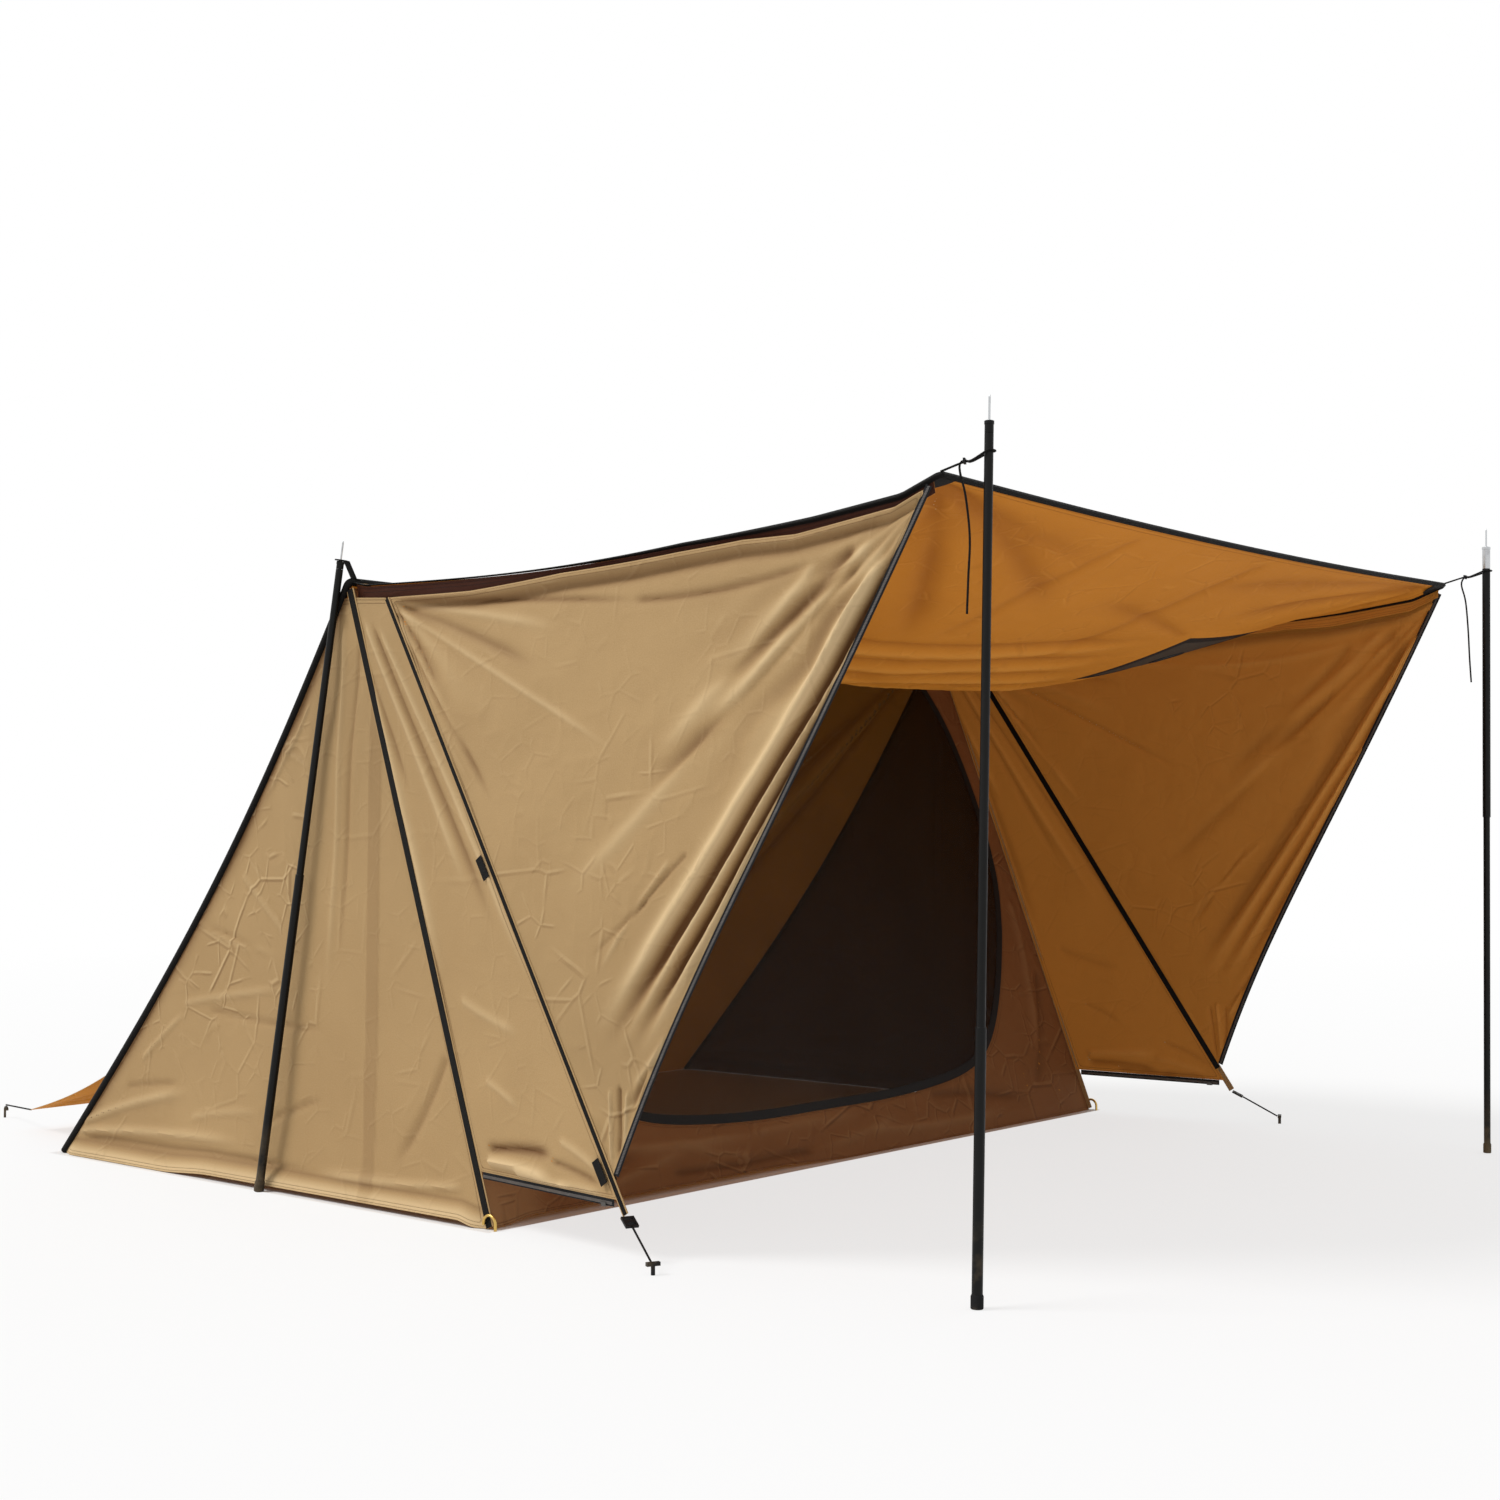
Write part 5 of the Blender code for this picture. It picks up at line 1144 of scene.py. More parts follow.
def faced(points, height, side, turned, *maps):
    """The grid mirrored to its side and moved outwards by its height, and its maps. On the side
    called turned all columns run the other way, because its first layer would face inwards."""
    points = mirrored(points, side)
    if side == turned:
        points, height, *maps = (grid[:, ::-1] for grid in (points, height, *maps))
    return (raised(points, height), *maps)


def cell_middles(grid):
    """The mean of a value at two opposite corners of each cell."""
    return (grid[1:, 1:] + grid[:-1, :-1]) / 2


(low_x, high_x), (low_y, high_y) = jack_rim()
x = lines([-SIDE_STOP, low_x, high_x, SIDE_STOP])
y = -lines([PIPING_GAP, low_y, high_y, FRONT_STOP])
grid_x, grid_y = np.meshgrid(x, y)
folds, height = roof_relief(grid_x, grid_y)
points = raised(roof(grid_x / AWNING_HALF, -grid_y / AWNING_REACH), height)
middle_x, middle_y = cell_middles(grid_x), -cell_middles(grid_y)
inside = (middle_x > low_x) & (middle_x < high_x) & (middle_y > low_y) & (middle_y < high_y)
roof_cloth = cloth("roof_cloth", points, KHAKI, GLOWING, folds, keep=~inside, fine=0.7)
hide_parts("awning")
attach(roof_cloth, "awning")
declared(roof_cloth)

# %% [markdown]
# ## Roof edging and stove jack
#
# A black tape binds the three free edges, and a short strip, dark with painted shade, hangs inside
# each side edge.
# The jack is a border of tape, a heat-proof patch with a round hole, and a flap that lies open.
# %% Roof edging and stove jack
TAPE_THICKNESS = 0.0018
EAVE_LEAN, EAVE_START = 0.008, 0.016
BORDER = 0.030
HOLE_RADIUS = 0.041
COLLAR_RADIUS, COLLAR_CORD = 0.043, 0.0024
FLAP_INSET, FLAP_LIFT = 0.012, 0.0052


def bound_edge(radius=0.010):
    """Middle line of the binding: along the left side, round two small curves, and back."""
    side, front = AWNING_HALF - BINDING_WIDTH / 2, AWNING_REACH - BINDING_WIDTH / 2
    turn = np.linspace(0, np.pi / 2, 7)
    sides = np.linspace(PIPING_GAP, front - radius, 120)
    across = np.linspace(-side + radius, side - radius, 160)[1:-1]
    bend_x = side - radius + radius * np.cos(turn)
    bend_y = front - radius + radius * np.sin(turn)
    x = [-side + 0 * sides, -bend_x[1:], across, bend_x[::-1][:-1], side + 0 * sides]
    y = [sides, bend_y[1:], front + 0 * across, bend_y[::-1][:-1], sides[::-1]]
    return np.concatenate(x), np.concatenate(y)


x, y = bound_edge()
path = roof(x / AWNING_HALF, y / AWNING_REACH)
swell = 0.30 + 0.70 * smooth((y - 0.45) / 1.0)
outlines = flat_bar(*BOUND, edge=0.8)[None] * np.stack([1 + 0 * swell, swell], -1)[:, None]
binding = swept("roof_binding", path, (0, 0, 1), outlines, WEBBING)
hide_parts("awning_binding")
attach(binding, "awning")

y = -lines([EAVE_START, AWNING_REACH - 2 * BINDING_WIDTH], 0.012)
down = np.linspace(0, 1, 7)
for word, side in SIDES:
    edge = roof(1 - BINDING_WIDTH / 2 / AWNING_HALF, -y / AWNING_REACH)
    edge = edge - (0, 0, BINDING_HEIGHT / 2 + 0.0010)
    drop = (edge[:, 2] - (wing_top(y)[:, 2] - 0.010))[:, None, None]
    grid_y, grid_down = np.meshgrid(y, down, indexing="ij")
    wave = 0.0030 * noise(grid_y, grid_down * 0.05, 0.06, 21)
    step = drop * (0, 0, -1) + np.array((-EAVE_LEAN, 0, 0))
    points = edge[:, None] + down[None, :, None] * step
    points[..., 0] -= np.maximum(wave, -0.002) * down[None] ** 0.7
    points, wave = faced(points, 0 * wave, side, 1, wave)
    # The strip's outer side takes the lining's painted glow, and its inner side painted shade.
    strip = cloth("eave_strip_" + word, points, PAINTED_GLOW_LINING, PAINTED_SHADE_EAVE, side * wave)
    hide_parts("eave_" + word)
    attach(strip, "awning")
    declared(strip)

turn, radius = np.linspace(0, np.pi / 2, 20), np.linspace(0.010, 0.050, 9)
x = AWNING_HALF - 0.006 - radius[:, None] * np.sin(turn)[None]
y = AWNING_REACH - 0.006 - radius[:, None] * np.cos(turn)[None]
for word, side in SIDES:
    points = mirrored(roof(x / AWNING_HALF, y / AWNING_REACH) - (0, 0, 0.0022), side)
    patch = cloth(
        "corner_patch_" + word, points[:, ::side], BLACK_CLOTH, BLACK_CLOTH, thickness=0.0016
    )
    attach(patch, "awning")


def ring_between(outer, inner, count):
    """Rows from the inner outline to the outer one, with a column for each of their points."""
    return mix(np.asarray(inner)[None], np.asarray(outer)[None], np.linspace(0, 1, count)[:, None])


def rectangle_outline(half_x, half_y, step=0.010):
    """Points round a rectangle, against the clock from its lower right corner."""
    up, over = lines([-half_y, half_y], step)[:-1], lines([-half_x, half_x], step)[:-1]
    x = np.concatenate([half_x + 0 * up, -over, -half_x + 0 * up, over])
    y = np.concatenate([up, half_y + 0 * over, -up, -half_y + 0 * over])
    return np.stack([x, y], -1)


def on_roof(flat):
    """Flat points round the jack's middle, put on the roof's curve."""
    x, y = JACK_CENTRE[0] + flat[..., 0], JACK_CENTRE[1] + flat[..., 1]
    return roof(x / AWNING_HALF, -y / AWNING_REACH)


half_x, half_y = JACK_SIZE[0] / 2, JACK_SIZE[1] / 2
outline = rectangle_outline(half_x - 0.0006, half_y - 0.0006)
share = (half_x - BORDER) / half_x, (half_y - BORDER) / half_y
flat = ring_between(outline, outline * share, 5)
border = cloth(
    "jack_border_tape", on_roof(flat), BLACK_CLOTH, BLACK_CLOTH, ring=True,
    thickness=TAPE_THICKNESS,
)
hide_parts("jack_border")
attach(border, "awning")
inner = outline * share * 0.997
turn = np.arctan2(inner[:, 1] / half_y, inner[:, 0] / half_x)
circle = HOLE_RADIUS * np.stack([np.cos(turn), np.sin(turn)], -1)
flat = ring_between(inner, circle, 22)
reach = np.linalg.norm(flat, axis=-1)
pucker = 0.0012 * noise(flat[..., 0], flat[..., 1], 0.05, 31) * smooth((reach - 0.045) / 0.03)
points = on_roof(flat) + pucker[..., None] * (0, 0, 1)
patch = cloth("jack_heat_patch", points, HEAT, HEAT, ring=True)
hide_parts("jack_patch")
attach(patch, "awning")
rim = np.linspace(0, 2 * np.pi, 49)[:-1]
rim = on_roof(COLLAR_RADIUS * np.stack([np.cos(rim), np.sin(rim)], -1))
outline = round_bar(COLLAR_CORD, 10)
collar = swept("jack_hole_cord", rim, (0, 0, 1), outline, BLACK_CLOTH, closed_path=True)
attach(collar, "awning")

x = np.linspace(-half_x + FLAP_INSET, half_x - FLAP_INSET, 34)
y = np.linspace(half_y + 0.002, 3 * half_y - FLAP_INSET, 31)
grid_x, grid_y = np.meshgrid(x, y)
lift = FLAP_LIFT + 0.0012 * noise(grid_x, grid_y, 0.08, 41)
points = on_roof(np.stack([grid_x, grid_y], -1)) + lift[..., None] * (0, 0, 1)
flap = cloth("jack_storm_flap", points[::-1], KHAKI, HEAT)
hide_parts("jack_flap")
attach(flap, "jack_flap")
declared(flap)

# %% [markdown]
# ## The wings
#
# A wing closes one side of the porch. It hangs from the roof's side edge and from a straight
# fold, and is pulled down to one stake, so its folds run from the front corner to the foot.
# The rows below were read from the photograph, as distance from the ridge and height. Under its
# upper edge the cloth rolls out and dips in again: ROLL and DIP are depths below the edge, each
# with its width.
# %% The wings
WING_FOLDS = [
    (-1.500, 1.300, -0.832, 0.372, 0.010, 0.019, -0.0190, 0.010),
    (-1.470, 1.296, -0.814, 0.397, 0.012, 0.021, 0.0170, 0.012),
    (-1.490, 1.260, -0.874, 0.375, 0.007, 0.014, 0.0150, 0.006),
    (-1.480, 1.230, -0.895, 0.366, 0.007, 0.013, -0.0130, 0.004),
    (-1.440, 1.160, -0.926, 0.361, 0.007, 0.012, 0.0110, 0.002),
    (-1.363, 1.046, -0.933, 0.409, 0.006, 0.010, -0.0070, 0.000),
    (-1.440, 1.310, -1.023, 0.968, 0.010, 0.022, 0.0090, 0.010),
    (-1.400, 1.305, -1.043, 1.042, 0.010, 0.020, -0.0080, 0.008),
    (-1.316, 1.283, -0.923, 0.932, 0.012, 0.022, 0.0070, 0.010),
    (-1.420, 1.282, -0.902, 0.857, 0.010, 0.020, -0.0100, 0.010),
    (-1.274, 1.177, -0.702, 0.664, 0.012, 0.018, 0.0050, 0.014),
    (-1.013, 0.424, -0.919, 0.312, 0.006, 0.009, 0.0070, 0.000),
    (-0.962, 0.363, -0.916, 0.279, 0.005, 0.008, -0.0060, 0.000),
    (-0.862, 0.314, -0.878, 0.161, 0.005, 0.005, 0.0060, 0.000),
    (-0.885, 0.323, -0.896, 0.163, 0.005, 0.005, -0.0060, 0.000),
    (-0.909, 0.314, -0.907, 0.155, 0.005, 0.005, 0.0060, 0.000),
    (-1.036, 0.760, -0.858, 0.594, 0.005, 0.006, -0.0045, -0.004),
    (-0.992, 0.745, -0.821, 0.526, 0.005, 0.005, 0.0045, -0.006),
    (-0.941, 0.669, -0.792, 0.551, 0.005, 0.005, -0.0030, -0.002),
    (-0.145, 1.289, -0.897, 1.239, 0.006, 0.007, -0.0060, 0.004),
    (-0.849, 1.243, -1.356, 1.290, 0.007, 0.008, -0.0060, -0.018),
    (-0.153, 1.273, -0.838, 0.946, 0.006, 0.006, 0.0050, 0.004),
    (-0.152, 1.282, -0.611, 1.122, 0.008, 0.014, -0.0050, 0.006),
    (-0.158, 1.284, -0.661, 1.200, 0.006, 0.012, 0.0050, 0.004),
    (-0.150, 1.250, -0.500, 0.844, 0.006, 0.008, -0.0070, 0.006),
    (-0.167, 1.255, -0.434, 0.921, 0.006, 0.007, 0.0060, 0.004),
    (-0.160, 1.264, -0.316, 1.090, 0.005, 0.006, -0.0060, 0.002),
    (-0.146, 1.278, -0.420, 0.780, 0.005, 0.010, 0.0050, 0.006),
]
ROLL, DIP = (0.010, 0.008), (0.026, 0.013)


def edge_gap(points, sizes):
    """0 on a panel's edges and 1 further in: distances in metres from its first and last column
    and its first and last row, each divided by its own size. An edge of size 0 is left out."""
    edges = points[:, :1], points[:, -1:], points[:1], points[-1:]
    calm = 1.0
    for edge, size in zip(edges, sizes):
        if size:
            calm = calm * smooth(np.linalg.norm(points - edge, axis=-1) / size)
    return calm


def edge_calm(rows, columns, size):
    """0 on the panel's four edges and 1 further in, for shares of its height and width."""
    gap = np.minimum(np.minimum(rows, 1 - rows)[:, None], np.minimum(columns, 1 - columns)[None])
    return smooth(gap / size)


def bends_with_roof(piece):
    """The piece's place is baked into its mesh; it is not attached to any body."""
    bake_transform(piece)


def wing_surface():
    """Straight lines from the fold to the zipped edge, lifted at the top to meet the roof."""
    rows, columns = np.linspace(0, 1, 204), np.linspace(0, 1, 212) ** 0.88
    back, front = trimmed(wing_back(rows), wing_front(rows), SEAM, ZIP_SEAT)
    top = wing_top(mix([back[0]], [front[0]], columns)[:, 1])
    points = mix(back[:, None], front[:, None], columns[None])
    return points + (top - points[0])[None] * ((1 - rows) ** 2)[:, None, None], rows, columns


points, rows, columns = wing_surface()
for word, side in SIDES:
    y, z = points[..., 1], points[..., 2]
    seed = 50 if side < 0 else 70
    below = np.linalg.norm(points - points[:1], axis=-1)
    folds = ridges(y, z, WING_FOLDS)
    folds += fan(y, z, (-1.545, 1.375), (0.62, -0.78), 0.42, 34, 0.42, 0.0085, seed + 6)
    folds += fan(y, z, (-0.110, 1.315), (-0.62, -0.78), 0.50, 24, 0.26, 0.0050, seed + 7)
    roll = 0.008 * bell(below, *ROLL) - 0.010 * bell(below, *DIP)
    height = folds + 0.0055 * noise(y + z * 0.5, z, 0.21, seed)
    height = height + 0.0009 * noise(y, z, 0.05, seed + 1)
    height += 0.0010 * creases(y, z, 0.06, seed + 2) + 0.0006 * creases(y, z, 0.035, seed + 3)
    height *= edge_gap(points, (0.016, 0.012, 0.022, 0.030))
    height += roll * edge_gap(points, (0.060, 0.014, 0, 0))
    fine = 0.35 + 0.85 * smooth(noise(y, z, 0.3, seed + 5) * 2)
    # Painted shade along the dip under the wing's upper edge.
    band = 0.55 * bell(below, *DIP) * edge_gap(points, (0.10, 0.12, 0, 0))
    made, folds, fine, band = faced(points, height, side, 1, folds, fine, band)
    wing = cloth("wing_cloth_" + word, made, KHAKI, PAINTED_GLOW_LINING, folds, fine=fine, band=band)
    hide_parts("wing_" + word)
    bends_with_roof(wing)
    declared(wing)

# %% [markdown]
# ## The gores
#
# The narrow panel between the room and the wing is slack, so a few long folds run down it.
# %% The gores
APEX_DROP = 0.036
GORE_FOLDS = [
    (-0.045, 1.210, -0.340, 0.480, 0.008, 0.016, 0.0070, 0.010),
    (-0.053, 1.260, -0.433, 0.657, 0.006, 0.012, 0.0060, 0.006),
    (-0.080, 1.250, -0.533, 0.580, 0.005, 0.012, -0.0060, -0.006),
    (-0.107, 1.240, -0.661, 0.468, 0.005, 0.012, 0.0060, 0.004),
    (-0.031, 1.240, -0.232, 0.862, 0.005, 0.008, -0.0050, 0.000),
    (-0.400, 0.455, -0.600, 0.400, 0.008, 0.010, 0.0040, -0.005),
    (-0.487, 0.298, -0.598, 0.249, 0.006, 0.007, 0.0040, 0.004),
    (-0.493, 0.138, -0.711, 0.126, 0.008, 0.010, 0.0130, 0.004),
    (-0.493, 0.160, -0.711, 0.172, 0.008, 0.012, -0.0100, 0.004),
    (-0.585, 0.123, -0.780, 0.112, 0.006, 0.008, 0.0090, 0.002),
    (-0.723, 0.118, -0.860, 0.112, 0.006, 0.008, 0.0070, 0.004),
    (-0.724, 0.203, -0.860, 0.147, 0.006, 0.009, 0.0050, 0.006),
    (-0.700, 0.160, -0.850, 0.128, 0.006, 0.008, -0.0060, 0.004),
]


def gore_surface():
    """Straight lines from the front seam to the wing's fold, its hem raised by the zip."""
    rows, columns = np.linspace(0, 1, 180), np.linspace(0, 1, 58)
    top, bottom = APEX_DROP / RIDGE_HEIGHT, 1 - GORE_FOOT_HEIGHT / RIDGE_HEIGHT
    back = front_seam(top + (bottom - top) * rows)
    front = wing_fold(rows * (1 - 0.018 / RIDGE_HEIGHT))
    back, front = trimmed(back, front, SEAM, SEAM)
    points = mix(back[:, None], front[:, None], columns[None])
    up = unit(points[-40] - points[-1]) * ZIP_SEAT
    return points + up * smooth((rows[:, None, None] - 0.8) / 0.2), rows, columns


gore_points, rows, columns = gore_surface()
for word, side in SIDES:
    y, z = gore_points[..., 1], gore_points[..., 2]
    seed = 90 if side < 0 else 95
    folds = ridges(y, z, GORE_FOLDS)
    height = folds + 0.0035 * noise(y, z, 0.12, seed)
    height += 0.0007 * creases(y, z, 0.05, seed + 1)
    height *= edge_gap(gore_points, (0.016, 0.012, 0.02, 0.012))
    made, folds = faced(gore_points, height, side, 1, folds)
    gore = cloth("gore_cloth_" + word, made, KHAKI, PAINTED_GLOW_LINING, folds)
    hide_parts("gore_" + word)
    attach(gore, "tent")
    declared(gore)

# %% [markdown]
# ## The end walls and the rear wall
#
# The triangular end walls are pulled down at their corners, and the rear wall runs from the
# ridge to the ground as roof and wall in one. Small random creases show how they were packed.
# An end wall is narrowly pleated near its top, has one doubled strip, and flares at the ground.
# %% End walls and rear wall
END_FOLDS = [
    (0.720, 0.690, 0.180, 0.520, 0.006, 0.008, 0.0024, -0.040),
    (0.560, 0.575, 0.230, 0.500, 0.006, 0.007, -0.0024, 0.020),
    (0.350, 0.700, 0.180, 0.560, 0.006, 0.006, 0.0026, 0.000),
    (0.560, 0.392, 0.180, 0.445, 0.006, 0.007, 0.0030, 0.004),
    (0.470, 0.386, 0.020, 0.365, 0.006, 0.007, -0.0026, -0.008),
    (0.720, 0.250, 0.540, 0.375, 0.006, 0.007, 0.0028, 0.004),
    (0.120, 1.080, 0.270, 0.870, 0.006, 0.007, 0.0026, 0.008),
    (0.240, 0.990, 0.100, 0.930, 0.005, 0.006, 0.0024, 0.004),
    (0.012, 1.260, 0.040, 0.420, 0.007, 0.010, 0.0028, 0.012),
    (-0.040, 1.230, -0.010, 0.500, 0.006, 0.010, -0.0024, -0.006),
    (0.780, 0.182, 0.560, 0.205, 0.006, 0.007, -0.0026, 0.004),
    (0.520, 0.132, 0.260, 0.165, 0.006, 0.007, 0.0026, 0.006),
    (0.250, 0.140, 0.030, 0.215, 0.006, 0.007, -0.0026, 0.006),
    (0.960, 0.080, 0.520, 0.190, 0.008, 0.012, 0.0050, 0.012),
    (0.980, 0.060, 0.300, 0.090, 0.008, 0.012, 0.0050, 0.010),
    (-0.420, 0.070, 0.060, 0.050, 0.008, 0.012, 0.0045, 0.008),
    (0.960, 0.050, 0.020, 0.046, 0.007, 0.009, -0.0045, 0.004),
    (-0.360, 0.340, -0.200, 0.090, 0.008, 0.012, -0.0035, 0.012),
]
REAR_EDGE = PIPING_GAP * math.hypot(RIDGE_HEIGHT, REAR_BASE + math.pi * REAR_SAG) / RIDGE_HEIGHT
HEM = 0.001


def end_surface():
    """Level lines from the front seam to the rear seam."""
    down = lines([APEX_DROP / RIDGE_HEIGHT, 1 - HEM / RIDGE_HEIGHT], 0.0058)
    columns = np.linspace(0, 1, 196)
    front, rear = trimmed(front_seam(down), rear_seam(down), SEAM, REAR_EDGE)
    return mix(front[:, None], rear[:, None], columns[None]), down, columns


end_points, down, columns = end_surface()
for word, side in SIDES:
    y, z = end_points[..., 1], end_points[..., 2]
    seed = 110 if side < 0 else 120
    folds = ridges(y, z, END_FOLDS)
    height = folds * 1.8 + 0.0040 * noise(y, z, 0.19, seed)
    height += 0.0009 * creases(y, z, 0.075, seed + 2) * smooth((y - 0.02) / 0.2)
    pleats = 0.0016 * np.sin(y / 0.013 + 3 * noise(y, z * 0.2, 0.05, seed + 4))
    height += pleats * smooth((z - 0.6) / 0.5)
    calm = edge_gap(end_points, (0.020, 0.020, 0.03, 0.02))
    fine = 0.35 + 1.15 * smooth((y - 0.03) / 0.15) * smooth((z - 0.2) / 0.2)
    doubled = smooth((0.022 - np.abs(y + 0.106 + (1.03 - z) * 0.016)) / 0.004)
    height = height * calm + 0.0012 * doubled * calm
    flare = 0.014 * smooth((0.045 - z) / 0.045) * edge_gap(end_points, (0.05, 0.05, 0, 0))
    seam_y = np.interp(z, rear_seam(down)[::-1, 2], rear_seam(down)[::-1, 1])
    # Painted shade along the rear seam and on the doubled strip, a painted highlight along the
    # hem, and painted shade in the fold just above it.
    shade = 0.95 * bell(y, seam_y, 0.030) * smooth(z / 0.15) + 0.20 * doubled
    light = 0.8 * bell(z, 0.010, 0.013) - 0.4 * bell(z, 0.038, 0.006)
    off_ground = smooth((0.62 - y) / 0.2) * smooth((y + 0.47) / 0.06) * smooth((0.12 - z) / 0.1)
    lifted = end_points + (0, 0, 0.005 * (1 - side)) * off_ground[..., None]
    made, folds, fine, band = faced(
        lifted, height + flare, side, -1, folds, fine, shade - light
    )
    wall = cloth("end_wall_cloth_" + word, made, KHAKI, DIM, folds, band=band, fine=fine)
    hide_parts("end_wall_" + word)
    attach(wall, "tent")
    declared(wall)

REAR_FOLDS = [
    (0.0, 0.9, -0.5, 0.2, 0.020, 0.040, 0.0060, 0.030),
    (1.06, 0.02, 0.60, 0.303, 0.010, 0.026, 0.0140, 0.010),
    (1.06, 0.02, 0.50, 0.350, 0.010, 0.022, -0.0120, 0.010),
    (1.06, 0.02, 0.45, 0.397, 0.010, 0.026, 0.0140, 0.006),
    (1.06, 0.02, 0.42, 0.450, 0.010, 0.022, -0.0120, 0.004),
    (1.06, 0.03, 0.42, 0.506, 0.010, 0.026, 0.0140, 0.004),
    (1.06, 0.03, 0.45, 0.656, 0.010, 0.028, -0.0130, -0.010),
    (1.06, 0.04, 0.60, 0.800, 0.010, 0.028, 0.0120, -0.014),
    (-1.05, 0.02, -0.35, 0.70, 0.012, 0.030, 0.0090, -0.030),
    (-1.05, 0.02, -0.60, 0.95, 0.012, 0.030, 0.0080, 0.020),
    (-1.05, 0.02, -0.50, 0.40, 0.010, 0.026, -0.0080, 0.010),
    (-0.9, 0.22, 0.2, 0.30, 0.020, 0.030, 0.0050, 0.030),
    (-0.3, 0.45, 0.9, 0.38, 0.020, 0.030, 0.0050, -0.020),
]
down = lines([PIPING_GAP / RIDGE_HEIGHT, 1 - HEM / RIDGE_HEIGHT], 0.0072)
seam = rear_seam(down)
columns = np.linspace(-1, 1, 206)
points = np.repeat(seam[:, None], len(columns), axis=1)
points[..., 0] = (seam[:, :1] - PIPING_GAP) * columns[None]
x, y = points[..., 0], points[..., 1]
folds = ridges(x, y, REAR_FOLDS)
height = folds + 0.0060 * noise(x, y, 0.24, 130)
height += 0.0017 * creases(x, y, 0.09, 131) + 0.0010 * creases(x, y, 0.045, 132)
calm = edge_calm(np.linspace(0, 1, len(down)), (columns + 1) / 2, 0.03)
apron_line = 1 - APRON_LINE / RIDGE_HEIGHT
calm = calm * (1 - 0.9 * bell(down[:, None], apron_line, 0.02))
points, height, folds = points[:, ::-1], (height * calm)[:, ::-1], folds[:, ::-1]
rear = cloth("rear_wall_cloth", raised(points, height), KHAKI, GLOWING, folds, fine=0.7)
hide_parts("rear_wall")
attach(rear, "tent")
declared(rear)

# %% [markdown]
# ## The front wall and its door
#
# The wall leans back to the ridge and has one wide rounded doorway, so it is drawn in rays from
# a point in the doorway: each ray starts on the door's edge and ends on the wall's own edge.
# The door is a net with a black tape round it.
# %% Front wall and door
DOOR_SIDE = np.array((
    (0.036, 0.088), (0.180, 0.088), (0.319, 0.092), (0.460, 0.102), (0.555, 0.116), (0.634, 0.141),
    (0.703, 0.185), (0.770, 0.250), (0.830, 0.325), (0.880, 0.403), (0.920, 0.500),
    (0.935, 0.640), (0.915, 0.790), (0.870, 0.890), (0.815, 0.944), (0.740, 0.966),
)) * (BASE_HALF, WALL_SLOPE)
DOOR_MIDDLE = 0.55 * WALL_SLOPE
DOOR_TAPE = 0.022
WALL_LOW, WALL_HIGH = HEM / RIDGE_HEIGHT * WALL_SLOPE, WALL_SLOPE - 0.015
WALL_GROWTH = 0.0015
RAY_STEPS = 34


def door_loop():
    """The doorway's outline, against the clock, as x and slope: its right side and its mirror."""
    right = route(np.column_stack([DOOR_SIDE, np.zeros(len(DOOR_SIDE))]), 0.008)[:, :2]
    left = right[::-1] * (-1, 1)
    top = lines([right[-1, 0], left[0, 0]], 0.012)[1:-1]
    bottom = lines([left[-1, 0], right[0, 0]], 0.012)[1:-1]
    top = np.column_stack([top, np.full(len(top), right[-1, 1])])
    bottom = np.column_stack([bottom, np.full(len(bottom), right[0, 1])])
    return np.vstack([right, top, left, bottom])


def grown(loop, size):
    """The outline moved outwards by a length, along the mean of its two edges' directions."""
    along = unit(np.roll(loop, -1, axis=0) - np.roll(loop, 1, axis=0))
    return loop + np.stack([along[:, 1], -along[:, 0]], -1) * size


def wall_rim(loop):
    """Where rays from the doorway's middle through the loop's points meet the wall's edge."""
    ray = loop - (0, DOOR_MIDDLE)
    lean = (RIDGE_HALF - BASE_HALF) / WALL_SLOPE
    side_x = BASE_HALF + WALL_GROWTH + lean * DOOR_MIDDLE
    stops = np.stack([
        side_x / np.maximum(np.abs(ray[:, 0]) - lean * ray[:, 1], 1e-6),
        (WALL_HIGH - DOOR_MIDDLE) / np.maximum(ray[:, 1], 1e-6),
        (DOOR_MIDDLE - WALL_LOW) / np.maximum(-ray[:, 1], 1e-6),
    ])
    return ray * stops.min(0)[:, None] + (0, DOOR_MIDDLE)


def with_corners(loop):
    """The loop with points added where rays meet the wall's four corners."""
    turn = np.unwrap(np.arctan2(loop[:, 1] - DOOR_MIDDLE, loop[:, 0]))
    radius = np.hypot(loop[:, 0], loop[:, 1] - DOOR_MIDDLE)
    corner_turns = []
    for slope in (WALL_LOW, WALL_HIGH):
        half = front_seam(1 - slope / WALL_SLOPE)[0] + WALL_GROWTH
        for sign in (1, -1):
            at = math.atan2(slope - DOOR_MIDDLE, sign * half)
            corner_turns.append(turn[0] + (at - turn[0]) % (2 * np.pi))
    wanted = np.sort(np.concatenate([turn, corner_turns]))
    wanted = wanted[np.append(np.diff(wanted) > 1e-4, True)]
    full = np.append(turn, turn[0] + 2 * np.pi)
    size = np.interp(wanted, full, np.append(radius, radius[0]))
    return np.stack([size * np.cos(wanted), DOOR_MIDDLE + size * np.sin(wanted)], -1)


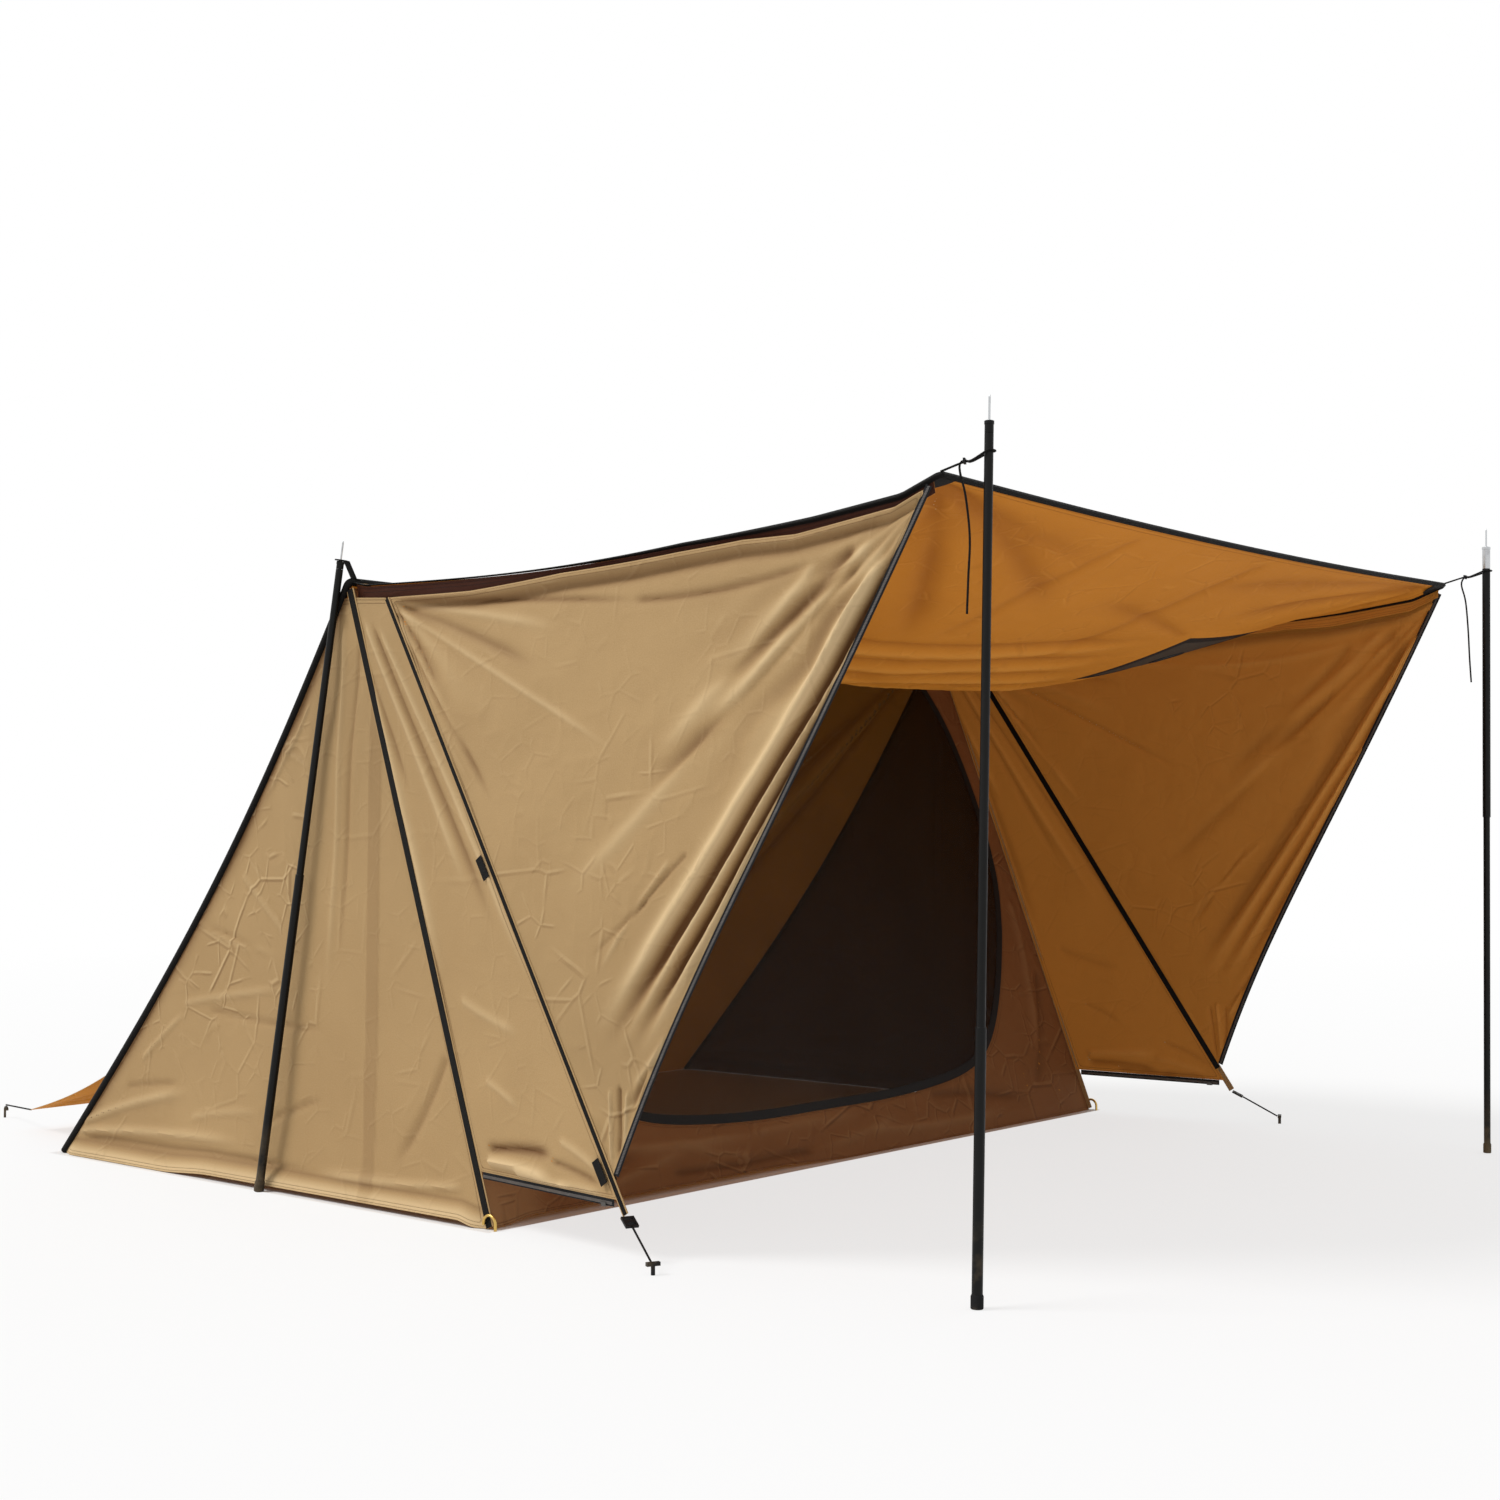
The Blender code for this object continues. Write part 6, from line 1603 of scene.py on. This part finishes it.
FRONT_FOLDS = [
    (-1.100, 0.140, -0.222, 0.099, 0.012, 0.016, 0.0090, 0.010),
    (-0.980, 0.060, -0.640, 0.110, 0.012, 0.016, -0.0072, 0.006),
    (-0.860, 0.020, -0.520, 0.090, 0.012, 0.016, 0.0072, -0.004),
    (-0.560, 0.110, -0.300, 0.040, 0.012, 0.016, 0.0063, 0.006),
    (-0.300, 0.102, 0.144, 0.102, 0.012, 0.016, 0.0072, -0.006),
    (-0.604, 0.035, 0.059, 0.045, 0.012, 0.016, -0.0081, 0.014),
    (-0.120, 0.030, 0.300, 0.090, 0.012, 0.016, 0.0063, 0.006),
    (0.130, 0.060, 0.760, 0.050, 0.012, 0.016, 0.0072, 0.012),
    (0.420, 0.120, 0.900, 0.060, 0.012, 0.016, -0.0072, -0.010),
    (-1.080, 0.640, -0.960, 0.130, 0.012, 0.016, 0.0072, 0.020),
    (1.080, 0.640, 0.960, 0.130, 0.012, 0.016, 0.0072, -0.020),
    (-1.110, 0.420, -0.900, 0.060, 0.012, 0.016, -0.0072, 0.020),
    (1.110, 0.420, 0.900, 0.060, 0.012, 0.016, -0.0072, -0.020),
]
door_edge = with_corners(door_loop())
flat = ring_between(wall_rim(door_edge), grown(door_edge, 0.0009), RAY_STEPS)
share = np.linspace(0, 1, RAY_STEPS)[:, None]
x, slope = flat[..., 0], flat[..., 1]
folds = ridges(x, slope, FRONT_FOLDS)
height = folds + 0.0030 * noise(x, slope, 0.12, 140)
height += 0.0024 * creases(x, slope, 0.06, 141) + 0.0014 * creases(x, slope, 0.03, 142)
height *= smooth(share / 0.25) * smooth((1 - share) / 0.12) * smooth((slope - 0.01) / 0.03)
facing = unit(np.array((0, -RIDGE_HEIGHT, FRONT_BASE)))
lift = 0.012 * smooth((0.05 - x) / 0.3) * smooth((x + 1.12) / 0.1) * smooth((0.09 - slope) / 0.09)
# Painted light: the wall's lower left corner, out beyond the wing where the porch's shade ends, is
# made paler.
band = -0.5 * smooth((-x - 0.96) / 0.08) * smooth((0.30 - slope) / 0.12)
points = wall_point(x, slope) + height[..., None] * facing + lift[..., None] * (0, 0, 1)
front = cloth("front_wall_cloth", points, SHADED, PAINTED_GLOW_LINING, folds, ring=True, band=band, fine=1.6)
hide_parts("front_wall")
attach(front, "tent")
declared(front)

loop = door_loop()
flat = ring_between(loop, grown(loop, -DOOR_TAPE), 6)
points = wall_point(flat[..., 0], flat[..., 1])
tape = cloth(
    "door_tape", points, BLACK_CLOTH, BLACK_CLOTH, ring=True, thickness=TAPE_THICKNESS
)
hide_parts("mesh_door")
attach(tape, "mesh_door")

inner = grown(loop, 0.004 - DOOR_TAPE)
right = inner[inner[:, 0] > 0]
right = right[np.argsort(right[:, 1])]
slope = np.linspace(inner[:, 1].min(), inner[:, 1].max(), 110)
half = np.interp(slope, right[:, 1], right[:, 0])
columns = np.linspace(-1, 1, 150)
x = half[:, None] * columns[None]
slopes = np.repeat(slope[:, None], len(columns), axis=1)
calm = edge_calm(np.linspace(0, 1, len(slope)), (columns + 1) / 2, 0.1)
sway = 0.004 * noise(x, slopes, 0.25, 150) * calm
points = (wall_point(x, slopes) - facing * 0.0014 + sway[..., None] * facing)[:, ::-1]
net = cloth("door_net", points, NET, NET, sway[:, ::-1], thickness=0.0006)
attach(net, "mesh_door")
declared(net)

# %% [markdown]
# ## The rear apron
#
# A strip of the rear wall is pulled out behind the tent and tied to two pegs.
# %% Rear apron
APRON_HALF = 1.112
line = rear_seam(apron_line)
slope = rear_seam(apron_line + 0.001) - rear_seam(apron_line - 0.001)
outward = unit(np.array((0, -slope[2], slope[1])))
pivot = np.array((0, line[1], line[2])) + outward * 0.0022
rows, columns = np.linspace(0, 1, 58), np.linspace(-1, 1, 190)
y = pivot[1] + (APRON_END[1] - pivot[1]) * rows
z = pivot[2] + (APRON_END[2] - pivot[2]) * rows - 0.014 * np.sin(np.pi * rows)
half = APRON_HALF + (APRON_END[0] - APRON_HALF) * rows
x = half[:, None] * columns[None]
y, z = (np.repeat(values[:, None], len(columns), axis=1) for values in (y, z))
APRON_FOLDS = [
    (0.99, 1.42, 0.45, 0.90, 0.010, 0.030, 0.0080, 0.020),
    (-0.99, 1.42, -0.45, 0.90, 0.010, 0.030, 0.0080, -0.020),
    (0.99, 1.42, 0.10, 1.30, 0.010, 0.030, 0.0070, 0.020),
    (-0.99, 1.42, -0.10, 1.30, 0.010, 0.030, 0.0070, -0.020),
    (0.99, 1.42, 0.86, 0.86, 0.010, 0.024, 0.0060, 0.010),
    (-0.99, 1.42, -0.86, 0.86, 0.010, 0.024, 0.0060, -0.010),
]
height = ridges(x, y, APRON_FOLDS) + 0.0040 * noise(x, y, 0.16, 160)
height += 0.0014 * creases(x, y, 0.07, 161)
height = (height * edge_calm(rows, (columns + 1) / 2, 0.06))[:, ::-1]
points = np.stack([x, y, z], -1)[:, ::-1]
apron = cloth("rear_apron_cloth", raised(points, height), KHAKI, BACKLIT, height)
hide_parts("rear_apron")
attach(apron, "rear_apron")
declared(apron)

# %% [markdown]
# ## Piping, straps and zips
#
# The seams that carry the pull are covered: round piping on the ridge and rear seams, and flat
# black webbing on the front seams and on the folds of the wings. A tooth's size is along,
# across and out of its tape.
# %% Piping, straps and zips
STRAP_WIDTH, STRAP_THICKNESS, STRAP_LIFT = 0.0175, 0.0015, 0.0019
FOLD_STRAP_WIDTH = 0.0090
FELL_MARGIN, FELL_THICKNESS = 0.007, 0.0016
INNER_STRAP_WIDTH = 0.015
TAB_WIDTH, TAB_LENGTH, TAB_INSET = 0.020, 0.050, 0.009
TAB_SHARES = (0.465, 0.930)
PIPING_RADIUS, PIPING_BEND = 0.0090, 0.010
ZIP_WIDTH, ZIP_THICKNESS = 0.0135, 0.0013
TOOTH, TOOTH_PITCH = (0.0019, 0.0056, 0.0032), 0.0030
ZIP_END = 0.015


def cloth_outward(line, edge):
    """Outward direction of the cloth between a seam and an edge, half way down."""
    normal = unit(np.cross(unit(line(1.0) - line(0.0)), edge(0.5) - line(0.5)))
    return normal * np.sign(normal[0])


def strap(name, points, facing, side, node, width=STRAP_WIDTH):
    """Webbing along a seam, and the seam's own folded cloth, which shows at both its edges."""
    points, facing = mirrored(points, side), tuple(mirrored(facing, side))
    outline = flat_bar(width + FELL_MARGIN, FELL_THICKNESS, lift=STRAP_LIFT - 0.0007)
    fell = swept(name + "_seam", points, facing, outline, KHAKI)
    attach(fell, "tent")
    outline = flat_bar(width, STRAP_THICKNESS, lift=STRAP_LIFT + STRAP_THICKNESS / 2)
    piece = swept(name, points, facing, outline, WEBBING)
    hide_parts(node)
    return piece


down, bow = np.linspace(0, 1, 90), np.linspace(0, 1, 7)[:, None]
seam_share = 1 - (PIPING_BEND + 0.005) / RIDGE_HEIGHT
seam = rear_seam(PIPING_BEND / RIDGE_HEIGHT + seam_share * down)
start = np.array((RIDGE_HALF - PIPING_BEND, 0, RIDGE_HEIGHT))
peak = np.array((RIDGE_HALF, 0, RIDGE_HEIGHT))
elbow = (1 - bow) ** 2 * start + 2 * bow * (1 - bow) * peak + bow**2 * seam[0]
right = np.vstack([elbow[:-1], seam])
ridge_x = np.linspace(-start[0], start[0], 130)[1:-1]
ridge = np.column_stack([ridge_x, 0 * ridge_x, 0 * ridge_x + RIDGE_HEIGHT])
path = np.vstack([mirrored(right, -1)[::-1], ridge, right])
piping = swept("ridge_piping", path, (0, 0.6, 0.8), round_bar(PIPING_RADIUS), WEBBING)
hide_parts("seam_piping")
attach(piping, "tent")

for word, side in SIDES:
    low, high = APEX_DROP / 2 / RIDGE_HEIGHT, 1 - STRAP_WIDTH / 4 / RIDGE_HEIGHT
    run = front_seam(np.linspace(low, high, 60))
    facing = unit(cloth_outward(front_seam, rear_seam) + cloth_outward(front_seam, wing_fold))
    piece = strap("front_strap_" + word, run, facing, side, "front_seam_strap_" + word)
    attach(piece, "tent")
    run, node = wing_fold(np.linspace(0.003, 0.997, 60)), "wing_strap_" + word
    facing = unit(cloth_outward(wing_fold, front_seam) + cloth_outward(wing_fold, wing_front))
    piece = strap("wing_fold_strap_" + word, run, facing, side, node, FOLD_STRAP_WIDTH)
    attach(piece, "tent")
    inner = flat_bar(INNER_STRAP_WIDTH, STRAP_THICKNESS, lift=-STRAP_LIFT - STRAP_THICKNESS)
    run = mirrored(wing_fold(np.linspace(0.02, 0.95, 60)), side)
    piece = swept("inner_strap_" + word, run, tuple(mirrored(facing, side)), inner, WEBBING)
    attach(piece, "tent")
    facing = cloth_outward(wing_fold, front_seam)
    down_fold = unit(wing_fold(1.0) - wing_fold(0.0))
    inward = np.cross(down_fold, facing)
    inward = inward * np.sign(inward[1])
    facing = tuple(mirrored(facing, side))
    outline = flat_bar(TAB_WIDTH, STRAP_THICKNESS, lift=STRAP_LIFT + 0.0045)
    for number, share in enumerate(TAB_SHARES):
        centre = wing_fold(share) + inward * (TAB_INSET + TAB_WIDTH / 2)
        along = down_fold * TAB_LENGTH / 2
        ends = mirrored([centre + along * part for part in (-1, -0.9, 0.9, 1)], side)
        tab = swept(f"wing_tab_{word}_{number + 1}", ends, facing, outline, WEBBING)
        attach(tab, "tent")


def teeth(name, path, across, facing):
    """A row of small blocks along a path: one block each pitch, turned to the path."""
    walked = length_along(path)
    wanted = np.arange(TOOTH_PITCH, walked[-1] - TOOTH_PITCH, TOOTH_PITCH)
    corners, wide, up = (sampled(wanted, walked, rows) for rows in (path, across, facing))
    wide, up = unit(wide), unit(up)
    signs = np.array([(i, j, k) for i in (-1, 1) for j in (-1, 1) for k in (-1, 1)]) / 2 * TOOTH
    count, corners = len(corners), corners[:, None]
    for sizes, way in zip(signs.T, (unit(np.cross(wide, up)), wide, up)):
        corners = corners + sizes[:, None] * way[:, None]
    block = np.array([
        (0, 1, 3, 2), (4, 6, 7, 5), (0, 4, 5, 1), (2, 3, 7, 6), (0, 2, 6, 4), (1, 5, 7, 3),
    ])
    faces = (block[None] + 8 * np.arange(count)[:, None, None]).reshape(-1, 4)
    mesh = bpy.data.meshes.new(name)
    mesh.from_pydata(place(corners.reshape(-1, 3)).tolist(), [], faces.tolist())
    return added(name, mesh, [ZIP_TEETH])


def zip_run(name, outer, toward, up, side, node):
    """A tape and its row of teeth along the tape's outer edge."""
    outer, toward, up = (mirrored(v, side) for v in (outer, toward, up))
    middle = outer - toward * ZIP_WIDTH / 2
    tape = swept(name + "_tape", middle, up, flat_bar(ZIP_WIDTH, ZIP_THICKNESS), ZIP_TAPE_LOOK)
    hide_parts(node)
    row = teeth(name + "_teeth", outer - toward * ZIP_WIDTH * 0.42, toward, up)
    return tape, row


rows = np.linspace(0, 0.984, 150)
outer = wing_front(rows)
_, inner = trimmed(wing_back(rows), outer, 0, ZIP_WIDTH)
toward = unit(outer - inner)
up = unit(np.cross(toward, np.gradient(outer, axis=0)))
up = up * np.sign(up[:, :1])
hem = gore_points[-1]
along = unit(hem[-1] - hem[0])
hem_up = unit(np.cross(along, gore_points[-14, 28] - hem[28]))
hem_up = hem_up * np.sign(hem_up[0])
hem_down = np.cross(along, hem_up)
hem_down = hem_down * -np.sign(hem_down[2])
below = hem_down * (CLEAR + ZIP_WIDTH)
ends = hem[0] + along * ZIP_END + below, hem[-1] - along * ZIP_END + below
hem_line = mix(ends[0], ends[1], np.linspace(0, 1, 40))
hem_down, hem_up = (np.ones_like(hem_line) * way for way in (hem_down, hem_up))
for word, side in SIDES:
    for piece in zip_run("wing_zip_" + word, outer, toward, up, side, "wing_zipper_" + word):
        bends_with_roof(piece)
    node = "gore_zipper_" + word
    for piece in zip_run("gore_zip_" + word, hem_line, hem_down, hem_up, side, node):
        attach(piece, "tent")

# %% [markdown]
# ## Poles
#
# Four telescoping poles stand outside the cloth. A turned shape suits them: one profile of
# radius and height is carried round the pole's leaning axis, so each tube keeps its open end,
# its rubber foot and its collar. A row of POLES is the pole's name, its foot, how far it leans at
# its full height, that height, the height of its joint, whether its wide tube is the lower one,
# and the length of the plug in its top.
# %% Poles
WALL = 0.0011
OVERLAP = 0.120


def lathe(name, profile, foot, lean, height, material, closed=True, sides=40):
    """A profile of (radius, height along the axis) turned about a leaning pole's axis."""
    axis = Vector((*lean, height)).normalized()
    turn = np.array(Vector((0, 0, 1)).rotation_difference(axis).to_matrix())
    profile = np.array(profile, float)
    angle = np.linspace(0, 2 * np.pi, sides + 1)[:-1]
    ring = np.stack([np.cos(angle), np.sin(angle), 0 * angle], -1)
    points = profile[:, None, :1] * ring[None] + profile[:, None, 1:] * np.array((0, 0, 1.0))
    points = points.reshape(-1, 3) @ turn.T + (*foot, 0.0)
    mesh = bpy.data.meshes.new(name)
    mesh.from_pydata(place(points).tolist(), [], tube_faces(len(profile), sides, closed))
    return added(name, mesh, [material], sharp=35)


POLES = (
    ("front_left", *FRONT_POLES["left"][:2], POLE_LENGTH, 0.470, True, 0.022),
    ("front_right", *FRONT_POLES["right"][:2], POLE_LENGTH, 0.828, False, 0.055),
    ("ridge_left", (-1.178, 0.215), (0.052, -0.204), 1.386, 0.700, True, 0.018),
    ("ridge_right", (1.178, 0.215), (-0.052, -0.204), 1.386, 0.700, True, 0.018),
)
POLE_TOPS = {
    "front_left": "front_pole_top_left", "front_right": "front_pole_top_right",
    "ridge_left": "ridge_pole_top_left", "ridge_right": "ridge_pole_top_right",
}
for word, foot, lean, height, joint, wide_below, plug in POLES:
    length = math.hypot(height, *lean)
    split = joint * (length / height)
    below, above = (WIDE, NARROW) if wide_below else (NARROW, WIDE)
    lower_end = split if wide_below else split + OVERLAP
    upper_start = split - OVERLAP if wide_below else split
    tube = [
        (0.002, 0.020), (0.002, 0.003), (below, 0.003), (below, lower_end - 0.0006),
        (below - 0.0005, lower_end), (below - WALL, lower_end), (below - WALL, 0.020),
    ]
    lower = lathe("lower_tube_" + word, tube, foot, lean, height, COAT)
    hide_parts("pole_lower_" + word)
    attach(lower, "tent")
    cap = [
        (0.002, 0.0008), (below + 0.0006, 0.0008), (below + 0.0016, 0.002),
        (below + 0.0016, 0.022), (below + 0.0004, 0.0245), (below + 0.0001, 0.0245),
        (below + 0.0001, 0.004), (0.002, 0.004),
    ]
    rubber = lathe("foot_cap_" + word, cap, foot, lean, height, RUBBER)
    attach(rubber, "tent")
    top = length - plug
    tube = [
        (above - WALL, upper_start), (above, upper_start), (above, top - 0.0004),
        (above - 0.0004, top), (above - WALL, top),
    ]
    upper = lathe("upper_tube_" + word, tube, foot, lean, height, COAT)
    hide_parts("pole_upper_" + word)
    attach(upper, POLE_TOPS[word])
    stopper = [
        (0.0008, top + 0.0004), (above - 0.0002, top + 0.0004), (above, top + 0.0010),
        (above, length - 0.0072), (above + 0.0007, length - 0.0066),
        (above + 0.0007, length - 0.0012), (above - 0.0004, length - 0.0004),
        (0.0042, length), (0.0008, length),
    ]
    bare = word == "front_right"
    end = lathe("plug_" + word, stopper, foot, lean, height, STEEL if bare else COAT, closed=False)
    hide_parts("pole_tip_" + word)
    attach(end, POLE_TOPS[word])
    spike = [
        (0.0008, length + 0.0002), (0.0032, length + 0.0002), (0.0030, length + 0.0012),
        (0.0020, length + 0.0018), (0.0020, length + 0.0400), (0.0015, length + 0.0436),
        (0.0005, length + 0.0450),
    ]
    pin = lathe("pin_" + word, spike, foot, lean, height, STEEL, closed=False)
    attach(pin, POLE_TOPS[word])

# %% [markdown]
# ## Small hard parts
#
# Bent pins are a rod along a path. The buckles, stakes, runners, apex tabs and sliders keep their
# CAD shape, and take a finish of moulded plastic, webbing or metal.
# %% Small hard parts


def hooked(x, y, side, reach):
    """A pin straight up from the ground and over in a half circle as wide as its reach."""
    turn = np.linspace(0, np.pi, 13)
    bow = abs(reach) / 2
    bend_y, bend_z = y + reach / 2 * (1 - np.cos(turn)), PEG_HEIGHT - bow + bow * np.sin(turn)
    bend = np.column_stack([x + 0 * turn, bend_y, bend_z])
    rod = np.vstack([[(x, y, 0.0005)], bend, [(x, bend[-1, 1], bend[-1, 2] - PEG_RADIUS)]])
    return mirrored(rod, side)


corner_x = max(front_seam(1 - 0.0332 / RIDGE_HEIGHT)[0], BASE_HALF)
corner_x = corner_x + STRAP_LIFT + STRAP_THICKNESS + CLEAR + PEG_RADIUS
for word, side in SIDES:
    rod = hooked(corner_x, -FRONT_BASE - 0.021, side, 0.034)
    pin = swept("corner_pin_" + word, rod, (1, 0, 0), round_bar(PEG_RADIUS, 16), BRASS)
    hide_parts("corner_peg_" + word)
    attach(pin, "tent")
    rod = hooked(*APRON_PEG, side, -0.012)
    pin = swept("apron_pin_" + word, rod, (1, 0, 0), round_bar(PEG_RADIUS, 16), COAT)
    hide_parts("apron_peg_" + word)
    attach(pin, "tent")

KEPT = {
    PLASTIC: ("wing_buckle", "cord_runner", "wing_stake"),
    WEBBING: ("apex_tab",),
    SLIDER: ("zipper_slider",),
}
for look, names in KEPT.items():
    for name in names:
        for word, side in SIDES:
            node = bpy.data.objects[f"{name}_{word}"]
            for slot in node.material_slots:
                slot.link = "OBJECT"
                slot.material = look
            print(node.name, "keeps its shape, finish:", look.name)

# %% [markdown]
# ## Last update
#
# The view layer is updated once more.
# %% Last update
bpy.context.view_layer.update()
